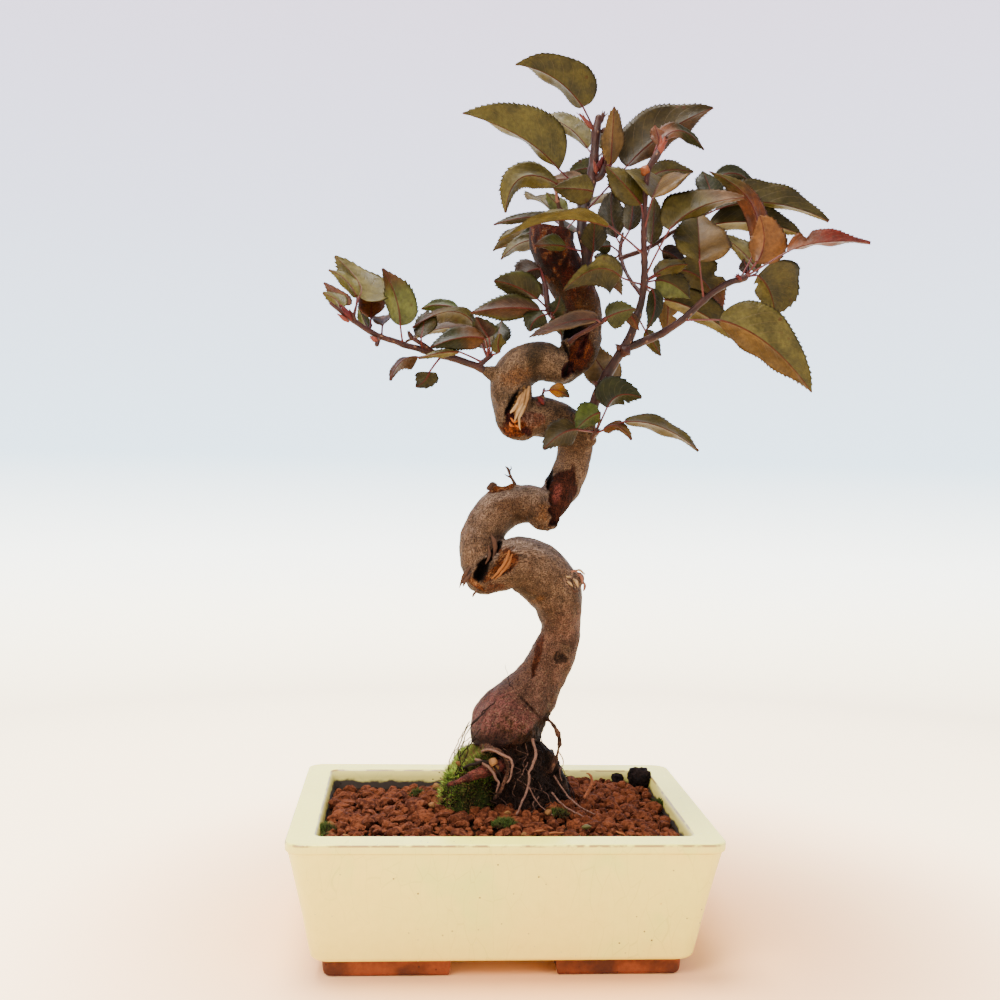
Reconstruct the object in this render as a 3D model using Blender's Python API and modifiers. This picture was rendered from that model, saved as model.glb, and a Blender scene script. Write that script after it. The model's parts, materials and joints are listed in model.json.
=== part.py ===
# A trained apple bonsai in a glazed oblong pot. Everything below is given in millimetres in the
# pot's own frame: X along the pot, Y away from the front, Z up from the underside of the feet.
# The finished meshes are in metres, with the middle of the underside of the whole thing at the origin.

import math
import random

import bmesh
import bpy
import numpy as np
from mathutils import Vector

MM = 0.001
GAP = 0.3  # clearance between neighbouring solids

# The pot: one fired piece on four corner feet, open at the top, with two drain holes.
POT_LENGTH = 180.0
POT_DEPTH = 130.0
POT_HEIGHT = 60.0
POT_TAPER = 10.0  # how far each wall draws in towards the bottom
HOLLOW_TAPER = 7.5  # how far the hollow draws in towards its floor
BOTTOM_ROUND = 2.5
FOOT_HEIGHT = 8.0
FOOT_LENGTH = 53.0
FOOT_RETURN = 38.0
FOOT_BAR = 12.0
FOOT_INSET = 5.0
LIP_HEIGHT = 3.6
LIP_PROUD = 0.9
RIM_WIDTH = 12.0
FLOOR_TOP = 14.0
RIM_ROUND = 0.8
CORNER_RADIUS = 7.0
INNER_CORNER = 4.0
FOOT_BEVEL = 3.0
DRAIN_RADIUS = 8.0
DRAIN_OFFSET = 42.0
SCREEN_SIDE = 26.0
SCREEN_THICK = 1.2
SCREEN_BAR = 4.0

# The soil: a plain fill, and a topping of clay granules heaped round the stem.
FILL_TOP = 46.0
TOPPING_LEVEL = 56.0
HEAP = 6.0
GRANULE = 8.2
GRANULE_RISE = 2.3
STEM_FOOT = (12.0, 2.0)  # where the root mass stands
HOLE_RADIUS = 22.0
HOLE_BOTTOM = 34.0
WALL_GAP = 0.5  # between the soil and the pot's walls
BED_LEVEL = 56.0  # flat beds in the topping under the moss and the peat lumps

# The moss, banked against the left of the root mass, and the two lumps of peat.
MOSS_CENTRE = (-14.0, -10.0)
MOSS_RADII = (14.0, 17.0)
MOSS_RISE = 29.0
MOSS_UNDER_ROOT = 70.0  # the moss stays this low in front of the thick root
PEAT = {
    "peat_lump_large": ((71.0, 44.0), (6.5, 6.0), 8.0),
    "peat_lump_small": ((60.0, 47.0), (3.6, 3.4), 5.0),
}

# The trunk, in five lengths that double back on each other: x, y, z, radius.
TRUNK_RUNS = [
    [(3, 0, 84, 13.5), (3, 0, 91, 16.5), (6, 1, 98, 16.4), (12, 3, 105.5, 13.7), (18.5, 5, 115, 10.9),
     (25, 6, 127, 10), (27.5, 5, 139, 9), (25, 3, 152, 11.8), (17, 1, 163, 13.2), (6, -3, 168, 11.8),
     (-4, -5, 165, 10), (-9, -5, 162, 8.6)],
    [(-9, -3, 163, 8.6), (-11, -1, 173, 9.2), (-9, 2, 182, 9.4), (-2, 4, 191, 9.8), (6, 4, 194, 8.8),
     (14, 1, 194, 8.6), (18, -2, 190, 7.6)],
    [(18, 2, 190, 6), (23, 5, 197, 8), (29, 9, 206, 8.1), (32, 10, 216, 8), (32, 8, 225, 8.7),
     (26, 5, 231, 9), (15, 1, 234, 9), (6, -3, 231, 8)],
    [(4, -4, 231, 8), (2, -3, 240, 9), (2, -1, 250, 9.2), (7, 0, 257, 9), (15, 0, 259, 8.8),
     (23, -2, 256, 7.4)],
    [(26, 4, 255, 6), (33, 7, 264, 8.6), (34, 8, 275, 9.5), (33, 8, 285, 9.5), (28, 6, 295, 9.8),
     (22, 4, 304, 10), (18.5, 2, 312, 10.2), (20, 2, 319, 10.2)],
]
ROOT_MASS = [(3, 1, 90, 13), (7, 2, 80, 16), (11, 2, 69, 19), (12, 2, 60, 20.5), (12, 2, 48, 19),
             (12, 2, 38, 16)]
# Roots on the surface of the root mass: x, y, z, radius.
ROOTS = [
    [(16, -2, 100, 2), (23, -5, 97, 1.3), (27, -8, 91, 1.2), (26, -10, 84, 1.2), (22, -12, 76, 1.6)],
    [(13, -8, 98, 2), (16, -15, 93, 1.3), (13, -18, 85, 1.3), (10, -19, 76, 1.4), (6, -22, 68, 1.5)],
    [(-7, -9, 85, 2.4), (-5, -16, 86, 2), (1, -20, 85, 1.9), (2, -21, 78, 1.9), (0, -22, 72, 2),
     (-3, -23, 67, 2.2)],
    [(4, -8, 79, 3.4), (-6, -17, 78, 3), (-15, -23, 76.5, 2.5), (-24, -27, 74, 1.9)],
    [(14, 8, 88, 3), (22, 14, 78, 2.6), (26, 15, 68, 2.4), (24, 12, 60, 2.6)],
    [(0, 8, 90, 3), (-6, 12, 80, 2.6), (-6, 14, 69, 2.4), (-2, 12, 60, 2.6)],
    [(22, -4, 82, 3), (27, -7, 73, 2.4), (28, -8, 65, 2.6)],
    [(10, 12, 84, 2.6), (10, 19, 74, 2.2), (10, 20, 64, 2.6)],
]
MOSS_ROOTS = (2, 3, 5)  # the roots that lie in or over the moss
# Where wood was torn or cut away: centre and half sizes of each scoop.
SCOOPS = [
    ((-1, -17, 164), (5.5, 4, 9)),
    ((-10.5, -12, 160), (3.6, 7, 4.6)),
    ((6, -12.5, 240), (4.6, 5, 9)),
    ((30, -4, 277), (8, 5, 6.5)),
    ((28, -1, 203), (3.2, 5, 9)),
]
# Old cut stubs: route and radius.
STUBS = [
    [(28, 3, 158, 5), (35, 1, 161, 3.6)],
    [(-4, 4, 196, 4.6), (-3.5, 3, 202, 3.6)],
    [(3, 3, 198, 3), (3.5, 3, 204.5, 2.6)],
    [(3, 3, 203, 1.3), (1.5, 3, 209, 0.8)],
    [(25, 5, 312, 2.4), (24, 5, 322, 1.9), (22, 6, 335, 1.7)],
]

# Each leafy shoot's wood: where in the trunk it starts, and its woody runs of x, y, z, radius.
SHOOTS = {
    "shoot_left_branch": dict(
        inner=(0, -2, 250),
        runs=[
            [(-9.5, -4.5, 253.5, 2.7), (-21, -7, 257.5, 2.5), (-36, -10, 261, 2.2), (-48, -12, 264, 2),
             (-60, -14, 268, 1.8), (-70, -16, 274, 1.7), (-78, -17, 280, 1.0)],
            [(-32, -9, 260, 1.7), (-42, -14, 266, 1.4)],
            [(-14, -6, 255, 1.8), (-8, -4, 260.5, 1.6)],
            [(-57, -13, 267, 1.6), (-58, -16, 263, 1.5)],
        ],
    ),
    "shoot_right_branch": dict(
        inner=(33, 5, 224),
        runs=[
            [(37, -3, 232, 3), (40, -4, 244, 2.8), (46, -5, 256, 2.7), (52, -6, 266, 2.6),
             (56, -7, 276, 2.2), (59, -9, 290, 2), (59, -11, 301, 1.8), (58, -12.5, 314, 1.6),
             (58, -13, 330, 1.5), (59, -14, 343, 1.5), (62, -14, 348.5, 2.1), (66, -14, 355, 1.1)],
            [(52, -6, 265, 2.4), (68, -7, 272, 2.1), (78, -8, 279, 1.9), (87, -8, 288, 1.8),
             (96, -8, 294.5, 1.8), (105, -8, 298, 1.6)],
            [(58, -9, 289, 1.6), (53, 0, 299, 1.4), (51, 7, 309, 1.7), (52, 9, 319, 1)],
            [(51, 6, 307, 1.5), (63, 8, 312, 1.3), (75, 10, 320, 1.2), (85, 12, 326, 1.1),
             (91, 13, 331, 1)],
        ],
    ),
    "shoot_crown_leader": dict(
        inner=(28, 4, 292),
        runs=[
            [(34, -6, 299.5, 2.6), (33.5, -6.5, 308, 2.5), (31.5, -4, 318, 2.4), (33, 2, 329, 2.3),
             (36, 5, 338, 2.2), (38, 8, 351, 2.1), (39, 10, 363, 2), (40, 11, 371, 1.8)],
            [(37, 6, 341, 1.2), (41, 5, 344, 1.7), (42.5, 5, 350, 0.8)],
        ],
    ),
    "shoot_left_crown": dict(
        inner=(30, 6, 275),
        runs=[
            [(20.5, -5, 277.5, 2), (17, -9, 281, 1.8), (15.5, -8, 290, 1.4), (13.5, -5, 298, 1.1)],
        ],
    ),
    "shoot_cross_twig": dict(
        inner=(31, 4, 264),
        runs=[
            [(26.5, -5.5, 267, 1.9), (32, -14, 271, 1.6), (39, -22, 275, 1.5)],
        ],
    ),
    "shoot_lower_spur": dict(
        inner=(33, 6, 223),
        runs=[
            [(38.5, -4.5, 224.5, 1.9), (39, -12, 227.5, 1.7)],
        ],
    ),
    "shoot_yellow_leaf": dict(
        inner=(15, 0, 235),
        runs=[
            [(15.5, -5, 243, 1.1), (16, -8, 246, 0.9)],
        ],
    ),
    "shoot_back_spur": dict(
        inner=(23, 6, 303),
        runs=[
            [(25.5, 17.5, 304, 2), (27, 26, 309, 1.8), (28, 33, 317, 1.4), (28, 38, 325, 1)],
        ],
    ),
}
# Each shoot's leaves. A leaf is six points: the foot of its stalk, the foot of its blade, the middle
# of its midrib, its tip, and its two edges abreast of the middle.
LEAVES = {
    "shoot_left_branch": [
        ((-72, -16, 275), (-74, -16, 278), (-76, -13, 282), (-82, -11, 285), (-74, -10, 285), (-78, -10, 280)),
        ((-72, -16, 276), (-73, -13, 280), (-76, -9, 285), (-82, -6, 290), (-71, -7, 285), (-79, -6, 284)),
        ((-68, -15, 275), (-66, -16, 283), (-67, -6, 291), (-78, 2, 303), (-54, -3, 291), (-74, -3, 290)),
        ((-67, -15, 275), (-67, -13, 283), (-72, -8, 291), (-80, -4, 296), (-70, -4, 294), (-74, -5, 289)),
        ((-61, -14, 269), (-61, -8, 275), (-61, -3, 282), (-61, 2, 291), (-67, -1, 284), (-55, 0, 285)),
        ((-47, -12, 263), (-48, -18, 271), (-50, -17, 283), (-56, -15, 296), (-42, -14, 285), (-55, -11, 282)),
        ((-60, -13, 268), (-62, -6, 270), (-64, -3, 274), (-67, 0, 281), (-67, 0, 275), (-62, 1, 276)),
        ((-56, -13, 267), (-56, -8, 272), (-56, 0, 275), (-56, 8, 278), (-61, -1, 276), (-51, -1, 278)),
        ((-38, -11, 262), (-39, -15, 266), (-38, -11, 272), (-37, -7, 279), (-42, -9, 273), (-32, -9, 275)),
        ((-9, -4, 259), (-15, -4, 273), (-26, -8, 279), (-43, -12, 271), (-21, -2, 282), (-29, -1, 275)),
        ((-9, -4, 260), (-22, 9, 282), (-31, 11, 284), (-39, 13, 282), (-31, 12, 287), (-32, 13, 281)),
        ((-9, -4, 259), (-15, 4, 271), (-28, 3, 273), (-46, 1, 266), (-28, 7, 277), (-28, 8, 271)),
        ((-9, -5, 260), (-11, -11, 267), (-22, -14, 267), (-35, -18, 262), (-24, -11, 272), (-21, -11, 262)),
        ((-32, -10, 261), (-40, -14, 258), (-47, -18, 256), (-52, -22, 247), (-50, -13, 256), (-45, -12, 253)),
        ((-11, -6, 257), (-22, -12, 261), (-31, -16, 260), (-40, -18, 257), (-30, -14, 262), (-31, -14, 258)),
        ((-30, -9, 258), (-35, -12, 252), (-37, -13, 248), (-41, -14, 245), (-41, -11, 251), (-32, -11, 247)),
        ((-6, -3, 260), (-6, 3, 266), (-4, 8, 271), (-2, 14, 278), (2, 9, 272), (-8, 11, 273)),
        ((-9, -4, 260), (-9, 1, 264), (-13, 4, 269), (-18, 7, 275), (-8, 6, 272), (-17, 6, 268)),
        ((-8, -5, 260), (-9, -7, 268), (-12, -8, 272), (-15, -9, 277), (-6, -6, 274), (-16, -6, 271)),
        ((-6, -4, 260), (-4, -8, 262), (-5, -8, 265), (-4, -7, 270), (-1, -6, 266), (-8, -6, 265)),
    ],
    "shoot_right_branch": [
        ((57, -12, 306), (41, -22, 316), (17, -27, 317), (-7, -29, 307), (19, -18, 323), (15, -36, 319)),
        ((58, -9, 293), (47, -18, 295), (35, -24, 297), (21, -27, 287), (40, -20, 304), (41, -19, 289)),
        ((61, -13, 343), (63, -12, 354), (74, -7, 362), (86, -3, 355), (72, -5, 366), (77, -2, 359)),
        ((61, -14, 344), (64, -13, 353), (63, -12, 358), (62, -10, 363), (60, -10, 359), (68, -8, 360)),
        ((58, -12, 316), (60, -19, 329), (64, -8, 336), (69, 5, 344), (51, -10, 344), (79, -10, 343)),
        ((57, -12, 319), (56, -15, 327), (49, -12, 336), (41, -8, 345), (55, -9, 341), (44, -9, 333)),
        ((58, -12, 323), (64, 5, 344), (73, 12, 349), (86, 18, 350), (73, 13, 354), (75, 16, 344)),
        ((60, -10, 303), (63, -3, 312), (65, 3, 323), (66, 8, 336), (70, 5, 325), (61, 5, 324)),
        ((62, -10, 296), (68, -18, 316), (82, -15, 327), (103, -10, 333), (75, -10, 335), (86, -7, 326)),
        ((62, -8, 292), (71, 5, 289), (89, 9, 284), (110, 13, 271), (95, 11, 291), (89, 15, 280)),
        ((63, -8, 295), (75, 1, 302), (90, 8, 298), (100, 14, 282), (99, 11, 304), (84, 11, 291)),
        ((61, -9, 295), (64, -7, 298), (71, -6, 302), (79, -8, 303), (71, -3, 306), (74, -2, 299)),
        ((62, -9, 294), (65, -4, 296), (73, -2, 295), (82, 0, 289), (78, 0, 300), (68, -4, 288)),
        ((62, -9, 293), (62, -13, 291), (63, -16, 282), (59, -18, 272), (67, -14, 284), (60, -12, 282)),
        ((63, -9, 293), (74, 11, 290), (75, 14, 283), (75, 17, 275), (80, 15, 284), (71, 16, 282)),
        ((60, -7, 279), (62, 0, 274), (66, 2, 269), (70, 3, 263), (69, 4, 271), (64, 4, 267)),
        ((45, -4, 253), (48, 6, 249), (44, 15, 259), (36, 22, 270), (51, 16, 263), (37, 19, 255)),
        ((47, 6, 310), (47, 9, 313), (44, 11, 313), (39, 13, 313), (44, 13, 316), (44, 13, 310)),
        ((47, 6, 309), (48, 10, 307), (44, 13, 308), (40, 15, 309), (44, 15, 311), (44, 15, 305)),
        ((50, 8, 313), (50, 12, 317), (48, 17, 328), (49, 24, 341), (42, 20, 330), (55, 20, 331)),
        ((51, 8, 314), (55, 9, 320), (57, 13, 330), (57, 18, 341), (53, 15, 330), (62, 16, 332)),
        ((84, 12, 326), (96, 14, 332), (122, 17, 337), (152, 20, 330), (125, 21, 348), (122, 25, 336)),
        ((84, 12, 325), (93, 15, 325), (116, 19, 328), (140, 24, 324), (121, 23, 338), (117, 26, 325)),
        ((83, 12, 326), (98, 28, 349), (110, 31, 353), (120, 34, 346), (112, 33, 357), (111, 34, 349)),
        ((83, 12, 326), (96, 20, 339), (95, 24, 345), (93, 28, 353), (89, 26, 347), (102, 26, 347)),
        ((71, 8, 311), (71, 12, 312), (78, 15, 310), (85, 18, 305), (80, 16, 314), (76, 16, 307)),
        ((86, -8, 288), (82, -17, 303), (84, -6, 314), (86, 8, 330), (72, -8, 317), (98, -8, 315)),
        ((103, -9, 296), (109, -4, 308), (110, 2, 332), (90, 3, 347), (104, 6, 334), (117, 5, 333)),
        ((105, -9, 297), (109, -10, 304), (113, -8, 314), (111, -7, 326), (107, -7, 315), (124, -5, 318)),
        ((106, -8, 299), (113, 0, 302), (107, 6, 312), (98, 12, 320), (111, 9, 317), (106, 9, 310)),
        ((104, -9, 298), (106, -6, 300), (106, -5, 303), (105, -4, 307), (108, -4, 303), (103, -4, 303)),
        ((104, -9, 296), (122, -13, 309), (138, -13, 314), (162, -10, 315), (140, -8, 321), (142, -4, 314)),
        ((105, -8, 297), (112, -3, 300), (119, 2, 294), (123, 5, 283), (135, 5, 300), (114, 4, 291)),
        ((77, -8, 278), (92, -15, 278), (113, -18, 268), (134, -17, 247), (122, -14, 280), (110, -11, 262)),
    ],
    "shoot_crown_leader": [
        ((38, 8, 364), (32, 5, 374), (18, 0, 385), (0, -7, 388), (28, 2, 395), (17, 9, 385)),
        ((36, 1, 335), (21, -2, 344), (3, -9, 356), (-23, -14, 364), (10, -7, 370), (3, 1, 357)),
        ((37, 8, 353), (36, 15, 358), (27, 20, 369), (15, 26, 375), (31, 23, 375), (26, 25, 368)),
        ((37, 4, 341), (22, 6, 339), (5, 7, 342), (-2, 8, 326), (-1, 9, 346), (9, 13, 339)),
        ((37, 5, 345), (35, 15, 344), (27, 20, 345), (18, 27, 345), (27, 22, 349), (26, 23, 341)),
        ((35, 0, 332), (36, -6, 334), (28, -10, 334), (17, -14, 333), (30, -7, 341), (28, -7, 328)),
        ((37, 6, 347), (41, 14, 349), (35, 20, 350), (28, 27, 349), (34, 22, 355), (37, 22, 344)),
        ((37, -1, 325), (53, 9, 349), (70, 10, 365), (93, 11, 378), (61, 13, 376), (77, 16, 363)),
        ((39, 7, 352), (45, 4, 348), (45, 1, 360), (45, -2, 373), (41, 5, 361), (51, 5, 363)),
        ((36, -7, 300), (36, -10, 306), (36, -11, 313), (36, -12, 320), (31, -9, 315), (42, -9, 316)),
        ((36, -2, 326), (23, 10, 325), (8, 11, 325), (-7, 11, 321), (9, 13, 328), (9, 15, 323)),
        ((34, -6, 307), (24, -13, 308), (17, -17, 308), (9, -19, 307), (16, -15, 313), (17, -14, 306)),
        ((36, 0, 328), (26, 8, 327), (22, 10, 331), (17, 13, 337), (25, 12, 334), (19, 12, 329)),
        ((39, 7, 351), (44, 17, 358), (50, 30, 367), (59, 42, 372), (44, 30, 371), (56, 30, 364)),
    ],
    "shoot_left_crown": [
        ((15, -6, 289), (13, -7, 299), (7, -10, 297), (3, -12, 293), (3, -7, 302), (10, -7, 294)),
        ((16, -9, 280), (12, -11, 285), (2, -14, 290), (-8, -15, 292), (6, -12, 297), (-2, -10, 287)),
        ((16, -6, 286), (15, -1, 288), (13, 2, 292), (11, 4, 296), (10, 3, 293), (16, 3, 293)),
        ((17, -10, 279), (13, -13, 280), (-2, -19, 280), (-18, -22, 277), (-2, -16, 286), (-4, -15, 275)),
        ((17, -9, 277), (15, -15, 278), (10, -17, 275), (8, -18, 270), (6, -15, 278), (15, -15, 272)),
        ((18, -9, 278), (18, -13, 279), (20, -15, 281), (21, -17, 286), (16, -13, 283), (24, -13, 279)),
        ((18, -9, 278), (18, -15, 277), (20, -16, 274), (22, -17, 269), (17, -15, 273), (24, -15, 275)),
    ],
    "shoot_cross_twig": [
        ((38, -21, 275), (36, -27, 275), (23, -27, 273), (7, -25, 267), (25, -24, 279), (20, -30, 267)),
        ((39, -22, 275), (40, -25, 276), (46, -23, 279), (54, -21, 281), (45, -21, 284), (47, -21, 273)),
        ((39, -22, 275), (50, -19, 279), (53, -18, 277), (56, -17, 272), (55, -17, 278), (51, -17, 275)),
    ],
    "shoot_lower_spur": [
        ((38, -11, 228), (43, -15, 238), (49, -13, 244), (59, -12, 243), (45, -11, 252), (52, -9, 240)),
        ((38, -11, 226), (50, -19, 232), (66, -22, 230), (82, -26, 220), (69, -15, 234), (68, -14, 227)),
        ((39, -11, 228), (41, -17, 228), (47, -20, 230), (53, -23, 224), (50, -17, 232), (46, -17, 228)),
        ((38, -12, 228), (40, -16, 236), (34, -18, 233), (29, -20, 228), (31, -15, 239), (37, -15, 230)),
        ((36, -12, 227), (30, -20, 228), (22, -24, 226), (14, -27, 219), (18, -22, 231), (25, -21, 221)),
    ],
    "shoot_yellow_leaf": [
        ((16, -7.5, 245), (17, -15, 245), (21, -17, 245), (26, -18, 242), (23, -15, 248), (21, -15, 242)),
    ],
    "shoot_back_spur": [
        ((27, 26, 309), (19, 23, 316), (7, 19, 315), (-3, 15, 306), (5, 21, 318), (8, 25, 312)),
        ((27, 27, 310), (19, 27, 321), (13, 27, 321), (6, 26, 319), (13, 28, 325), (12, 28, 316)),
        ((28, 33, 317), (20, 44, 322), (10, 53, 323), (-4, 62, 318), (3, 46, 326), (18, 60, 325)),
        ((28, 34, 318), (34, 46, 325), (38, 58, 329), (42, 72, 328), (28, 60, 334), (48, 55, 332)),
        ((28, 37, 324), (24, 45, 334), (19, 53, 341), (13, 62, 344), (11, 50, 345), (28, 57, 345)),
        ((27, 27, 310), (38, 38, 306), (48, 45, 304), (60, 53, 297), (45, 53, 309), (54, 37, 307)),
        ((28, 37, 323), (38, 44, 335), (47, 49, 341), (58, 54, 342), (43, 56, 345), (52, 41, 345)),
    ],
}
LEAF_THICK = 0.85
STALK_RADIUS = 0.62
LONG_BLADES = (25.0, 41.0)  # a blade longer than each of these gets one more pair of teeth

COLOURS = {
    "pot": ((0.72, 0.70, 0.55), 0.25),
    "screen": ((0.03, 0.03, 0.03), 0.5),
    "soil": ((0.03, 0.02, 0.015), 0.95),
    "granules": ((0.22, 0.07, 0.03), 0.9),
    "moss": ((0.08, 0.13, 0.02), 0.9),
    "peat": ((0.015, 0.012, 0.01), 0.95),
    "bark": ((0.16, 0.09, 0.06), 0.8),
    "leaf": ((0.12, 0.11, 0.03), 0.5),
}


def clear_scene():
    for item in list(bpy.data.objects):
        bpy.data.objects.remove(item, do_unlink=True)


def new_collection(name):
    made = bpy.data.collections.new(name)
    bpy.context.scene.collection.children.link(made)
    return made


def material(name):
    colour, roughness = COLOURS[name]
    made = bpy.data.materials.get(name) or bpy.data.materials.new(name)
    made.use_nodes = True
    shader = made.node_tree.nodes["Principled BSDF"]
    shader.inputs["Base Color"].default_value = (*colour, 1)
    shader.inputs["Roughness"].default_value = roughness
    shader.inputs["Metallic"].default_value = 0
    made.diffuse_color = (*colour, 1)
    return made


def mesh_object(name, points, faces, collection):
    """A mesh from points in millimetres."""
    mesh = bpy.data.meshes.new(name)
    mesh.from_pydata([tuple(p) for p in np.asarray(points) * MM], [], [tuple(f) for f in faces])
    made = bpy.data.objects.new(name, mesh)
    collection.objects.link(made)
    return made


def baked(item, name, collection):
    """The object's evaluated mesh as a new plain object, its doubles merged; the first one goes."""
    bpy.context.view_layer.update()
    evaluated = item.evaluated_get(bpy.context.evaluated_depsgraph_get())
    mesh = bpy.data.meshes.new_from_object(evaluated)
    mesh.transform(item.matrix_world)
    bpy.data.objects.remove(item, do_unlink=True)
    edit = bmesh.new()
    edit.from_mesh(mesh)
    bmesh.ops.remove_doubles(edit, verts=edit.verts, dist=0.0000001)
    bmesh.ops.recalc_face_normals(edit, faces=edit.faces)
    edit.to_mesh(mesh)
    edit.free()
    made = bpy.data.objects.new(name, mesh)
    collection.objects.link(made)
    return made


def tube(name, points, resolution, collection):
    """A round tube through (x, y, z, radius) points, with flat closed ends."""
    curve = bpy.data.curves.new(name, "CURVE")
    curve.dimensions = "3D"
    curve.bevel_depth = MM
    curve.bevel_resolution = resolution
    curve.use_fill_caps = True
    spline = curve.splines.new("POLY")
    spline.points.add(len(points) - 1)
    for point, (x, y, z, radius) in zip(spline.points, points):
        point.co = (x * MM, y * MM, z * MM, 1)
        point.radius = radius
    made = bpy.data.objects.new(name, curve)
    collection.objects.link(made)
    return baked(made, name, collection)


def eased(points, step):
    """Points read every step or so from a smooth curve through (x, y, z, radius) points."""
    rows = [np.array(p, float) for p in points]
    rows = [2 * rows[0] - rows[1]] + rows + [2 * rows[-1] - rows[-2]]
    out = []
    for a, b, c, d in zip(rows, rows[1:], rows[2:], rows[3:]):
        count = max(1, round(np.linalg.norm((c - b)[:3]) / step))
        for k in range(count):
            t = k / count
            out.append(0.5 * (2 * b + (c - a) * t + (2 * a - 5 * b + 4 * c - d) * t**2
                              + (3 * b - a - 3 * c + d) * t**3))
    out.append(rows[-2])
    return out


def round_start(points):
    """The run with its first end closed by a dome."""
    first = np.array(points[0], float)
    away = first[:3] - np.array(points[1], float)[:3]
    away /= np.linalg.norm(away)
    dome = []
    for reach, share in ((0.92, 0.35), (0.6, 0.78)):
        dome.append(np.array([*(first[:3] + away * first[3] * reach), first[3] * share]))
    return dome + list(points)


def joined(base, others, solver):
    """One Boolean union of the base with every object of a collection, which is then removed."""
    change = base.modifiers.new("join", "BOOLEAN")
    change.operation = "UNION"
    change.operand_type = "COLLECTION"
    change.collection = others
    change.solver = solver
    name = base.name
    home = base.users_collection[0]
    made = baked(base, name, home)
    for item in list(others.objects):
        bpy.data.objects.remove(item, do_unlink=True)
    bpy.data.collections.remove(others)
    made.name = name
    return made


def combined(item, other, operation):
    """The item changed by a Boolean with the other object, which is then removed."""
    other.hide_render = True
    other.display_type = "WIRE"
    change = item.modifiers.new("shape", "BOOLEAN")
    change.operation = operation
    change.object = other
    change.solver = "EXACT"
    name = item.name
    made = baked(item, name, item.users_collection[0])
    made.name = name
    bpy.data.objects.remove(other, do_unlink=True)
    return made


def cut(item, cutter):
    return combined(item, cutter, "DIFFERENCE")


def cylinder(name, centre, radius, low, high, collection, sides=24):
    edit = bmesh.new()
    bmesh.ops.create_cone(edit, cap_ends=True, segments=sides, radius1=radius * MM, radius2=radius * MM,
                          depth=(high - low) * MM)
    mesh = bpy.data.meshes.new(name)
    edit.to_mesh(mesh)
    edit.free()
    made = bpy.data.objects.new(name, mesh)
    made.location = (centre[0] * MM, centre[1] * MM, (low + high) / 2 * MM)
    collection.objects.link(made)
    return baked(made, name, collection)


def block(name, low, high, collection):
    edit = bmesh.new()
    bmesh.ops.create_cube(edit, size=1)
    for vert in edit.verts:
        vert.co = Vector([(low[i] if vert.co[i] < 0 else high[i]) * MM for i in range(3)])
    mesh = bpy.data.meshes.new(name)
    edit.to_mesh(mesh)
    edit.free()
    made = bpy.data.objects.new(name, mesh)
    collection.objects.link(made)
    return made


def rounded_ring(half_x, half_y, radius, z, per_corner=4):
    """Points round a rectangle with rounded corners, anticlockwise."""
    ring = []
    for turn, (sx, sy) in enumerate(((1, 1), (-1, 1), (-1, -1), (1, -1))):
        for k in range(per_corner + 1):
            angle = math.radians(90 * turn + 90 * k / per_corner)
            ring.append((sx * (half_x - radius) + radius * math.cos(angle),
                         sy * (half_y - radius) + radius * math.sin(angle), z))
    return ring


def loft(name, rings, collection):
    """Closed body through rings of equally many points, with its first and last ring filled."""
    count = len(rings[0])
    points = [p for ring in rings for p in ring]
    faces = [tuple(reversed(range(count)))]
    for level in range(len(rings) - 1):
        for k in range(count):
            a = level * count + k
            b = level * count + (k + 1) % count
            faces.append((a, b, b + count, a + count))
    faces.append(tuple(range(count * (len(rings) - 1), count * len(rings))))
    return mesh_object(name, points, faces, collection)


def inner_half(z):
    """Half length and half depth of the pot's hollow at height z."""
    share = (POT_HEIGHT - z) / (POT_HEIGHT - FLOOR_TOP)
    draw = HOLLOW_TAPER * share
    return POT_LENGTH / 2 - RIM_WIDTH - draw, POT_DEPTH / 2 - RIM_WIDTH - draw


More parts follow.
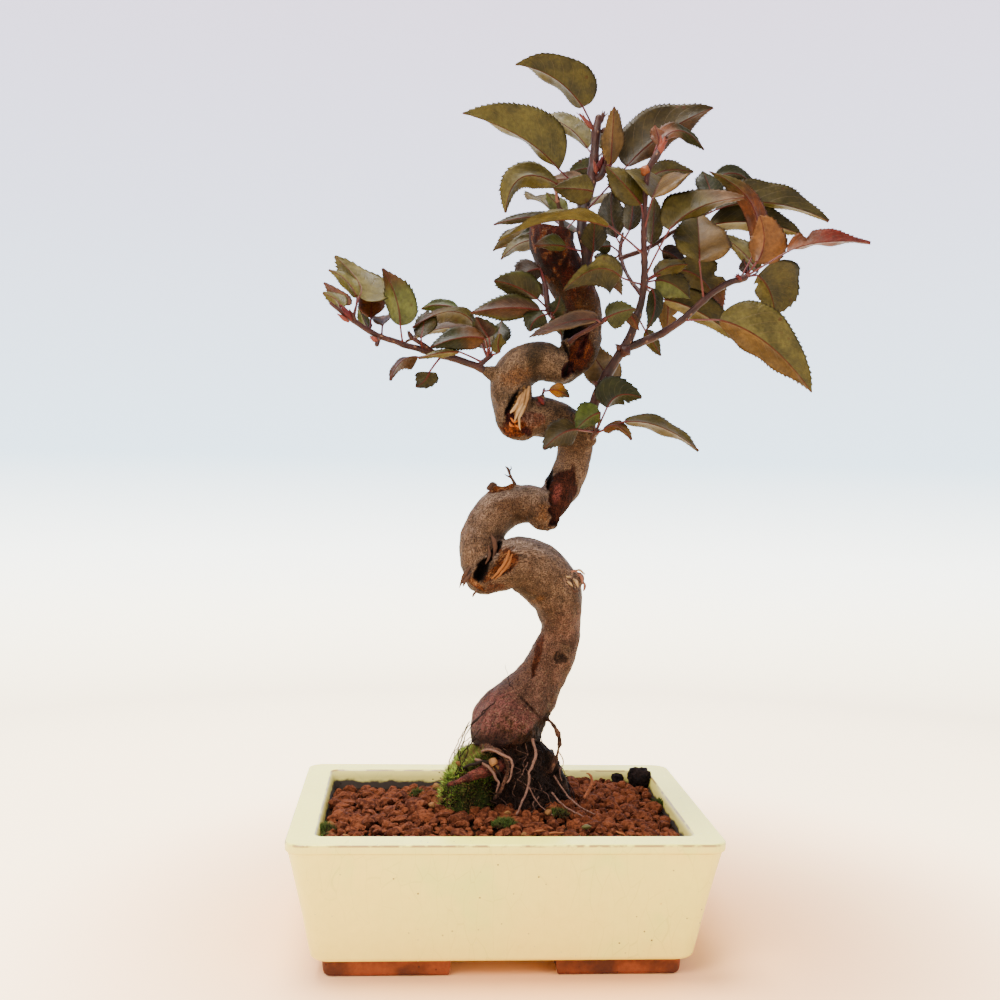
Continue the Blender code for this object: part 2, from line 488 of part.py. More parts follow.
def make_pot(parts, helpers):
    top_x, top_y = POT_LENGTH / 2, POT_DEPTH / 2
    low_x, low_y = top_x - POT_TAPER, top_y - POT_TAPER
    lip = POT_HEIGHT - LIP_HEIGHT
    rim_x, rim_y = inner_half(POT_HEIGHT)
    floor_x, floor_y = inner_half(FLOOR_TOP)
    wall_x = top_x - LIP_PROUD
    wall_y = top_y - LIP_PROUD
    rings = [
        rounded_ring(low_x - BOTTOM_ROUND, low_y - BOTTOM_ROUND, CORNER_RADIUS, FOOT_HEIGHT),
        rounded_ring(low_x - 0.3 * BOTTOM_ROUND, low_y - 0.3 * BOTTOM_ROUND, CORNER_RADIUS,
                     FOOT_HEIGHT + 0.3 * BOTTOM_ROUND),
        rounded_ring(low_x, low_y, CORNER_RADIUS, FOOT_HEIGHT + BOTTOM_ROUND),
        rounded_ring(wall_x, wall_y, CORNER_RADIUS, lip - LIP_PROUD),
        rounded_ring(top_x, top_y, CORNER_RADIUS, lip),
        rounded_ring(top_x, top_y, CORNER_RADIUS, POT_HEIGHT - RIM_ROUND),
        rounded_ring(top_x - RIM_ROUND, top_y - RIM_ROUND, CORNER_RADIUS, POT_HEIGHT),
        rounded_ring(rim_x + RIM_ROUND, rim_y + RIM_ROUND, INNER_CORNER, POT_HEIGHT),
        rounded_ring(rim_x, rim_y, INNER_CORNER, POT_HEIGHT - RIM_ROUND),
        rounded_ring(floor_x, floor_y, INNER_CORNER, FLOOR_TOP),
    ]
    pot = loft("pot", rings, parts)
    feet = new_collection("feet")
    reach_x = low_x - FOOT_INSET
    reach_y = low_y - FOOT_INSET
    for sx in (-1, 1):
        for sy in (-1, 1):
            rings = []
            for z, inset in ((0, 2.0), (2.0, 0.4), (FOOT_HEIGHT - 1, 0), (FOOT_HEIGHT + 1.5, 0)):
                out_x, out_y = reach_x - inset, reach_y - inset
                end_x = reach_x - FOOT_LENGTH + inset
                end_y = reach_y - FOOT_RETURN + inset
                in_x = reach_x - FOOT_BAR + inset
                in_y = reach_y - FOOT_BAR + inset
                outline = [(end_x, out_y), (end_x, in_y), (in_x, in_y), (in_x, end_y), (out_x, end_y),
                           (out_x, out_y - FOOT_BEVEL), (out_x - FOOT_BEVEL, out_y)]
                if sx * sy > 0:
                    outline.reverse()
                rings.append([(sx * x, sy * y, z) for x, y in reversed(outline)])
            foot = loft("foot", rings, feet)
            baked(foot, "foot", feet)
    pot = joined(pot, feet, "EXACT")
    for sx in (-1, 1):
        hole = cylinder("drain", (sx * DRAIN_OFFSET, 0), DRAIN_RADIUS, FOOT_HEIGHT - 3, FLOOR_TOP + 3,
                        helpers)
        pot = cut(pot, hole)
    pot.data.materials.append(material("pot"))
    return pot


def make_screens(parts, helpers):
    """Squares of plastic mesh that keep the soil from falling through the drain holes."""
    half = SCREEN_SIDE / 2
    low = FLOOR_TOP + GAP
    for side, sx in (("left", -1), ("right", 1)):
        middle = sx * DRAIN_OFFSET
        screen = block("drain_screen_" + side, (middle - half, -half, low),
                       (middle + half, half, low + SCREEN_THICK), parts)
        cell = (SCREEN_SIDE - 3 * SCREEN_BAR) / 2
        for column in range(2):
            for row in range(2):
                x = middle - half + SCREEN_BAR + column * (cell + SCREEN_BAR)
                y = -half + SCREEN_BAR + row * (cell + SCREEN_BAR)
                window = block("window", (x, y, low - 1),
                               (x + cell, y + cell, low + SCREEN_THICK + 1), helpers)
                screen = cut(screen, window)
        screen.data.materials.append(material("screen"))


def make_fill(parts, helpers):
    low, high = FLOOR_TOP + GAP, FILL_TOP
    rings = []
    for z in (low, high):
        half_x, half_y = inner_half(z)
        rings.append(rounded_ring(half_x - WALL_GAP, half_y - WALL_GAP, INNER_CORNER, z))
    fill = loft("soil_fill", rings, parts)
    fill = cut(fill, cylinder("stand", STEM_FOOT, HOLE_RADIUS, HOLE_BOTTOM, high + 3, helpers))
    half = SCREEN_SIDE / 2 + 0.5
    for sx in (-1, 1):
        bed = block("bed", (sx * DRAIN_OFFSET - half, -half, low - 3),
                    (sx * DRAIN_OFFSET + half, half, low + SCREEN_THICK + GAP), helpers)
        fill = cut(fill, bed)
    fill.data.materials.append(material("soil"))


def lattice(half_x, half_y, spacing):
    """A triangular lattice over a rectangle: its points, which of them are crowns, and its triangles."""
    step = spacing / math.sqrt(3)
    columns = int(2 * half_x / step) + 2
    rows = int(2 * half_y / (step * 0.866)) + 2
    points, crowns = [], []
    for row in range(rows):
        for column in range(columns):
            points.append((-half_x + (column + 0.5 * (row % 2)) * step, -half_y + row * step * 0.866))
            crowns.append((column - row // 2 - row) % 3 == 0)
    faces = []
    for row in range(rows - 1):
        for column in range(columns - 1):
            a = row * columns + column
            b, c, d = a + 1, a + columns, a + columns + 1
            if row % 2 == 0:
                faces += [(a, b, c), (b, d, c)]
            else:
                faces += [(a, b, d), (a, d, c)]
    return np.array(points), np.array(crowns), faces, rows, columns


def slab(name, points, top, faces, rows, columns, low, collection):
    """The lattice as the top of a closed slab with a flat underside at height low."""
    count = len(points)
    verts = [(x, y, z) for (x, y), z in zip(points, top)]
    rim = list(range(columns))
    rim += [row * columns + columns - 1 for row in range(1, rows)]
    rim += [(rows - 1) * columns + column for column in range(columns - 2, -1, -1)]
    rim += [row * columns for row in range(rows - 2, 0, -1)]
    verts += [(points[k][0], points[k][1], low) for k in rim]
    walls = []
    for k in range(len(rim)):
        after = (k + 1) % len(rim)
        walls.append((rim[k], count + k, count + after, rim[after]))
    under = tuple(reversed(range(count, count + len(rim))))
    return mesh_object(name, verts, list(faces) + walls + [under], collection)


def topping_height(x, y):
    """Height of the bed of granules, without the granules themselves: heaped round the stem, and
    low along the back wall on the left."""
    near = np.hypot(x - STEM_FOOT[0], y - STEM_FOOT[1])
    level = TOPPING_LEVEL + HEAP * np.exp(-((near / 34) ** 2))
    low_back = np.clip((y - 25) / 28, 0, 1) * np.clip((10 - x) / 60, 0, 1)
    return level - 4.0 * low_back - 1.5 * np.clip((x - 60) / 18, 0, 1)


def beds():
    """Oval places in the topping where nothing stands above the bed level: centre and half sizes."""
    margin = 0.75 * GRANULE
    found = [(MOSS_CENTRE, MOSS_RADII)] + [(centre, radii) for centre, radii, _ in PEAT.values()]
    return [(centre, (radii[0] + margin, radii[1] + margin)) for centre, radii in found]


def make_topping(parts, helpers):
    """Granules as the crowns of a triangular lattice, with the dips between them."""
    draw = random.Random(11)
    half_x, half_y = inner_half(POT_HEIGHT)
    points, crowns, faces, rows, columns = lattice(half_x + 4, half_y + 4, GRANULE)
    points = points + np.array([[draw.uniform(-0.7, 0.7), draw.uniform(-0.7, 0.7)] for _ in points])
    rise = np.array([draw.uniform(0.65, 1.25) for _ in points]) * GRANULE_RISE
    dip = np.array([draw.uniform(-0.4, 0.4) for _ in points])
    top = topping_height(points[:, 0], points[:, 1]) + np.where(crowns, rise, dip)
    for (cx, cy), (rx, ry) in beds():
        inside = np.hypot((points[:, 0] - cx) / rx, (points[:, 1] - cy) / ry) < 1
        top = np.where(inside, np.minimum(top, BED_LEVEL), top)
    low = FILL_TOP + GAP
    topping = slab("granule_topping", points, top, faces, rows, columns, low - 6, parts)
    rings = []
    for z in (low, POT_HEIGHT - 1, POT_HEIGHT + 14):
        wall_x, wall_y = inner_half(min(z, POT_HEIGHT - 1))
        rings.append(rounded_ring(wall_x - WALL_GAP, wall_y - WALL_GAP, INNER_CORNER, z))
    topping = combined(topping, loft("keep", rings, helpers), "INTERSECT")
    topping = cut(topping, cylinder("stand", STEM_FOOT, HOLE_RADIUS, low - 3, 80, helpers))
    topping.data.materials.append(material("granules"))


def cushion(name, centre, radii, spacing, seed, height_at, look, parts, helpers):
    """A lumpy heap on one of the flat beds, its height above the bed given by height_at."""
    draw = random.Random(seed)
    points, crowns, faces, rows, columns = lattice(radii[0] + spacing, radii[1] + spacing, spacing)
    share = np.hypot(points[:, 0] / radii[0], points[:, 1] / radii[1])
    points = points + np.array(centre)
    lift = np.array([draw.uniform(0.5, 1.2) for _ in points]) * spacing * 0.3
    low = BED_LEVEL + GAP
    top = low + 0.9 + height_at(points[:, 0], points[:, 1], share) + np.where(crowns, lift, 0)
    made = slab(name, points, top, faces, rows, columns, low - 4, parts)
    sides = 20
    rings = []
    for z in (low, top.max() + 3):
        rings.append([(centre[0] + radii[0] * math.cos(2 * math.pi * k / sides),
                       centre[1] + radii[1] * math.sin(2 * math.pi * k / sides), z)
                      for k in range(sides)])
    keep = loft("keep", rings, helpers)
    made = combined(made, keep, "INTERSECT")
    made.data.materials.append(material(look))
    return made


def moss_height(x, y, share):
    """Moss banked against the root mass, and kept below the thick root where it stands before it."""
    out = np.hypot(x - STEM_FOOT[0], y - STEM_FOOT[1])
    bank = np.clip(1 - (np.clip(out - 20, 0, None) / 23) ** 2, 0, 1) ** 0.8
    height = MOSS_RISE * bank * np.clip(1.25 * (1 - share**6), 0, 1)
    root_line = -17 + 0.56 * (x + 6)
    return np.where(y < root_line + 4, np.minimum(height, MOSS_UNDER_ROOT - BED_LEVEL), height)


def make_moss(parts, helpers):
    moss = cushion("moss_patch", MOSS_CENTRE, MOSS_RADII, 5.2, 5, moss_height, "moss", parts, helpers)
    roots = [ROOT_MASS, TRUNK_RUNS[0][:4]] + [ROOTS[k] for k in MOSS_ROOTS]
    for run in roots:
        sides = 5 if run is ROOT_MASS else 4 if run[0][3] > 10 else 1
        swollen = [(*p[:3], p[3] + GAP + 0.3) for p in round_start(eased(run, 8))]
        swollen = list(reversed(round_start(list(reversed(swollen)))))
        moss = cut(moss, tube("swollen", swollen, sides, helpers))
    moss.name = "moss_patch"


def make_peat(parts, helpers):
    for number, (name, (centre, radii, rise)) in enumerate(PEAT.items()):
        def height_at(x, y, share, rise=rise):
            return np.clip(1 - share**2.4, 0, 1) ** 0.6 * rise
        cushion(name, centre, radii, 3.4, 20 + number, height_at, "peat", parts, helpers)


def collar_run(shoot):
    """The short stub of the trunk that carries a shoot, ending square to the shoot's axis."""
    first, second = (np.array(p, float) for p in shoot["runs"][0][:2])
    along = (second - first)[:3]
    along /= np.linalg.norm(along)
    radius = first[3] * 1.3
    inner = np.array(shoot["inner"], float)
    return [(*inner, radius * 1.5), (*(first[:3] - along * 2.2), radius * 1.1), (*first[:3], radius)]


def make_trunk(parts, helpers):
    others = new_collection("trunk_pieces")
    base = None
    for number, run in enumerate(TRUNK_RUNS):
        points = round_start(eased(run, 8.5))
        if number < len(TRUNK_RUNS) - 1:
            points = list(reversed(round_start(list(reversed(points)))))
        piece = tube("run", points, 3 if number else 4, parts if base is None else others)
        base = base or piece
    tube("root_mass", round_start(eased(ROOT_MASS, 9)), 5, others)
    for run in ROOTS:
        tube("root", list(reversed(round_start(list(reversed(eased(run, 9)))))), 1, others)
    for run in STUBS:
        tube("stub", run, 1, others)
    for shoot in SHOOTS.values():
        tube("collar", collar_run(shoot), 1, others)
    base.name = "trunk_with_roots"
    trunk = joined(base, others, "EXACT")
    trunk.name = "trunk_with_roots"
    for centre, radii in SCOOPS:
        edit = bmesh.new()
        bmesh.ops.create_icosphere(edit, subdivisions=1, radius=1)
        for vert in edit.verts:
            vert.co = Vector([(vert.co[i] * radii[i] + centre[i]) * MM for i in range(3)])
        mesh = bpy.data.meshes.new("scoop")
        edit.to_mesh(mesh)
        edit.free()
        scoop = bpy.data.objects.new("scoop", mesh)
        helpers.objects.link(scoop)
        trunk = cut(trunk, scoop)
    trunk.data.materials.append(material("bark"))
    return trunk


def turned(vector, start, end):
    """The vector turned as a straight line along start would turn to lie along end."""
    return np.array(Vector(start).rotation_difference(Vector(end)) @ Vector(vector))


def blade(name, base, middle, tip, edge, other, collection):
    """A toothed leaf blade. Its midrib curves through base, middle and tip, and each half reaches
    out from it to the edge points; the edge steps out to a tooth and back for every stretch."""
    base, middle, tip = (np.array(p, float) for p in (base, middle, tip))
    reaches = [np.array(edge, float) - middle, np.array(other, float) - middle]
    length = np.linalg.norm(middle - base) + np.linalg.norm(tip - middle)
    stretches = 2 + sum(length > limit for limit in LONG_BLADES)

    def rib(s):
        return base * (1 - s) * (1 - 2 * s) + middle * 4 * s * (1 - s) + tip * s * (2 * s - 1)

    def heading(s):
        ahead = rib(s + 0.01) - rib(s - 0.01)
        return ahead / np.linalg.norm(ahead)

    def width_at(s):
        return s**0.62 * (1 - s) ** 0.72 / 0.397

    points = [rib(k / stretches) for k in range(stretches + 1)]
    faces = []
    steps = 2 * stretches
    for side, reach in enumerate(reaches):
        start = len(points)
        for k in range(1, steps):
            s = k / steps
            out = turned(reach, heading(0.5), heading(s)) * width_at(s) * (1.05 if k % 2 else 0.86)
            slip = 0.12 / steps if k % 2 else -0.1 / steps
            points.append(rib(s + slip) + out)
        edge_line = [0] + list(range(start, start + steps - 1)) + [stretches]
        for k in range(stretches):
            low, mid, high = edge_line[2 * k:2 * k + 3]
            fan = [(k, k + 1, mid)]
            if k > 0:
                fan.append((k, mid, low))
            if k < stretches - 1:
                fan.append((k + 1, high, mid))
            faces += [f if side else tuple(reversed(f)) for f in fan]
    made = mesh_object(name, points, faces, collection)
    wall = made.modifiers.new("wall", "SOLIDIFY")
    wall.thickness = LEAF_THICK * MM
    wall.offset = 0
    wall.use_even_offset = False
    made = baked(made, name, collection)
    return made, rib(0.1)


def nearest(point, runs):
    """The point of the twigs' middle lines closest to the given one."""
    best = None
    for run in runs:
        for a, b in zip(run, run[1:]):
            along = (b - a)[:3]
            t = np.clip((point - a[:3]).dot(along) / along.dot(along), 0, 1)
            spot = a[:3] + along * t
            if best is None or np.linalg.norm(spot - point) < np.linalg.norm(best - point):
                best = spot
    return best


def make_shoot(name, shoot, parts):
    pieces = new_collection(name + "_pieces")
    runs = [list(run) for run in shoot["runs"]]
    first, second = (np.array(p, float) for p in runs[0][:2])
    along = (second - first)[:3]
    along /= np.linalg.norm(along)
    runs[0][0] = (*(first[:3] + along * GAP), first[3])
    runs = [eased(run, 11) for run in runs]
    stem = tube(name, runs[0], 1, parts)
    for run in runs[1:]:
        tube("twig", run, 1, pieces)
    for foot, base, middle, tip, edge, other in LEAVES[name]:
        made, inside = blade("blade", base, middle, tip, edge, other, pieces)
        start = nearest(np.array(foot, float), runs)
        stalk = [(*start, STALK_RADIUS * 1.3), (*base, STALK_RADIUS), (*inside, STALK_RADIUS * 0.75)]
        tube("stalk", stalk, 0, pieces)
    made = joined(stem, pieces, "MANIFOLD")
    made.name = name
    made.data.materials.append(material("leaf"))
    return made


def finish(parts):
    """Moves everything so that the middle of the underside of the whole box is the origin."""
    corners = []
    for item in parts.objects:
        corners += [np.array(v.co) for v in item.data.vertices]
    corners = np.array(corners)
    low, high = corners.min(axis=0), corners.max(axis=0)
    shift = Vector(((low[0] + high[0]) / 2, (low[1] + high[1]) / 2, low[2]))
    for item in parts.objects:
        for vert in item.data.vertices:
            vert.co -= shift
        item.data.shade_smooth()
        item.data.set_sharp_from_angle(angle=math.radians(35))


def main():
    clear_scene()
    parts = new_collection("apple_bonsai")
    helpers = new_collection("cutters")
    make_pot(parts, helpers)
    make_screens(parts, helpers)
    make_fill(parts, helpers)
    make_topping(parts, helpers)
    make_moss(parts, helpers)
    make_peat(parts, helpers)
    make_trunk(parts, helpers)
    for name, shoot in SHOOTS.items():
        make_shoot(name, shoot, parts)
    bpy.data.collections.remove(helpers)
    finish(parts)


main()
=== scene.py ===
import itertools
import json
import math

import bmesh
import bpy
import numpy as np
from mathutils import Matrix, Vector

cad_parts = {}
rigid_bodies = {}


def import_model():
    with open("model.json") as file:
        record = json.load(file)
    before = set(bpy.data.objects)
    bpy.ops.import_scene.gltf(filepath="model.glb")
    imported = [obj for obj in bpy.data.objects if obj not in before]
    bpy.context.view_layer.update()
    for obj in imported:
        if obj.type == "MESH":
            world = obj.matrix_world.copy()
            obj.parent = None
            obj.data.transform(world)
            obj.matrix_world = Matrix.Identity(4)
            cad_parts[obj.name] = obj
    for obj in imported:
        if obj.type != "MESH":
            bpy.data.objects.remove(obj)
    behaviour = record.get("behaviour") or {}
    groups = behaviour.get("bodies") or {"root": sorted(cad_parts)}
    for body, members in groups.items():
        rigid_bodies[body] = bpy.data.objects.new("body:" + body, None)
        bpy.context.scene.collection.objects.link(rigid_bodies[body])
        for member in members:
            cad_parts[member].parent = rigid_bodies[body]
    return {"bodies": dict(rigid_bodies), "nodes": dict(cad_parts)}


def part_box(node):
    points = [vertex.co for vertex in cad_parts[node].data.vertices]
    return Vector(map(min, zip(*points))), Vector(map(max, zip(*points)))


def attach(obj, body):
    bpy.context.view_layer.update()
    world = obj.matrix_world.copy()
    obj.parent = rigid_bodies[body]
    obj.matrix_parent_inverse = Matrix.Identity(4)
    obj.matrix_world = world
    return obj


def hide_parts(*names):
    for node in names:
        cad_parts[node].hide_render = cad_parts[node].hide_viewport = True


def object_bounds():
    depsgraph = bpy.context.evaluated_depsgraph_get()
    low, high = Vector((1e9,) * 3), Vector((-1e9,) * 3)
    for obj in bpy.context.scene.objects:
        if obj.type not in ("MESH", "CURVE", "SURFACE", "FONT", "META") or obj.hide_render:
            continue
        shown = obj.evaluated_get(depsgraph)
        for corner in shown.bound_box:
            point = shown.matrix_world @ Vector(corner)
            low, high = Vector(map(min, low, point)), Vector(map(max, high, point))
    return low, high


# The apple bonsai dressed for close viewing. Every table below is in millimetres in the pot's own
# frame: X along the pot, Y away from the front, Z up from the underside of the feet.

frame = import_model()
kept = set(frame["nodes"].values()) | set(frame["bodies"].values())
for item in list(bpy.data.objects):
    if item not in kept:
        bpy.data.objects.remove(item)
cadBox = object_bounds()

mm = 0.001
potLow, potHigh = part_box("pot")
potMiddle = np.array([(potLow.x + potHigh.x) / 2, (potLow.y + potHigh.y) / 2, potLow.z])


def place(points):
    # millimetres in the pot's frame -> metres in the part's frame: times 0.001, plus the pot's middle
    return np.asarray(points, float) * mm + potMiddle


def linear(colour):
    # 0-255 screen values as linear light: ((c / 255 + 0.055) / 1.055) ** 2.4
    return ((np.asarray(colour, float) / 255 + 0.055) / 1.055) ** 2.4


# how dark a base colour is beside the colour that should show, in red, green and blue: the lights
# are strong, and the view pales what is bright
shownShare = {"glaze": (0.98, 0.95, 0.24), "clay": (0.37, 0.45, 0.65), "granules": (0.23, 0.225, 0.29),
              "moss": (0.56, 0.66, 0.48), "bark": (0.335, 0.325, 0.3), "leaf": (0.178, 0.146, 0.07),
              "twig": (0.22, 0.15, 0.115)}


def shown(kind, colour):
    # linear light x the kind's share, with an alpha of 1
    return (*(linear(colour) * shownShare[kind]), 1)


def unit(vectors):
    # each vector divided by its length
    return vectors / np.maximum(np.linalg.norm(vectors, axis=-1, keepdims=True), 1e-9)


def smooth(low, high, value):
    # 0 below low, 1 above high, and t t (3 - 2t) between
    t = np.clip((value - low) / (high - low), 0, 1)
    return t * t * (3 - 2 * t)


def mixed(first, second, share):
    # first (1 - share) + second share, for rows of colours
    share = np.asarray(share, float)[..., None]
    return np.asarray(first) * (1 - share) + np.asarray(second) * share


def cloudNoise(points, size, seed=0):
    # a random number at each corner of a grid of cells of that size, eased between the 8 corners
    # round a point; from -1 to 1
    cell = np.asarray(points, float) / size + 1000
    base = np.floor(cell).astype(np.int64)
    ease = cell - base
    ease = ease * ease * (3 - 2 * ease)
    total = np.zeros(cell.shape[:-1])
    for corner in itertools.product((0, 1), repeat=3):
        key = (base + corner) * np.array([73856093, 19349663, 83492791])
        mix = key[..., 0] ^ key[..., 1] ^ key[..., 2] ^ (seed * 2654435761 + 12345)
        mix = (mix ^ (mix >> 13)) * 1274126177 & 0xFFFFFFFF
        mix = (mix ^ (mix >> 16)) * 668265263 & 0xFFFFFFFF
        weight = np.prod(np.where(corner, ease, 1 - ease), axis=-1)
        total += weight * ((mix >> 8 & 0xFFFF) / 32767.5 - 1)
    return total


def layeredNoise(points, size, seed=0, layers=3):
    # cloud noise added to itself at half the size and half the strength, layer by layer
    return sum(cloudNoise(points, size / 2**k, seed + 7 * k) / 2**k for k in range(layers)) / 1.6


def eased(rows, step):
    # Catmull-Rom through the rows: half of 2b + (c - a) t + (2a - 5b + 4c - d) t^2 + (3b - a - 3c + d) t^3
    rows = np.asarray(rows, float)
    rows = np.vstack([2 * rows[0] - rows[1], rows, 2 * rows[-1] - rows[-2]])
    reach = np.linalg.norm(np.diff(rows[1:-1, :3], axis=0), axis=1)
    counts = np.maximum(1, np.rint(reach / step)).astype(int)
    k = np.repeat(np.arange(len(counts)), counts)
    t = (np.arange(len(k)) - np.repeat(np.cumsum(counts) - counts, counts)) / counts[k]
    t = t[:, None]
    a, b, c, d = rows[k], rows[k + 1], rows[k + 2], rows[k + 3]
    curve = 2 * b + (c - a) * t + (2 * a - 5 * b + 4 * c - d) * t**2 + (3 * b - a - 3 * c + d) * t**3
    return np.vstack([curve / 2, rows[-2]])


def ringFrames(path):
    # the heading along a path, a side direction carried along it by the least turn, and their cross
    ahead = unit(np.gradient(path, axis=0))
    side = np.empty_like(ahead)
    lean = (0.2, 0.3, 0.9) if abs(ahead[0, 2]) < 0.8 else (1, 0.2, 0.1)
    side[0] = unit(np.cross(ahead[0], lean))
    for k in range(1, len(path)):
        side[k] = unit(side[k - 1] - ahead[k] * side[k - 1].dot(ahead[k]))
    return ahead, side, np.cross(ahead, side)


def sweep(rows, sides, ripple=0.0, seed=0, domes=True):
    # a tube: point = path + radius (side cos a + up sin a), its ends drawn in by quarter circles to a
    # point; ripple swells the radius by cloud noise
    rows = np.asarray(rows, float)
    if domes:
        ahead = unit(np.gradient(rows[:, :3], axis=0))
        turn = np.radians([75, 45, 18])[:, None]
        first = np.hstack([rows[0, :3] - ahead[0] * rows[0, 3] * np.sin(turn), rows[0, 3] * np.cos(turn)])
        turn = turn[::-1]
        last = np.hstack([rows[-1, :3] + ahead[-1] * rows[-1, 3] * np.sin(turn), rows[-1, 3] * np.cos(turn)])
        rows = np.vstack([first, rows, last])
    path, radius = rows[:, :3], rows[:, 3]
    ahead, side, up = ringFrames(path)
    angle = np.arange(sides) * 2 * np.pi / sides
    out = side[:, None] * np.cos(angle)[None, :, None] + up[:, None] * np.sin(angle)[None, :, None]
    points = path[:, None] + out * radius[:, None, None]
    if ripple:
        points = points + out * (layeredNoise(points, 6, seed) * radius[:, None] * ripple)[..., None]
    along = np.concatenate([[0], np.cumsum(np.linalg.norm(np.diff(path, axis=0), axis=1))])
    marks = np.stack([np.cos(angle) * radius[:, None], np.sin(angle) * radius[:, None],
                      np.repeat(along[:, None], sides, axis=1)], axis=-1)
    rings = len(rows)
    grid = np.arange(rings * sides).reshape(rings, sides)
    after = np.roll(grid, -1, axis=1)
    quads = np.stack([grid[:-1], after[:-1], after[1:], grid[1:]], axis=-1).reshape(-1, 4)
    start, end = rings * sides, rings * sides + 1
    tip = path[[0, -1]]
    tris = np.concatenate([
        np.stack([after[0], grid[0], np.full(sides, start)], axis=-1),
        np.stack([grid[-1], after[-1], np.full(sides, end)], axis=-1)])
    tipMarks = np.array([[0, 0, 0], [0, 0, along[-1]]])
    return {"points": np.vstack([points.reshape(-1, 3), tip]), "quads": quads, "tris": tris,
            "marks": {"runMap": np.vstack([marks.reshape(-1, 3), tipMarks])}}


def gathered(shells):
    # shells laid end to end in one list of points, their face numbers moved on to match
    names = sorted({name for shell in shells for name in shell["marks"]})
    widths = {n: next(s["marks"][n].shape[1:] for s in shells if n in s["marks"]) for n in names}
    start, quads, tris, quadLook, triLook = 0, [], [], [], []
    for shell in shells:
        look = shell.get("look", 0)
        quads.append(np.asarray(shell.get("quads", np.zeros((0, 4), int))) + start)
        tris.append(np.asarray(shell.get("tris", np.zeros((0, 3), int))) + start)
        quadLook.append(np.full(len(quads[-1]), look))
        triLook.append(np.full(len(tris[-1]), look))
        start += len(shell["points"])
    marks = {}
    for name in names:
        marks[name] = np.concatenate([
            s["marks"].get(name, np.zeros((len(s["points"]), *widths[name]))) for s in shells])
    return {"points": np.vstack([s["points"] for s in shells]), "quads": np.vstack(quads),
            "tris": np.vstack(tris), "marks": marks,
            "looks": np.concatenate([np.concatenate(quadLook), np.concatenate(triLook)])}


def putMesh(name, shells, materials=()):
    # the gathered shells as a mesh object at the origin, its place in its points
    whole = gathered(shells)
    quads, tris = whole["quads"].astype(np.int32), whole["tris"].astype(np.int32)
    corners = np.concatenate([quads.ravel(), tris.ravel()])
    starts = np.concatenate([np.arange(len(quads)) * 4, len(quads) * 4 + np.arange(len(tris)) * 3])
    mesh = bpy.data.meshes.new(name)
    mesh.vertices.add(len(whole["points"]))
    mesh.vertices.foreach_set("co", place(whole["points"]).astype(np.float32).ravel())
    mesh.loops.add(len(corners))
    mesh.loops.foreach_set("vertex_index", corners)
    mesh.polygons.add(len(starts))
    mesh.polygons.foreach_set("loop_start", starts.astype(np.int32))
    for material in materials:
        mesh.materials.append(material)
    mesh.polygons.foreach_set("material_index", whole["looks"].astype(np.int32))
    mesh.update(calc_edges=True)
    mesh.validate()
    mesh.shade_smooth()
    for key, values in whole["marks"].items():
        kind, field = ("FLOAT", "value") if values.ndim == 1 else ("FLOAT_VECTOR", "vector")
        mesh.attributes.new(key, kind, "POINT").data.foreach_set(field, values.astype(np.float32).ravel())
    made = bpy.data.objects.new(name, mesh)
    bpy.context.scene.collection.objects.link(made)
    return made


def finished(item, replaced=()):
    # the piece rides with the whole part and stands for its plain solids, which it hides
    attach(item, "root")
    for name in replaced:
        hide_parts(name)
    triangles = sum(len(p.vertices) - 2 for p in item.data.polygons)
    print(f"{item.name}: {triangles} triangles")
    return item


def modified(item):
    # the object's mesh with its modifiers taken into it
    bpy.context.view_layer.update()
    mesh = bpy.data.meshes.new_from_object(item.evaluated_get(bpy.context.evaluated_depsgraph_get()))
    item.modifiers.clear()
    item.data = mesh
    return item


# Materials. Shared effects are node groups; the shader of each finish stays in its own material.

def addNode(tree, kind, values=(), **settings):
    # a node with its settings, each named or numbered input given a value or a link
    made = tree.nodes.new("ShaderNode" + kind)
    for key, value in settings.items():
        setattr(made, key, value)
    for key, value in dict(values).items():
        if isinstance(value, bpy.types.NodeSocket):
            tree.links.new(value, made.inputs[key])
        else:
            made.inputs[key].default_value = value
    return made


def mathNode(tree, operation, *values, clamp=False):
    made = addNode(tree, "Math", dict(enumerate(values)), operation=operation, use_clamp=clamp)
    return made.outputs[0]


def ranged(tree, value, low, high, start=0.0, end=1.0):
    # the value's stretch from low to high eased to start to end
    made = addNode(tree, "MapRange", {"Value": value, "From Min": low, "From Max": high, "To Min": start,
                                      "To Max": end}, interpolation_type="SMOOTHSTEP")
    return made.outputs["Result"]


def blended(tree, share, first, second, mode="MIX"):
    made = addNode(tree, "Mix", {0: share, 6: first, 7: second}, data_type="RGBA", blend_type=mode)
    return made.outputs[2]


def stretched(tree, vector, scale):
    return addNode(tree, "Mapping", {"Vector": vector, "Scale": scale}).outputs[0]


def newGroup(name, inputs, outputs):
    # a shader group with its named sockets: inputs are (name, kind, default), outputs (name, kind)
    tree = bpy.data.node_groups.new(name, "ShaderNodeTree")
    for label, kind, default in inputs:
        socket = tree.interface.new_socket(label, in_out="INPUT", socket_type="NodeSocket" + kind)
        if default is not None:
            socket.default_value = default
    for label, kind in outputs:
        tree.interface.new_socket(label, in_out="OUTPUT", socket_type="NodeSocket" + kind)
    return tree, tree.nodes.new("NodeGroupInput").outputs, tree.nodes.new("NodeGroupOutput").inputs


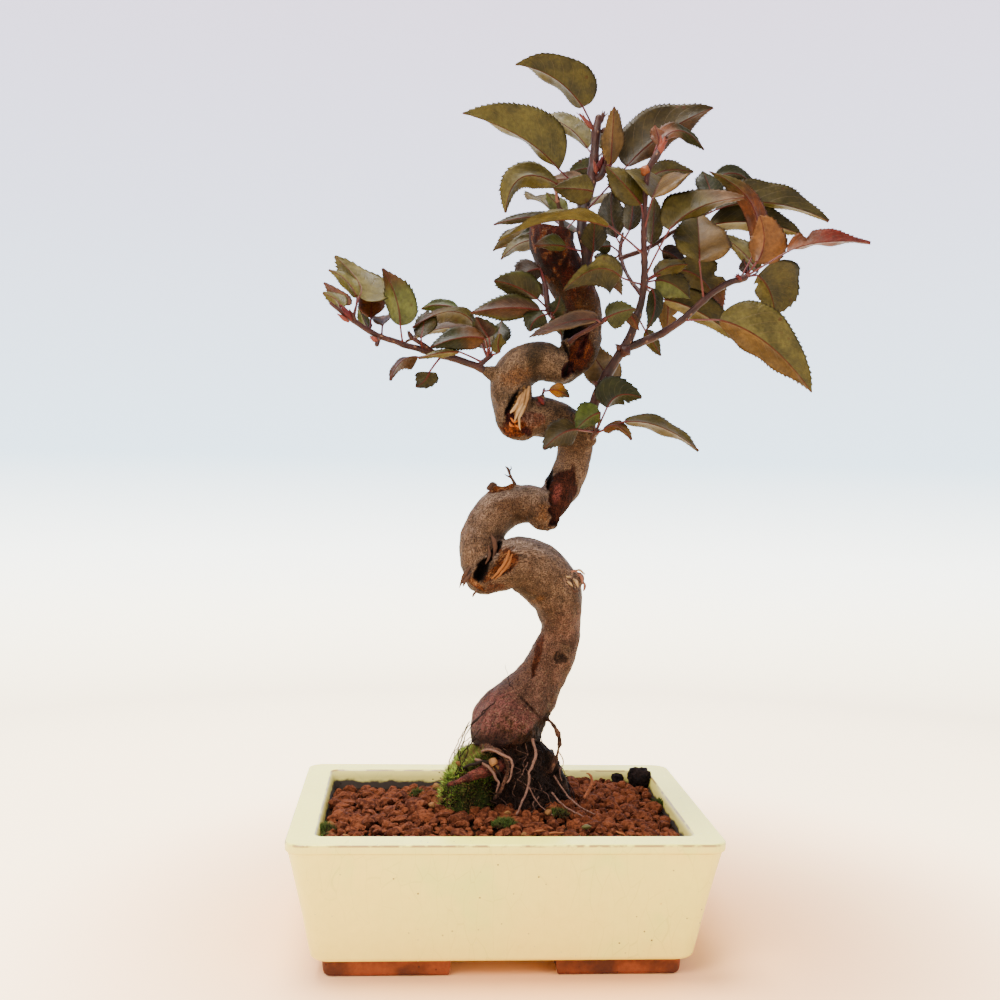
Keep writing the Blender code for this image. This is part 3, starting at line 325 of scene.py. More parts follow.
def speckGroup():
    # dots: 1 where the nearest scattered point is closer than Size cells, in Share of the cells
    tree, given, out = newGroup("specks", [("Vector", "Vector", None), ("Scale", "Float", 100.0),
                                           ("Size", "Float", 0.2), ("Share", "Float", 0.5)],
                                [("Mask", "Float")])
    cells = addNode(tree, "TexVoronoi", {"Vector": given["Vector"], "Scale": given["Scale"]})
    near = mathNode(tree, "SUBTRACT", given["Size"], cells.outputs["Distance"])
    near = mathNode(tree, "MULTIPLY", near, 12.0, clamp=True)
    draw = addNode(tree, "SeparateColor", {0: cells.outputs["Color"]}).outputs[0]
    chosen = mathNode(tree, "LESS_THAN", draw, given["Share"])
    tree.links.new(mathNode(tree, "MULTIPLY", near, chosen), out["Mask"])
    return tree


def patchGroup():
    # two colours in soft patches, and a finer grain that lightens and darkens them by Grain
    tree, given, out = newGroup("patches", [("Vector", "Vector", None), ("Scale", "Float", 20.0),
                                            ("First", "Color", None), ("Second", "Color", None),
                                            ("Contrast", "Float", 0.2), ("Grain", "Float", 0.1)],
                                [("Color", "Color"), ("Value", "Float")])
    soft = addNode(tree, "TexNoise", {"Vector": given["Vector"], "Scale": given["Scale"], "Detail": 4.0})
    low = mathNode(tree, "SUBTRACT", 0.5, given["Contrast"])
    high = mathNode(tree, "ADD", 0.5, given["Contrast"])
    share = ranged(tree, soft.outputs[0], low, high)
    colour = blended(tree, share, given["First"], given["Second"])
    fineScale = mathNode(tree, "MULTIPLY", given["Scale"], 9.0)
    fine = addNode(tree, "TexNoise", {"Vector": given["Vector"], "Scale": fineScale, "Detail": 3.0})
    lift = mathNode(tree, "SUBTRACT", fine.outputs[0], 0.5)
    lift = mathNode(tree, "MULTIPLY_ADD", lift, mathNode(tree, "MULTIPLY", given["Grain"], 4.0), 1.0)
    grey = addNode(tree, "CombineColor", {0: lift, 1: lift, 2: lift}).outputs[0]
    tree.links.new(blended(tree, 1.0, colour, grey, "MULTIPLY"), out["Color"])
    tree.links.new(fine.outputs[0], out["Value"])
    return tree


def streakGroup():
    # fibres: noise drawn out along the third coordinate of the given vector
    tree, given, out = newGroup("streaks", [("Vector", "Vector", None), ("Across", "Float", 1.0),
                                            ("Along", "Float", 0.15)], [("Value", "Float")])
    scale = addNode(tree, "CombineXYZ", {0: given["Across"], 1: given["Across"], 2: given["Along"]})
    drawn = stretched(tree, given["Vector"], scale.outputs[0])
    lines = addNode(tree, "TexNoise", {"Vector": drawn, "Scale": 1.0, "Detail": 5.0, "Roughness": 0.6})
    tree.links.new(lines.outputs[0], out["Value"])
    return tree


groups = {"specks": speckGroup(), "patches": patchGroup(), "streaks": streakGroup()}


def useGroup(tree, name, values):
    made = tree.nodes.new("ShaderNodeGroup")
    made.node_tree = groups[name]
    for key, value in values.items():
        if isinstance(value, bpy.types.NodeSocket):
            tree.links.new(value, made.inputs[key])
        else:
            made.inputs[key].default_value = value
    return made.outputs


def rgba(colour, lift=1.0):
    return (*(linear(colour) * lift), 1)


def newMaterial(name, roughness, specular=0.5):
    made = bpy.data.materials.new(name)
    made.use_nodes = True
    tree = made.node_tree
    shader = tree.nodes["Principled BSDF"]
    shader.inputs["Roughness"].default_value = roughness
    shader.inputs["Specular IOR Level"].default_value = specular
    return made, tree, shader


def attribute(tree, name):
    return addNode(tree, "Attribute", attribute_name=name).outputs


def bumped(tree, shader, height, distance, strength=1.0):
    made = addNode(tree, "Bump", {"Height": height, "Distance": distance, "Strength": strength})
    tree.links.new(made.outputs[0], shader.inputs["Normal"])


def objectPlace(tree):
    return addNode(tree, "TexCoord").outputs["Object"]


# The pot: the glazed body, and its unglazed feet.

potShape = {"length": 180.0, "depth": 130.0, "height": 60.0, "taper": 10.0, "hollowTaper": 7.5,
            "bottomRound": 2.5, "footHeight": 8.0, "lipHeight": 3.6, "lipProud": 0.9, "rimWidth": 12.0,
            "floorTop": 14.0, "rimRound": 0.8, "corner": 7.0, "innerCorner": 4.0, "drainRadius": 8.0,
            "drainOffset": 42.0, "perCorner": 10, "perSide": 14}
footShape = {"length": 53.0, "back": 38.0, "bar": 12.0, "inset": 5.0, "bevel": 3.0}


def innerHalf(z):
    # half length and half depth of the hollow: both draw in evenly from the rim to the floor
    share = (potShape["height"] - z) / (potShape["height"] - potShape["floorTop"])
    draw = potShape["rimWidth"] + potShape["hollowTaper"] * share
    return potShape["length"] / 2 - draw, potShape["depth"] / 2 - draw


def roundedRing(halfX, halfY, corner, perCorner, perSide):
    # once round a rectangle: quarter circles at the corners, evenly spaced points on the sides
    turns = np.linspace(0, np.pi / 2, perCorner + 1)
    rings = []
    for quarter, (sx, sy) in enumerate(((1, 1), (-1, 1), (-1, -1), (1, -1))):
        angle = turns + quarter * np.pi / 2
        arc = np.stack([sx * (halfX - corner) + corner * np.cos(angle),
                        sy * (halfY - corner) + corner * np.sin(angle)], axis=-1)
        sx2, sy2 = ((-1, 1), (-1, -1), (1, -1), (1, 1))[quarter]
        angle = (quarter + 1) * np.pi / 2
        to = np.array([sx2 * (halfX - corner) + corner * np.cos(angle),
                       sy2 * (halfY - corner) + corner * np.sin(angle)])
        share = np.linspace(0, 1, perSide + 1)[1:-1, None]
        rings.append(np.vstack([arc, arc[-1] * (1 - share) + to * share]))
    return np.vstack(rings)


def ringBody(rings, heights, marks=None):
    # rings of equally many points stacked at their heights, quads between them and a fan at each end
    count = len(rings[0])
    points = np.vstack([np.column_stack([r, np.broadcast_to(z, len(r))]) for r, z in zip(rings, heights)])
    grid = np.arange(len(points)).reshape(-1, count)
    after = np.roll(grid, -1, axis=1)
    quads = np.stack([grid[:-1], after[:-1], after[1:], grid[1:]], axis=-1).reshape(-1, 4)
    start, end = len(points), len(points) + 1
    tris = np.concatenate([np.stack([after[0], grid[0], np.full(count, start)], axis=-1),
                           np.stack([grid[-1], after[-1], np.full(count, end)], axis=-1)])
    middles = np.array([points[:count].mean(axis=0), points[-count:].mean(axis=0)])
    shell = {"points": np.vstack([points, middles]), "quads": quads, "tris": tris, "marks": {}}
    for key, values in (marks or {}).items():
        rows = np.repeat(np.asarray(values, float), count, axis=0)
        shell["marks"][key] = np.concatenate([rows, rows[:1], rows[-1:]])
    return shell


def potProfile():
    # from the middle of the underside out, up the wall, over the lip and the rim and down the hollow:
    # rows of inset from the full half size, height, corner radius and marks for rim, edge and hollow
    p = potShape
    low, lip, top = p["footHeight"], p["height"] - p["lipHeight"], p["height"]
    rows = [(p["taper"] + 26, low, 7, (0, 0, 0)), (p["taper"] + 9, low, 7, (0, 0, 0))]
    for turn in np.radians([0, 20, 40, 60, 80]):
        rows.append((p["taper"] + p["bottomRound"] * (1 - np.sin(turn)), low + p["bottomRound"] * (1 - np.cos(turn)),
                     p["corner"], (0, 0, 0)))
    for share in np.linspace(0, 1, 16):
        z = low + p["bottomRound"] + share * (lip - p["lipProud"] - low - p["bottomRound"])
        rows.append((p["taper"] * (1 - share) + p["lipProud"] * share, z, p["corner"], (0, 0, 0)))
    for share in (0.2, 0.5, 0.8, 1.0):
        out = 0.5 - 0.5 * math.cos(math.pi * share)
        rows.append((p["lipProud"] * (1 - 0.9 * out), lip - p["lipProud"] * (1 - share), p["corner"],
                     (0, 0.5 if share < 1 else 0.2, 0)))
    for z, edge in ((lip + 0.5, 0), (lip + 1.4, 0), (top - 1.3, 0.3), (top - p["rimRound"], 0.9)):
        rows.append((0, z, p["corner"], (0, edge, 0)))
    for turn in np.radians([22, 45, 67, 90]):
        rows.append((p["rimRound"] * (1 - np.cos(turn)), top - p["rimRound"] * (1 - np.sin(turn)), p["corner"],
                     (math.sin(turn), 1.0 if turn < 1 else 0.3, 0)))
    for share in np.linspace(0.08, 0.92, 8):
        rows.append((p["rimRound"] + share * (p["rimWidth"] - 2 * p["rimRound"]), top,
                     p["corner"] + share * (p["innerCorner"] - p["corner"]), (1, 0, 0)))
    for turn in np.radians([0, 25, 50, 75, 90]):
        rows.append((p["rimWidth"] - p["rimRound"] * np.cos(turn), top - p["rimRound"] * (1 - np.cos(turn)) * 1.0
                     if turn < 1.5 else top - p["rimRound"], p["innerCorner"],
                     (1 - math.sin(turn), 0.9 if 0.3 < turn < 1.5 else 0.1, math.sin(turn))))
    for share in np.linspace(0.06, 1, 12):
        z = top - p["rimRound"] - share * (top - p["rimRound"] - p["floorTop"])
        rows.append((p["rimWidth"] + p["hollowTaper"] * (top - z) / (top - p["floorTop"]), z,
                     p["innerCorner"], (0, 0, 1)))
    rows.append((p["rimWidth"] + p["hollowTaper"] + 20, p["floorTop"], 4, (0, 0, 1)))
    return rows


def glazeMaterial():
    # cream glaze with celadon in patches, a rim painted paler as a painted highlight, faint crackle, pin holes, and a
    # thin broken brown line where the glaze ran off the edges
    made, tree, shader = newMaterial("glaze", 0.3)
    spot = objectPlace(tree)
    zone = addNode(tree, "SeparateXYZ", {0: attribute(tree, "glazeZone")["Vector"]}).outputs
    cream = useGroup(tree, "patches", {"Vector": spot, "Scale": 26.0, "First": shown("glaze", (232, 221, 190)),
                                       "Second": shown("glaze", (226, 224, 196)), "Contrast": 0.22, "Grain": 0.03})
    pool = addNode(tree, "TexNoise", {"Vector": spot, "Scale": 31.0, "Detail": 3.0}).outputs[0]
    colour = blended(tree, ranged(tree, pool, 0.56, 0.72, 0, 0.6), cream["Color"], shown("glaze", (206, 222, 196)))
    # the rim's top painted paler: a painted highlight
    rimHighlight = mathNode(tree, "MULTIPLY", zone[0], ranged(tree, pool, 0.3, 0.6, 0.75, 1.0))
    colour = blended(tree, rimHighlight, colour, shown("glaze", (252, 250, 204)))
    # the hollow's wall is duller, and near black below a ragged line a little above the soil
    colour = blended(tree, mathNode(tree, "MULTIPLY", zone[2], 0.7), colour, shown("glaze", (196, 184, 196)))
    drawn = stretched(tree, spot, (1.0, 1.0, 0.18))
    bent = addNode(tree, "TexNoise", {"Vector": spot, "Scale": 34.0, "Detail": 1.0}).outputs["Color"]
    bent = addNode(tree, "VectorMath", {0: bent, 1: (0.009, 0.009, 0.006)}, operation="MULTIPLY").outputs[0]
    drawn = addNode(tree, "VectorMath", {0: drawn, 1: bent}, operation="ADD").outputs[0]
    cells = addNode(tree, "TexVoronoi", {"Vector": drawn, "Scale": 170.0}, feature="DISTANCE_TO_EDGE").outputs[0]
    line = ranged(tree, cells, 0.0, 0.024, 1.0, 0.0)
    line = mathNode(tree, "MULTIPLY", line, ranged(tree, pool, 0.36, 0.6, 0.05, 0.2))
    colour = blended(tree, line, colour, shown("glaze", (150, 152, 128)))
    pins = useGroup(tree, "specks", {"Vector": spot, "Scale": 290.0, "Size": 0.15, "Share": 0.34})["Mask"]
    cluster = addNode(tree, "TexNoise", {"Vector": spot, "Scale": 22.0, "Detail": 2.0}).outputs[0]
    pins = mathNode(tree, "MULTIPLY", pins, ranged(tree, cluster, 0.44, 0.56, 0.3, 1.0))
    colour = blended(tree, pins, colour, shown("glaze", (84, 66, 46)))
    tinted = useGroup(tree, "specks", {"Vector": spot, "Scale": 330.0, "Size": 0.16, "Share": 0.12})["Mask"]
    tinted = mathNode(tree, "MULTIPLY", tinted, ranged(tree, cluster, 0.55, 0.66, 0.0, 0.7))
    colour = blended(tree, tinted, colour, shown("glaze", (186, 140, 96)))
    ragged = addNode(tree, "TexNoise", {"Vector": spot, "Scale": 170.0, "Detail": 4.0}).outputs[0]
    edge = mathNode(tree, "MULTIPLY", ranged(tree, zone[1], 0.3, 0.95), ranged(tree, ragged, 0.4, 0.54, 0.1, 0.9))
    colour = blended(tree, edge, colour, shown("glaze", (146, 120, 136)))
    height = addNode(tree, "SeparateXYZ", {0: spot}).outputs[2]
    height = mathNode(tree, "MULTIPLY_ADD", ragged, 0.005, height)
    # near black on the hollow's wall below a ragged line, and rougher there
    lowWallDark = mathNode(tree, "MULTIPLY", zone[2], ranged(tree, height, 0.0584, 0.0568, 0.05, 1.0))
    colour = blended(tree, lowWallDark, colour, shown("glaze", (34, 22, 22)))
    tree.links.new(colour, shader.inputs["Base Color"])
    rough = mathNode(tree, "MULTIPLY_ADD", lowWallDark, 0.5, 0.27)
    rough = mathNode(tree, "MULTIPLY_ADD", pins, 0.4, rough)
    tree.links.new(rough, shader.inputs["Roughness"])
    ripple = addNode(tree, "TexNoise", {"Vector": spot, "Scale": 60.0, "Detail": 2.0}).outputs[0]
    height = mathNode(tree, "SUBTRACT", ripple, mathNode(tree, "MULTIPLY", pins, 1.2))
    height = mathNode(tree, "MULTIPLY_ADD", ragged, mathNode(tree, "MULTIPLY", zone[1], 0.6), height)
    bumped(tree, shader, height, 0.00035, 0.55)
    return made


def clayMaterial():
    # bare fired clay: orange brown with darker scorched patches
    made, tree, shader = newMaterial("barePotClay", 0.68, 0.25)
    spot = objectPlace(tree)
    clay = useGroup(tree, "patches", {"Vector": spot, "Scale": 70.0, "First": shown("clay", (196, 92, 40)),
                                      "Second": shown("clay", (122, 58, 30)), "Contrast": 0.13, "Grain": 0.14})
    spots = useGroup(tree, "specks", {"Vector": spot, "Scale": 420.0, "Size": 0.22, "Share": 0.16})["Mask"]
    colour = blended(tree, mathNode(tree, "MULTIPLY", spots, 0.7), clay["Color"], shown("clay", (60, 34, 24)))
    tree.links.new(colour, shader.inputs["Base Color"])
    bumped(tree, shader, clay["Value"], 0.0003, 0.6)
    return made


def makePot():
    p = potShape
    profile = potProfile()
    rings, heights, zones = [], [], []
    for inset, z, corner, zone in profile:
        rings.append(roundedRing(p["length"] / 2 - inset, p["depth"] / 2 - inset, corner, p["perCorner"],
                                 p["perSide"]))
        heights.append(z)
        zones.append(zone)
    shell = ringBody(rings, heights, {"glazeZone": np.array(zones, float)})
    # the hand-made wall is a little uneven: cloud noise moves it in and out by up to 0.3 mm
    points = shell["points"]
    wall = smooth(p["footHeight"] + 6, p["footHeight"] + 20, points[:, 2]) * smooth(60, 52, points[:, 2])
    push = layeredNoise(points, 38, 3) * 0.3 - 0.3
    inner = shell["marks"]["glazeZone"][:, 2] > 0
    facing = unit(np.column_stack([points[:, 0] * (np.abs(points[:, 0]) > 70), points[:, 1] * (np.abs(points[:, 1]) > 50),
                                   np.zeros(len(points))]))
    shell["points"] = points + facing * (wall * push * ~inner)[:, None]
    pot = putMesh("pot_body", [shell], [glazeMaterial()])
    for sx in (-1, 1):
        edit = bmesh.new()
        bmesh.ops.create_cone(edit, cap_ends=True, segments=48, radius1=p["drainRadius"] * mm,
                              radius2=p["drainRadius"] * mm, depth=14 * mm)
        bmesh.ops.translate(edit, verts=edit.verts, vec=place((sx * p["drainOffset"], 0, 11)))
        mesh = bpy.data.meshes.new("drain")
        edit.to_mesh(mesh)
        edit.free()
        cutter = bpy.data.objects.new("drain", mesh)
        bpy.context.scene.collection.objects.link(cutter)
        change = pot.modifiers.new("drain", "BOOLEAN")
        change.operation = "DIFFERENCE"
        change.object = cutter
        modified(pot)
        bpy.data.objects.remove(cutter)
    # the cuts lose the zones, so each point takes the zone of the nearest point of the whole body
    mesh, whole = pot.data, shell["points"]
    points = np.empty(len(mesh.vertices) * 3, np.float32)
    mesh.vertices.foreach_get("co", points)
    points = (points.reshape(-1, 3) - potMiddle) / mm
    gap = (points**2).sum(axis=1)[:, None] + (whole**2).sum(axis=1) - 2 * points @ whole.T
    zone = shell["marks"]["glazeZone"][gap.argmin(axis=1)]
    mesh.attributes["glazeZone"].data.foreach_set("vector", zone.astype(np.float32).ravel())
    mesh.shade_smooth()
    mesh.set_sharp_from_angle(angle=math.radians(50))
    finished(pot, ["pot"])


def makeFeet():
    # L-shaped feet: the outline drawn in at the bottom and rounded over into the pot's underside
    p, f = potShape, footShape
    reachX, reachY = p["length"] / 2 - p["taper"] - f["inset"], p["depth"] / 2 - p["taper"] - f["inset"]
    shells = []
    levels = [(0, 2.2), (0.35, 1.3), (1.0, 0.7), (2.2, 0.35), (4.5, 0.12), (7.0, 0.0), (p["footHeight"] + 1.2, 0.0)]
    for sx, sy in itertools.product((-1, 1), repeat=2):
        rings = []
        for z, inset in levels:
            outX, outY = reachX - inset, reachY - inset
            endX, endY = reachX - f["length"] + inset, reachY - f["back"] + inset
            inX, inY = reachX - f["bar"] + inset, reachY - f["bar"] + inset
            b = f["bevel"]
            corner = [(outX - b * (1 - math.sin(a)), outY - b * (1 - math.cos(a)))
                      for a in np.radians([90, 67, 45, 22, 0])]
            outline = [(endX, outY), (endX, inY), (inX, inY), (inX, endY), (outX, endY)] + corner
            outline = np.array(outline) * (sx, sy)
            dense = [outline[k] * (1 - t) + outline[(k + 1) % len(outline)] * t
                     for k in range(len(outline)) for t in (0, 0.06, 0.5, 0.94)]
            rings.append(np.array(dense if sx * sy < 0 else dense[::-1]))
        shells.append(footBody(rings, [z for z, inset in levels]))
    feet = putMesh("pot_feet", shells, [clayMaterial()])
    feet.data.set_sharp_from_angle(angle=math.radians(50))
    finished(feet)


def footBody(rings, heights):
    # an L has no middle to fan from, so its two ends are filled as one polygon each and cut up
    edit = bmesh.new()
    rows = [[edit.verts.new((x, y, z)) for x, y in ring] for ring, z in zip(rings, heights)]
    for low, high in zip(rows, rows[1:]):
        for k in range(len(low)):
            after = (k + 1) % len(low)
            edit.faces.new((low[k], low[after], high[after], high[k]))
    edit.faces.new(rows[0][::-1])
    edit.faces.new(rows[-1])
    bmesh.ops.recalc_face_normals(edit, faces=edit.faces)
    bmesh.ops.triangulate(edit, faces=edit.faces)
    edit.verts.index_update()
    shell = {"points": np.array([v.co for v in edit.verts]), "marks": {},
             "tris": np.array([[v.index for v in face.verts] for face in edit.faces])}
    edit.free()
    return shell


def plainMaterial(name, first, second, scale, roughness, bump):
    # a small part's finish: two close colours in patches, with grain
    made, tree, shader = newMaterial(name, roughness, 0.1)
    spot = objectPlace(tree)
    look = useGroup(tree, "patches", {"Vector": spot, "Scale": scale, "First": rgba(first, 0.3),
                                      "Second": rgba(second, 0.3), "Contrast": 0.16, "Grain": 0.2})
    tree.links.new(look["Color"], shader.inputs["Base Color"])
    bumped(tree, shader, look["Value"], bump, 0.8)
    return made


def dressHidden():
    # the drain screens and the packed soil keep their shapes
    net = plainMaterial("drainNet", (26, 28, 27), (44, 46, 44), 300.0, 0.5, 0.0001)
    soil = plainMaterial("packedSoil", (46, 34, 26), (30, 22, 18), 160.0, 0.95, 0.0008)
    for name, look in (("drain_screen_left", net), ("drain_screen_right", net), ("soil_fill", soil)):
        data = frame["nodes"][name].data
        data.materials.clear()
        data.materials.append(look)


# The topping: a dark bed with clay granules heaped round the stem.

topping = {"level": 56.0, "heap": 6.0, "spread": 34.0, "stem": (12.0, 2.0), "coarse": 5.3, "fine": 3.7,
           "stemClear": 18.5, "wallGap": 0.6, "fillTop": 46.3}
mossShape = {"centre": (-13.8, -5.6), "radii": (12.8, 10.8), "rise": 29.0, "underRoot": 14.0, "bed": 56.0,
             "blades": 15000, "tufts": 240, "spread": 1.2}
peatLumps = {"peat_lump_large": ((73.0, 44.0), (5.6, 5.4), 8.0), "peat_lump_small": ((62.6, 47.0), (2.9, 2.8), 4.6)}


def toppingHeight(x, y):
    # level + heap exp(-(distance to the stem / spread)^2), lower along the back left wall and at the right
    near = np.hypot(x - topping["stem"][0], y - topping["stem"][1])
    level = topping["level"] + topping["heap"] * np.exp(-((near / topping["spread"]) ** 2))
    lowBack = np.clip((y - 10) / 36, 0, 1) * np.clip((4 - x) / 40, 0, 1)
    return level - 3.2 * lowBack - 1.5 * np.clip((x - 60) / 18, 0, 1)


def mossHeight(x, y):
    # rise (1 - (distance past the root mass / 23)^2)^0.8, falling to the patch's edge, low by the thick root
    share = np.hypot((x - mossShape["centre"][0]) / mossShape["radii"][0],
                     (y - mossShape["centre"][1]) / mossShape["radii"][1])
    out = np.hypot(x - topping["stem"][0], y - topping["stem"][1])
    bank = np.clip(1 - (np.clip(out - 20, 0, None) / 23) ** 2, 0, 1) ** 0.8
    height = mossShape["rise"] * bank * np.clip(1.25 * (1 - share**6), 0, 1)
    front = y < -13 + 0.56 * (x + 6)
    return np.where(front, np.minimum(height, mossShape["underRoot"]), height), share


def blockGrid(halfX, halfY, step, heightAt, low):
    # a closed slab: a grid of heights over a rectangle, the same grid flat at low, and walls between
    xs = np.linspace(-halfX, halfX, int(2 * halfX / step) + 1)
    ys = np.linspace(-halfY, halfY, int(2 * halfY / step) + 1)
    x, y = (a.ravel() for a in np.meshgrid(xs, ys))
    columns, rows = len(xs), len(ys)
    grid = np.arange(columns * rows).reshape(rows, columns)
    top = np.stack([grid[:-1, :-1], grid[:-1, 1:], grid[1:, 1:], grid[1:, :-1]], axis=-1).reshape(-1, 4)
    rim = np.concatenate([grid[0], grid[1:, -1], grid[-1, -2::-1], grid[-2:0:-1, 0]])
    under, after = rim + columns * rows, np.roll(rim, -1)
    walls = np.stack([under, np.roll(under, -1), after, rim], axis=-1)
    points = np.vstack([np.column_stack([x, y, heightAt(x, y)]), np.column_stack([x, y, np.full(len(x), low)])])
    return {"points": points, "quads": np.vstack([top, top[:, ::-1] + columns * rows, walls]), "marks": {}}


def lumps(centres, sizes, draw, roughness=0.3, flat=0.8):
    # each lump is an 80-sided ball cut flat on up to ten sides, swollen by cloud noise, stretched unevenly
    # and turned at random
    edit = bmesh.new()
    bmesh.ops.create_icosphere(edit, subdivisions=2, radius=1)
    ball = np.array([v.co for v in edit.verts])
    faces = np.array([[v.index for v in face.verts] for face in edit.faces])
    edit.free()
    count = len(centres)
    turns = unit(draw.normal(size=(count, 4)))
    w, x, y, z = turns.T
    spin = np.stack([np.stack([1 - 2 * (y * y + z * z), 2 * (x * y - w * z), 2 * (x * z + w * y)], -1),
                     np.stack([2 * (x * y + w * z), 1 - 2 * (x * x + z * z), 2 * (y * z - w * x)], -1),
                     np.stack([2 * (x * z - w * y), 2 * (y * z + w * x), 1 - 2 * (x * x + y * y)], -1)], -2)
    stretch = draw.uniform(0.72, 1.12, size=(count, 1, 3))
    offset = draw.uniform(0, 400, size=(count, 1, 3))
    cuts, depth = unit(draw.normal(size=(count, 10, 3))), draw.uniform(0.54, 1.05, size=(count, 1, 10))
    reach = (depth / np.maximum(np.einsum("vj,ncj->nvc", ball, cuts), 0.05)).min(axis=-1)
    swell = np.minimum(reach, 1) * 1.1 * (1 + roughness * layeredNoise(ball[None] + offset, 0.85, 5, 2))
    points = np.einsum("nij,nkj->nki", spin, ball[None] * stretch * swell[..., None])
    points *= np.array([1, 1, flat])
    points = points * sizes[:, None, None] / 2 + centres[:, None]
    tris = (faces[None] + (np.arange(count) * len(ball))[:, None, None]).reshape(-1, 3)
    tone = np.repeat(draw.uniform(0, 1, count), len(ball))
    return {"points": points.reshape(-1, 3), "tris": tris, "marks": {"tone": tone}}


def scattered(spacing, draw, halfX, halfY):
    # a triangular lattice with every point moved at random by up to 0.42 of the spacing
    xs = np.arange(-halfX, halfX, spacing)
    ys = np.arange(-halfY, halfY, spacing * 0.866)
    x, y = np.meshgrid(xs, ys)
    x = x + (np.arange(len(ys)) % 2)[:, None] * spacing / 2
    spots = np.column_stack([x.ravel(), y.ravel()])
    return spots + draw.uniform(-0.42, 0.42, spots.shape) * spacing


def clayGranuleMaterial():
    # burnt clay: each granule its own red brown, with pale dust and dark pores
    made, tree, shader = newMaterial("clayGranules", 0.95, 0.08)
    spot = objectPlace(tree)
    tone = attribute(tree, "tone")["Fac"]
    colour = blended(tree, ranged(tree, tone, 0.0, 1.0), shown("granules", (124, 64, 32)), shown("granules", (180, 98, 50)))
    patch = addNode(tree, "TexNoise", {"Vector": spot, "Scale": 620.0, "Detail": 6.0}).outputs[0]
    colour = blended(tree, ranged(tree, patch, 0.46, 0.68, 0.0, 0.6), colour, shown("granules", (206, 124, 74)))
    colour = blended(tree, ranged(tree, patch, 0.5, 0.34, 0.0, 0.75), colour, shown("granules", (84, 40, 22)))
    dust = useGroup(tree, "specks", {"Vector": spot, "Scale": 900.0, "Size": 0.24, "Share": 0.1})["Mask"]
    colour = blended(tree, mathNode(tree, "MULTIPLY", dust, 0.5), colour, shown("granules", (222, 164, 116)))
    tree.links.new(colour, shader.inputs["Base Color"])
    bumped(tree, shader, patch, 0.0014, 1.0)
    return made


def makeTopping():
    draw = np.random.default_rng(11)
    halfX, halfY = innerHalf(potShape["height"])
    shapes = []
    for spacing, sizes, sink in ((topping["fine"], (2.0, 4.4), -0.9), (topping["coarse"], (3.4, 8.8), 0.1)):
        spots = scattered(spacing, draw, halfX, halfY)
        size = sizes[0] + (sizes[1] - sizes[0]) * draw.uniform(0, 1, len(spots)) ** 1.8
        out = np.hypot(spots[:, 0] - topping["stem"][0], spots[:, 1] - topping["stem"][1])
        height, share = mossHeight(spots[:, 0], spots[:, 1])
        keep = (out > topping["stemClear"]) & (share > 0.93)
        keep &= (np.abs(spots[:, 0]) < innerHalf(55)[0] - size / 2) & (np.abs(spots[:, 1]) < innerHalf(55)[1] - size / 2)
        # a bare strip of dark soil along the back left wall, and along the right end
        bare = (spots[:, 1] > 42 - 6 * cloudNoise(np.column_stack([spots, spots[:, 0] * 0]), 14, 2)) & (spots[:, 0] < -6)
        bare |= spots[:, 0] > 73.5 + 2 * cloudNoise(np.column_stack([spots, spots[:, 0] * 0]), 9, 4)
        keep &= ~bare
        for centre, radii, rise in peatLumps.values():
            keep &= np.hypot((spots[:, 0] - centre[0]) / radii[0], (spots[:, 1] - centre[1]) / radii[1]) > 0.95
        spots, size = spots[keep], size[keep]
        level = toppingHeight(spots[:, 0], spots[:, 1]) + sink + draw.uniform(-0.5, 0.7, len(spots))
        shapes.append(lumps(np.column_stack([spots, level]), size, draw))
    for shape in shapes:
        shape["look"] = 1

    def bedHeight(x, y):
        return toppingHeight(x, y) - 1.6 + 0.8 * layeredNoise(np.column_stack([x, y, x * 0]), 4, 8)

    wallX, wallY = innerHalf(topping["fillTop"])
    bed = blockGrid(wallX - topping["wallGap"], wallY - topping["wallGap"], 1.6, bedHeight, topping["fillTop"])
    # the bed widens with the pot's walls towards its top
    lift = (bed["points"][:, 2] - topping["fillTop"]) / (potShape["height"] - topping["fillTop"])
    extra = innerHalf(potShape["height"])[0] - wallX
    bed["points"][:, 0] *= 1 + lift * extra / wallX
    bed["points"][:, 1] *= 1 + lift * extra / wallY
    soil = plainMaterial("darkSoil", (70, 46, 30), (34, 24, 18), 240.0, 0.95, 0.001)
    soil.node_tree.nodes["Principled BSDF"].inputs["Specular IOR Level"].default_value = 0.02
    made = putMesh("granules", [bed] + shapes, [soil, clayGranuleMaterial()])
    made.data.set_sharp_from_angle(angle=math.radians(34))
    finished(made, ["granule_topping"])


def mossMaterial():
    # blades bright at the tip and dark at the foot, some of them brown; the dark foot is the brown of old stems and
    # painted shade down in the cushion
    made, tree, shader = newMaterial("mossBlades", 0.8, 0.1)
    spot = objectPlace(tree)
    look = addNode(tree, "SeparateXYZ", {0: attribute(tree, "mossLook")["Vector"]}).outputs
    tip = blended(tree, look[1], shown("moss", (76, 88, 34)), shown("moss", (206, 230, 100)))
    tip = blended(tree, ranged(tree, look[2], 0.6, 0.9), tip, shown("moss", (132, 88, 60)))
    colour = blended(tree, ranged(tree, look[0], 0.2, 0.85), shown("moss", (44, 33, 18)), tip)
    patch = addNode(tree, "TexNoise", {"Vector": spot, "Scale": 120.0, "Detail": 2.0}).outputs[0]
    colour = blended(tree, ranged(tree, patch, 0.42, 0.62, 0.0, 0.45), colour, shown("moss", (60, 84, 30)))
    tree.links.new(colour, shader.inputs["Base Color"])
    return made


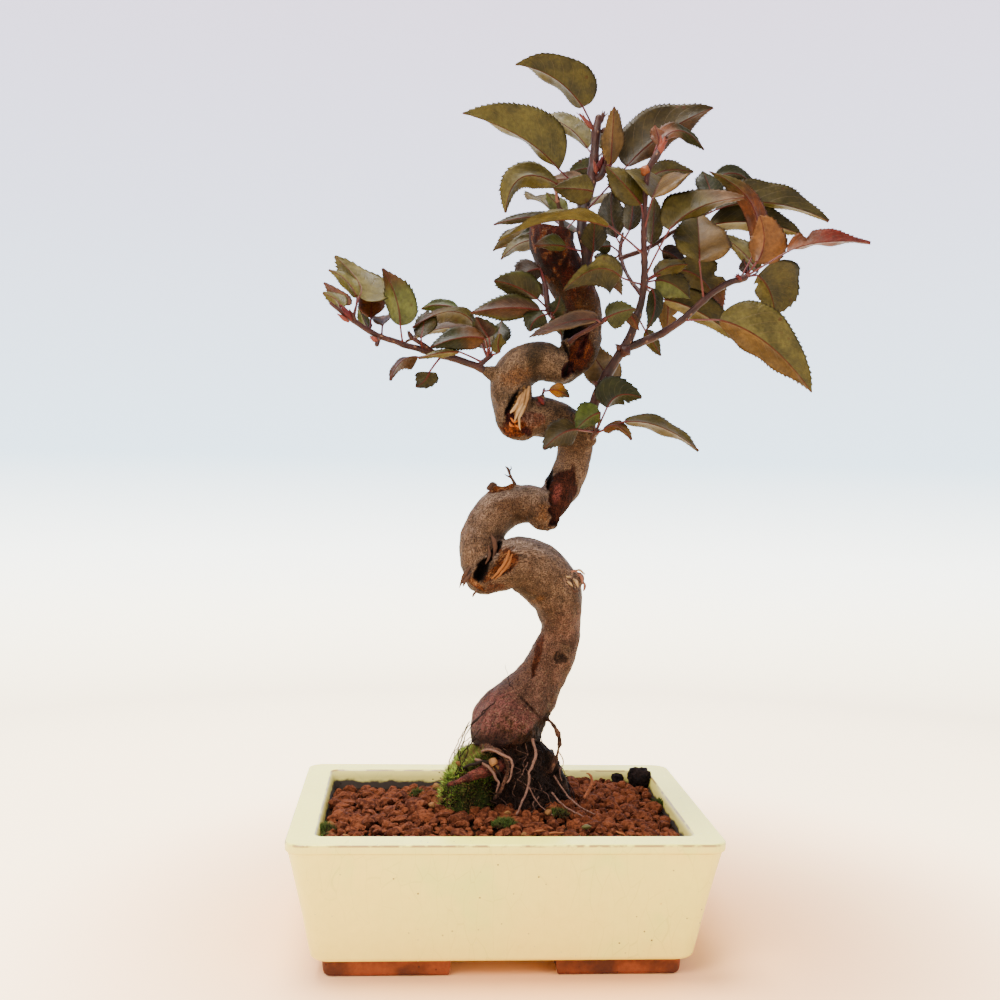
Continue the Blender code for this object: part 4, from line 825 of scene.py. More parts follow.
def bladesOver(roots, ups, lengths, widths, draw):
    # three-sided blades: a small triangle at the root and a point one length up, leaning at random
    count = len(roots)
    lean = unit(ups + draw.normal(size=(count, 3)) * 0.55)
    across = unit(np.cross(lean, draw.normal(size=(count, 3))))
    other = np.cross(lean, across)
    foot = roots - lean * 0.3
    corners = [foot + (across * math.cos(a) + other * math.sin(a)) * widths[:, None] / 2
               for a in (0, 2 * math.pi / 3, 4 * math.pi / 3)]
    tips = foot + lean * lengths[:, None]
    points = np.stack(corners + [tips], axis=1).reshape(-1, 3)
    faces = np.array([[0, 1, 3], [1, 2, 3], [2, 0, 3], [2, 1, 0]])
    tris = (faces[None] + (np.arange(count) * 4)[:, None, None]).reshape(-1, 3)
    bright, brown = draw.uniform(0, 1, (2, count))
    look = np.stack([np.tile([0, 0, 0, 1.0], count), np.repeat(bright, 4), np.repeat(brown, 4)], axis=-1)
    return {"points": points, "tris": tris, "marks": {"mossLook": look}}


def makeMoss():
    draw = np.random.default_rng(5)
    centre, radii = np.array(mossShape["centre"]), np.array(mossShape["radii"])

    def cover(x, y):
        height, share = mossHeight(x, y)
        lump = 3.0 * layeredNoise(np.column_stack([x, y, height * 0.6]), 4.5, 4)
        return np.maximum(mossShape["bed"] - 2 + (height + 0.6 + lump) * (share < 1), mossShape["bed"] - 2)

    bank = blockGrid(radii[0], radii[1], 0.8, lambda x, y: cover(x + centre[0], y + centre[1]),
                     mossShape["bed"] - 3)
    bank["points"][:, :2] += centre
    # the bank under the blades takes the dark foot colour: painted shade in the gaps between tufts
    bank["marks"]["mossLook"] = np.tile([0.15, 0.2, 0.3], (len(bank["points"]), 1))
    # tufts stand at random spots in the oval; a tuft's blades spread round its middle and lean outwards,
    # on top of the bank's own slope
    count = mossShape["tufts"]
    reach, turn = np.sqrt(draw.uniform(0, 1, count)), draw.uniform(0, 2 * np.pi, count)
    middles = centre + radii * np.column_stack([reach * np.cos(turn), reach * np.sin(turn)])
    pick = draw.integers(0, count, mossShape["blades"])
    spread = draw.normal(0, mossShape["spread"], (len(pick), 2))
    x, y = (middles[pick] + spread).T
    z = cover(x, y)
    slope = np.column_stack([cover(x - 0.5, y) - cover(x + 0.5, y), cover(x, y - 0.5) - cover(x, y + 0.5),
                             np.ones(len(x))])
    ups = unit(unit(slope) + np.column_stack([spread * 0.4, np.full(len(x), 0.7)]))
    # blades are shorter away from their tuft's middle, and the bank greener towards its upper left
    roots = np.column_stack([x, y, z])
    size = draw.uniform(0.5, 1.35, count)[pick] * np.exp(-((np.hypot(*spread.T) / 2.6) ** 2))
    lengths, widths = draw.uniform(2.4, 5.2, len(x)) * size, draw.uniform(0.36, 0.7, len(x))
    blades = bladesOver(roots, ups, lengths, widths, draw)
    green = layeredNoise(roots, 6, 12) + (z - 72) / 26 + 1.2 * smooth(-11, -22, x) - 0.5
    green = np.repeat(smooth(-0.5, 0.6, green + draw.uniform(-0.5, 0.5, count)[pick]), 4)
    blades["marks"]["mossLook"][:, 1] *= 0.1 + 0.9 * green
    blades["marks"]["mossLook"][:, 2] += 0.3 * (1 - green)
    made = putMesh("moss", [bank, blades], [mossMaterial()])
    finished(made, ["moss_patch"])


def makePeat():
    # a crumbling lump: a ball flattened at its foot and roughened by cloud noise at three sizes
    look = plainMaterial("peat", (66, 48, 44), (30, 22, 20), 700.0, 0.95, 0.0016)
    for number, (name, (centre, radii, rise)) in enumerate(peatLumps.items()):
        edit = bmesh.new()
        bmesh.ops.create_icosphere(edit, subdivisions=5, radius=1)
        ball = np.array([v.co for v in edit.verts])
        faces = np.array([[v.index for v in face.verts] for face in edit.faces])
        edit.free()
        square = unit(ball) / np.max(np.abs(unit(ball)), axis=1, keepdims=True)
        ball = ball * 0.74 + square * 0.22
        swell = 1 + 0.34 * layeredNoise(ball + number * 9, 0.62, 6, 5)
        points = ball * swell[:, None] * np.array([radii[0], radii[1], rise / 2 + 1.2])
        points += np.array([centre[0], centre[1], mossShape["bed"] + rise / 2 - 1.3])
        made = putMesh(name + "_crumb", [{"points": points, "tris": faces, "marks": {}}], [look])
        finished(made, [name])


# The trunk, its wounds and roots: x, y, z, radius.

trunkRuns = [
    [(3, 0, 86.6, 11), (2.6, 0, 88, 14.9), (3.0, 0, 91.4, 16.8), (6, 1, 98, 16.4), (12, 3, 105.5, 13.7), (18.5, 5, 115, 10.9),
     (25, 6, 127, 10), (27.5, 5, 139, 9), (25, 3, 152, 11.8), (17, 1, 163, 13.2), (6, -3, 168, 11.8),
     (-4, -5, 165, 10), (-9, -5, 162, 8.6)],
    [(-9, -3, 163, 8.6), (-11, -1, 173, 9.2), (-9, 2, 182, 9.4), (-2, 4, 191, 9.8), (6, 4, 194, 8.8),
     (14, 1, 194, 8.6), (18, -2, 190, 7.6)],
    [(18, 2, 190, 6), (23, 5, 197, 8), (29, 9, 206, 8.1), (32, 10, 216, 8), (32, 8, 225, 8.7),
     (26, 5, 231, 9), (15, 1, 234, 9), (6, -3, 231, 8)],
    [(4, -4, 231, 8), (2, -3, 240, 9), (2, -1, 250, 9.2), (7, 0, 257, 9), (15, 0, 259, 8.8),
     (23, -2, 256, 7.4)],
    [(26, 4, 255, 6), (33, 7, 264, 8.6), (34, 8, 275, 9.5), (33, 8, 285, 9.5), (28, 6, 295, 9.8),
     (22, 4, 304, 10), (18.8, 2, 311, 9.8), (18.6, 2, 317, 9.8)],
]
rootMass = [(4, 1, 90, 11), (6, 2, 82, 13.6), (9, 2, 75, 16), (11, 2, 67, 19), (12, 2, 60, 20.5), (12, 2, 48, 19),
            (12, 2, 38, 16)]
surfaceRoots = [
    [(16, -2, 100, 1.8), (22, -5, 97.5, 1.2), (26, -8, 91, 1.1), (25.5, -10, 84, 1.1), (22, -12, 76, 1.4)],
    [(14, -6, 97, 1.4), (15, -9, 95, 1.0)],
    [(-7, -9, 86, 2.0), (-5, -16, 87, 1.4), (0, -19.5, 86, 1.15), (2.6, -20.5, 80, 1.15), (0.6, -22, 73, 1.1),
     (-3, -23, 67, 1.1)],
    [(4, -8, 79, 3.2), (-6, -17, 78, 2.8), (-15, -23, 76.5, 2.1), (-20, -25.4, 75, 1.5), (-24, -27, 74, 0.9)],
    [(14, 8, 88, 3), (22, 14, 78, 2.6), (26, 15, 68, 2.4), (24, 12, 60, 2.6)],
    [(0, 8, 90, 3), (-6, 12, 80, 2.6), (-6, 14, 69, 2.4), (-2, 12, 60, 2.6)],
    [(22, -4, 82, 3), (27, -7, 73, 2.4), (28, -8, 65, 2.6)],
    [(10, 12, 84, 2.6), (10, 19, 74, 2.2), (10, 20, 64, 2.6)],
]
stubs = [
    [(28, 3, 158, 5), (34.2, 0.6, 161, 3.2)],
    [(-4, 4, 195, 4.6), (-3.5, 3, 199.4, 3.4)],
    [(3, 3, 196, 3), (3.5, 3, 201.5, 2.4)],
]
trunkLook = {"voxel": 0.74, "sides": 30, "smoothing": 5, "wrinkle": 0.45, "lump": 0.6, "redRoot": 3}
# What marks the wood: middle on the surface, half width and height, lean to the right in degrees, depth
# (below 0 swells), tone and roughness, all in mm.
wounds = [
    ((0.4, -13.9, 170.0), (4.3, 6.2), 28, 1.6, "torn", 0.35),
    ((-6.2, -13.9, 164.0), (1.7, 5.0), 40, 1.0, "torn", 0.3),
    ((-10.4, -12.8, 165.6), (2.7, 5.4), 18, 6.5, "shadowedHollow", 0.3),
    ((-5.4, -10.0, 172.8), (1.5, 7.0), 36, 4.5, "shadowedHollow", 0.3),
    ((-13.4, -11.8, 159.8), (1.4, 5.2), -52, 0.8, "torn", 0.4),
    ((-3.5, -12.0, 158.0), (6.6, 3.4), 0, 0.0, "rust", 0.2),
    ((25.6, -2.6, 198.0), (6.4, 13.8), 12, 1.3, "stripped", 0.5),
    ((23.4, -2.4, 200.0), (2.0, 4.4), 10, 0.5, "core", 0.2),
    ((20.6, 1.6, 206.0), (1.1, 5.8), 14, 3.0, "shadowedHollow", 0.2),
    ((17.3, -9.0, 190.6), (3.6, 6.4), 0, 0.0, "amber", 0.0),
    ((-1.2, 0.7, 201.6), (6.8, 1.8), -14, 0.6, "torn", 0.4),
    ((5.2, -9.6, 239.6), (3.0, 8.0), 24, 1.2, "pith", 0.3),
    ((1.4, -11.4, 239.6), (1.1, 6.2), 26, 3.2, "shadowedHollow", 0.2),
    ((3.5, -12.0, 251.5), (8.5, 4.6), -24, 0.0, "amber", 0.0),
    ((10.4, -9.6, 231.8), (5.8, 4.2), -14, -0.9, "callus", 0.3),
    ((2.6, -11.4, 228.4), (5.8, 3.6), 6, 0.9, "burnt", 1.0),
    ((1.2, -11.6, 233.2), (2.5, 3.4), -12, 1.9, "maroon", 0.5),
    ((8.6, -10.4, 226.9), (2.8, 1.8), 14, 0.8, "maroon", 0.4),
    ((29.4, -1.0, 273.4), (5.6, 4.8), 30, 7.5, "shadowedHollow", 0.4),
    ((32.2, -2.4, 262.0), (5.4, 8.6), 24, 1.3, "redwood", 0.8),
    ((33.6, -0.6, 266.0), (1.5, 7.0), 22, 1.6, "maroon", 0.4),
    ((26.6, -5.4, 255.4), (2.6, 4.6), 34, 1.0, "maroon", 0.4),
    ((25.6, -7.4, 264.0), (0.9, 4.0), -26, 2.4, "shadowedHollow", 0.1),
    ((26.4, -7.6, 256.4), (0.8, 4.8), 14, 2.4, "shadowedHollow", 0.1),
    ((31.6, -4.9, 161.2), (4.8, 4.6), 0, 0.0, "flakes", 0.9),
    ((15.2, -7.2, 152.4), (3.4, 1.5), -30, 0.0, "amber", 0.1),
    ((16.6, -1.5, 127.0), (1.5, 8.8), 14, 0.5, "rust", 0.3),
    ((26.0, -4.0, 125.5), (3.4, 2.8), 20, 0.3, "knot", 0.4),
    ((3.4, -15.4, 95.4), (7.4, 5.6), 10, 0.2, "fibre", 0.6),
    ((12.2, -12.0, 105.0), (0.7, 6.8), -44, 0.8, "knot", 0.1),
]
# each tone's main colour, the colour of its fibres, and how much its rim darkens; the hollows' near black is painted
# shade deep in the recesses
woundTones = {"torn": ((154, 84, 48), (212, 152, 104), 0.5), "shadowedHollow": ((20, 13, 11), (34, 20, 14), 0.0),
              "rust": ((104, 56, 40), (134, 80, 54), 0.0), "stripped": ((98, 52, 38), (66, 34, 26), 0.35),
              "pith": ((206, 158, 106), (146, 88, 46), 0.25), "maroon": ((66, 24, 22), (104, 52, 50), 0.3),
              "callus": ((124, 78, 60), (166, 124, 104), 0.0),
              "core": ((146, 78, 72), (116, 60, 50), 0.2), "amber": ((150, 100, 60), (122, 80, 52), 0.0),
              "burnt": ((112, 54, 26), (190, 96, 36), 0.4), "redwood": ((112, 52, 32), (158, 84, 44), 0.5),
              "flakes": ((204, 164, 144), (122, 84, 66), 0.0), "knot": ((60, 40, 32), (98, 72, 58), 0.0),
              "fibre": ((74, 50, 38), (112, 82, 62), 0.0)}


def collarRun(runs, inner):
    # the stub that carries a shoot: from inside the trunk to the foot of the shoot's first run
    first, second = (np.array(p, float) for p in runs[0][:2])
    along = unit((second - first)[:3])
    radius = first[3] * 1.15
    return np.array([(*inner, radius * 1.5), (*(first[:3] - along * 2.2), radius * 1.1), (*first[:3], radius * 0.86)])


def nearestOnRuns(points, runs):
    # each point's place on the middle lines: cos and sin round it times the distance, length along it
    # and run number, and how far out it lies in radii
    best = np.full(len(points), 1e9)
    found = np.zeros((len(points), 4))
    for number, run in enumerate(runs):
        path = run[:, :3]
        ahead, side, up = ringFrames(path)
        along = np.concatenate([[0], np.cumsum(np.linalg.norm(np.diff(path, axis=0), axis=1))])
        for k in range(0, len(points), 20000):
            part = points[k:k + 20000]
            gap = part[:, None] - path[None]
            share = np.linalg.norm(gap, axis=-1) / run[None, :, 3]
            pick = share.argmin(axis=1)
            rows = np.arange(len(part))
            near = share[rows, pick]
            d = gap[rows, pick]
            better = near < best[k:k + 20000]
            values = np.stack([(d * side[pick]).sum(-1), (d * up[pick]).sum(-1),
                               along[pick] + (d * ahead[pick]).sum(-1) + number * 40, np.full(len(part), number)], axis=-1)
            found[k:k + 20000][better] = values[better]
            best[k:k + 20000][better] = near[better]
    return found, best


def underBulb(points):
    # 1 below the bulb's edge, which climbs to the right: height 86.4 + 0.65 (x + 1), eased over 2 mm
    x, y, z = points.T
    edge = 86.4 + 0.65 * np.clip(x + 1, 0, 22) + 0.9 * layeredNoise(points, 3.0, 22)
    return smooth(1.0, -1.0, z - np.where(y < 6, edge, 86.4))


def barkColours(points, normals, found):
    # zones by height, each two tones mixed by cloud noise; upper sides painted paler and greyer as a painted highlight,
    # undersides painted darker as painted shade
    x, y, z = points.T
    wide, fine = layeredNoise(points, 11, 21), layeredNoise(points, 3.0, 22)
    patch = layeredNoise(points * (1, 1, 0.6), 5.5, 24)
    drawn = layeredNoise(found[:, :3] * (1, 1, 0.3), 1.5, 23)
    up = normals[:, 2] + 0.3 * fine

    def zone(first, second, low=-0.4, high=0.45):
        return mixed(linear(first), linear(second), smooth(low, high, 0.7 * wide + 0.6 * patch))

    loops = zone((146, 114, 92), (104, 74, 54))
    # painted highlight on upper sides, then painted shade on undersides
    loops = mixed(loops, linear((190, 164, 150)), 0.7 * smooth(0.2, 0.9, up))
    loops = mixed(loops, linear((86, 60, 44)), 0.5 * smooth(-0.1, -0.9, up))
    stem = zone((147, 105, 88), (103, 71, 59))
    stem = mixed(stem, linear((156, 122, 94)), 0.4 * smooth(0.15, 0.5, patch))
    loop = zone((141, 112, 89), (98, 74, 54))
    # painted highlight on the loop's upper sides
    loop = mixed(loop, linear((148, 124, 108)), 0.6 * smooth(0.4, 0.95, up) * smooth(0.0, 0.3, patch))
    loop = mixed(loop, linear((60, 48, 30)), 0.6 * smooth(0.0, 0.4, wide))
    # painted shade on the loop's undersides
    loop = mixed(loop, linear((58, 40, 28)), 0.6 * smooth(-0.1, -0.9, up))
    top = zone((86, 29, 16), (40, 13, 8))
    top = mixed(top, linear((96, 62, 24)), 0.8 * smooth(302, 282, z) * smooth(-0.4, 0.2, patch))
    flecks = smooth(0.1, 0.4, layeredNoise(points * (1, 1, 0.7), 2.4, 25)) * smooth(286, 298, z) * smooth(322, 312, z)
    top = mixed(top, linear((150, 80, 36)), 0.8 * flecks)
    bulb = zone((139, 86, 81), (92, 54, 50))
    # the bulb's upper left painted paler in patches: a painted highlight
    bulb = mixed(bulb, linear((172, 122, 112)), 0.4 * smooth(0.1, 0.6, wide) * smooth(90, 100, z) * smooth(2, -6, x))
    bulb = mixed(bulb, linear((48, 32, 28)), 0.7 * smooth(96, 90, z + 3 * fine))
    fibre = mixed(linear((80, 55, 43)), linear((36, 25, 21)), smooth(-0.3, 0.3, fine))
    fibre = mixed(fibre, linear((96, 54, 40)), 0.8 * smooth(0.0, 0.4, wide + 0.5 * fine) * smooth(14, 4, x))
    colour = mixed(stem, loops, smooth(140, 156, z + 4 * wide))
    colour = mixed(colour, loop, smooth(216, 232, z + 3 * wide))
    colour = mixed(colour, top, smooth(262, 280, z + 5 * wide) * smooth(14, 20, x + 0.5 * np.clip(z - 276, 0, 40)))
    colour = mixed(colour, bulb, smooth(116, 101, z + 8 * wide + 0.4 * (x - 6)))
    colour = mixed(colour, fibre, underBulb(points))
    grain = layeredNoise(points, 1.4, 26, 2)
    strength = 1 - 0.35 * smooth(205, 230, z)
    return colour * np.clip(1 + strength * (0.34 * drawn + 0.16 * fine + 0.34 * grain), 0.3, 2)[:, None]


def markWound(points, normals, colours, wound, number):
    # in the plane of the picture, u across and w along the lean: inside u^2 + w^2 < 1 the surface goes
    # back to y + depth sqrt(1 - u^2 - w^2), and a low lip swells round it
    centre, halves, lean, deep, tone, rough = wound
    d = points - np.array(centre)
    c, s = math.cos(math.radians(lean)), math.sin(math.radians(lean))
    flat = np.stack([(d[:, 0] * c - d[:, 2] * s), (d[:, 0] * s + d[:, 2] * c)], axis=-1)
    deepest = abs(deep) > 0.4
    ragged = (0.34 if deepest else 0.5) * layeredNoise(points, 2.6 if deepest else 3.4, 30 + number, 4)
    reach = np.linalg.norm(flat / halves, axis=1) + ragged
    front = smooth(7.0, 5.0, d[:, 1]) * (normals[:, 1] < 0.35)
    inside = smooth(1.03, 0.84, reach) * front
    fibre = layeredNoise(np.column_stack([flat[:, 0], flat[:, 1] * 0.25, d[:, 1]]), 0.62, 50 + number, 3)
    if deep > 0:
        floor = centre[1] + deep * np.sqrt(np.clip(1 - reach**2, 0, 1)) - 0.4 * rough * fibre
        points[:, 1] += np.maximum(floor - points[:, 1], 0) * inside
        lip = np.exp(-(((reach - 1.15) / 0.11) ** 2)) * min(0.6, deep * 0.5) * front
        points += normals * lip[:, None]
    if deep < 0:
        points -= normals * (deep * np.clip(1 - reach**2, 0, 1) * front)[:, None]
    points += normals * (rough * (0.6 * fibre + 0.5 * layeredNoise(points, 1.6, 70 + number)) * inside)[:, None]
    first, second, rim = woundTones[tone]
    wood = mixed(linear(first), linear(second), smooth(-0.1, 0.45, fibre))
    wood = wood * (1 - rim * smooth(0.45, 0.95, reach))[:, None]
    painted = (smooth(1.06, 0.94, reach) if deep else 0.8 * smooth(1.15, 0.4, reach)) * front
    if tone in ("flakes", "fibre"):
        painted = painted * smooth(-0.05, 0.25, layeredNoise(points, 1.9, 90))
    return points, mixed(colours, wood, painted), painted * (deep != 0 or rough > 0.5)


def makeTrunk():
    runs = [eased(run, 1.6) for run in trunkRuns] + [eased(rootMass, 1.6)]
    roots = [eased(run, 1.2) for run in surfaceRoots]
    side = roots + [eased(run, 1.2) for run in stubs]
    side += [eased(collarRun(runs_, inner), 1.2) for runs_, inner in collars()]
    shells = [sweep(run, trunkLook["sides"], 0.05, k) for k, run in enumerate(runs)]
    shells += [sweep(run, 14, 0.1, 40 + k) for k, run in enumerate(side)]
    trunk = putMesh("trunk_bark", shells)
    remesh = trunk.modifiers.new("skin", "REMESH")
    remesh.mode = "VOXEL"
    remesh.voxel_size = trunkLook["voxel"] * mm
    relax = trunk.modifiers.new("relax", "SMOOTH")
    relax.factor = 0.6
    relax.iterations = trunkLook["smoothing"]
    modified(trunk)
    mesh = trunk.data
    count = len(mesh.vertices)
    points = np.empty(count * 3, np.float32)
    mesh.vertices.foreach_get("co", points)
    points = (points.reshape(-1, 3).astype(float) - potMiddle) / mm
    normals = np.empty(count * 3, np.float32)
    mesh.vertices.foreach_get("normal", normals)
    normals = normals.reshape(-1, 3).astype(float)
    found, out = nearestOnRuns(points, runs)
    onRoot, gap = nearestOnRuns(points, roots)
    mapped = found[:, :3]
    rootShare = smooth(1.5, 1.15, gap) * smooth(104, 96, points[:, 2]) * (onRoot[:, 3] <= trunkLook["redRoot"])
    # folds and rings across the stem, flat lumps, scales at the top and coarse fibres on the root mass
    rough = trunkLook["wrinkle"] * layeredNoise(mapped * (0.6, 0.6, 0.5), 1.9, 11, 3)
    rough += trunkLook["lump"] * layeredNoise(points, 7, 13, 2)
    scaly = smooth(280, 296, points[:, 2]) * (points[:, 0] > 12)
    rough += scaly * 0.8 * np.abs(layeredNoise(mapped * (1, 1, 0.6), 3.2, 14, 3))
    fibres = underBulb(points) * (1 - rootShare)
    rough += fibres * (1.3 * layeredNoise(points * (1, 1, 0.4), 2.2, 15, 4) - 1.1 * smooth(82, 88, points[:, 2]))
    rough += rootShare * 0.45 * layeredNoise(onRoot[:, :3] * (0.3, 0.3, 1), 1.6, 16, 2)
    points = points + normals * rough[:, None]
    colours = barkColours(points, normals, found)
    rootTone = mixed(linear((138, 92, 74)), linear((78, 50, 40)), smooth(-0.3, 0.3, layeredNoise(points, 3, 17)))
    redTone = mixed(linear((160, 82, 72)), linear((104, 50, 46)), smooth(-0.3, 0.4, layeredNoise(onRoot[:, :3] * (0.3, 0.3, 1), 2.2, 18)))
    redTone = mixed(redTone, linear((48, 30, 28)), smooth(-22, -24.5, points[:, 0]))
    red = onRoot[:, 3] == trunkLook["redRoot"]
    colours = mixed(colours, np.where(red[:, None], redTone, rootTone), rootShare)
    torn = np.zeros(count)
    for number, wound in enumerate(wounds):
        points, colours, share = markWound(points, normals, colours, wound, number)
        torn = np.maximum(torn, share)
    # the top is sawn off at a height of 319.8 - 0.16 (x - 10), and hollow on its right
    sawn = 319.8 - 0.16 * (points[:, 0] - 10) + 0.6 * layeredNoise(points * (1, 1, 0.2), 3, 19)
    stump = (points[:, 2] > sawn) & (np.hypot(points[:, 0] - 18.6, points[:, 1] - 2) < 12)
    points[:, 2] = np.where(stump, sawn, points[:, 2])
    top = np.linalg.norm((points - (22.5, 0, 319)) / (5.5, 6.5, 6.0), axis=1)
    points[:, 2] -= smooth(1.0, 0.7, top) * (points[:, 2] - 313).clip(0)
    # the hollow at the top is painted near black as painted shade; the sawn face is darkened 0.7 of the way to the same
    # tone
    colours = mixed(colours, linear((30, 17, 13)), np.maximum(smooth(1.1, 0.85, top), 0.7 * stump))
    mesh.vertices.foreach_set("co", place(points).astype(np.float32).ravel())
    mesh.update()
    for key, values in (("barkColour", colours * shownShare["bark"]), ("barkMap", mapped)):
        mesh.attributes.new(key, "FLOAT_VECTOR", "POINT").data.foreach_set(
            "vector", values.astype(np.float32).ravel())
    mesh.attributes.new("torn", "FLOAT", "POINT").data.foreach_set("value", torn.astype(np.float32))
    mesh.shade_smooth()
    mesh.materials.clear()
    mesh.materials.append(barkMaterial())
    finished(trunk, ["trunk_with_roots"])


def barkMaterial():
    # the painted bark with fine fissures along the stem, lenticels across it and specks of dust; the fissures' strong
    # dark and light streaks are the bark's own grain and also painted shade and highlight of its relief
    made, tree, shader = newMaterial("bark", 0.62, 0.07)
    spot = objectPlace(tree)
    base = attribute(tree, "barkColour")["Color"]
    along = attribute(tree, "barkMap")["Vector"]
    torn = attribute(tree, "torn")["Fac"]
    whole = mathNode(tree, "SUBTRACT", 1.0, torn)
    light = addNode(tree, "SeparateColor", {0: base}).outputs[0]
    whole = mathNode(tree, "MULTIPLY", whole, ranged(tree, light, 0.015, 0.06, 0.1, 1.0))
    fissures = useGroup(tree, "streaks", {"Vector": along, "Across": 2.0, "Along": 1.4})["Value"]
    crossing = useGroup(tree, "streaks", {"Vector": along, "Across": 0.5, "Along": 2.6})["Value"]
    broad = useGroup(tree, "streaks", {"Vector": along, "Across": 0.5, "Along": 0.18})["Value"]
    # the streaks' darkening and lightening is grain and painted shade and highlight of the relief together
    shade = mathNode(tree, "MULTIPLY", ranged(tree, fissures, 0.4, 0.6, 0.36, 1.66),
                     ranged(tree, broad, 0.36, 0.64, 0.76, 1.22))
    grey = addNode(tree, "CombineColor", {0: shade, 1: shade, 2: shade}).outputs[0]
    colour = blended(tree, 1.0, base, grey, "MULTIPLY")
    pale = mathNode(tree, "MULTIPLY", ranged(tree, crossing, 0.52, 0.64, 0.0, 0.5), whole)
    colour = blended(tree, pale, colour, shown("bark", (176, 142, 116)))
    dots = useGroup(tree, "specks", {"Vector": spot, "Scale": 720.0, "Size": 0.24, "Share": 0.34})["Mask"]
    colour = blended(tree, mathNode(tree, "MULTIPLY", dots, mathNode(tree, "MULTIPLY", whole, 0.6)), colour,
                     shown("bark", (214, 180, 146)))
    tree.links.new(colour, shader.inputs["Base Color"])
    rough = mathNode(tree, "MULTIPLY_ADD", torn, 0.25, ranged(tree, fissures, 0.3, 0.7, 0.48, 0.68))
    tree.links.new(rough, shader.inputs["Roughness"])
    grain = addNode(tree, "TexNoise", {"Vector": spot, "Scale": 1300.0, "Detail": 3.0}).outputs[0]
    height = mathNode(tree, "MULTIPLY_ADD", fissures, 0.9, mathNode(tree, "MULTIPLY", grain, 0.5))
    height = mathNode(tree, "MULTIPLY_ADD", crossing, 0.6, height)
    bumped(tree, shader, height, 0.0015, 1.0)
    return made


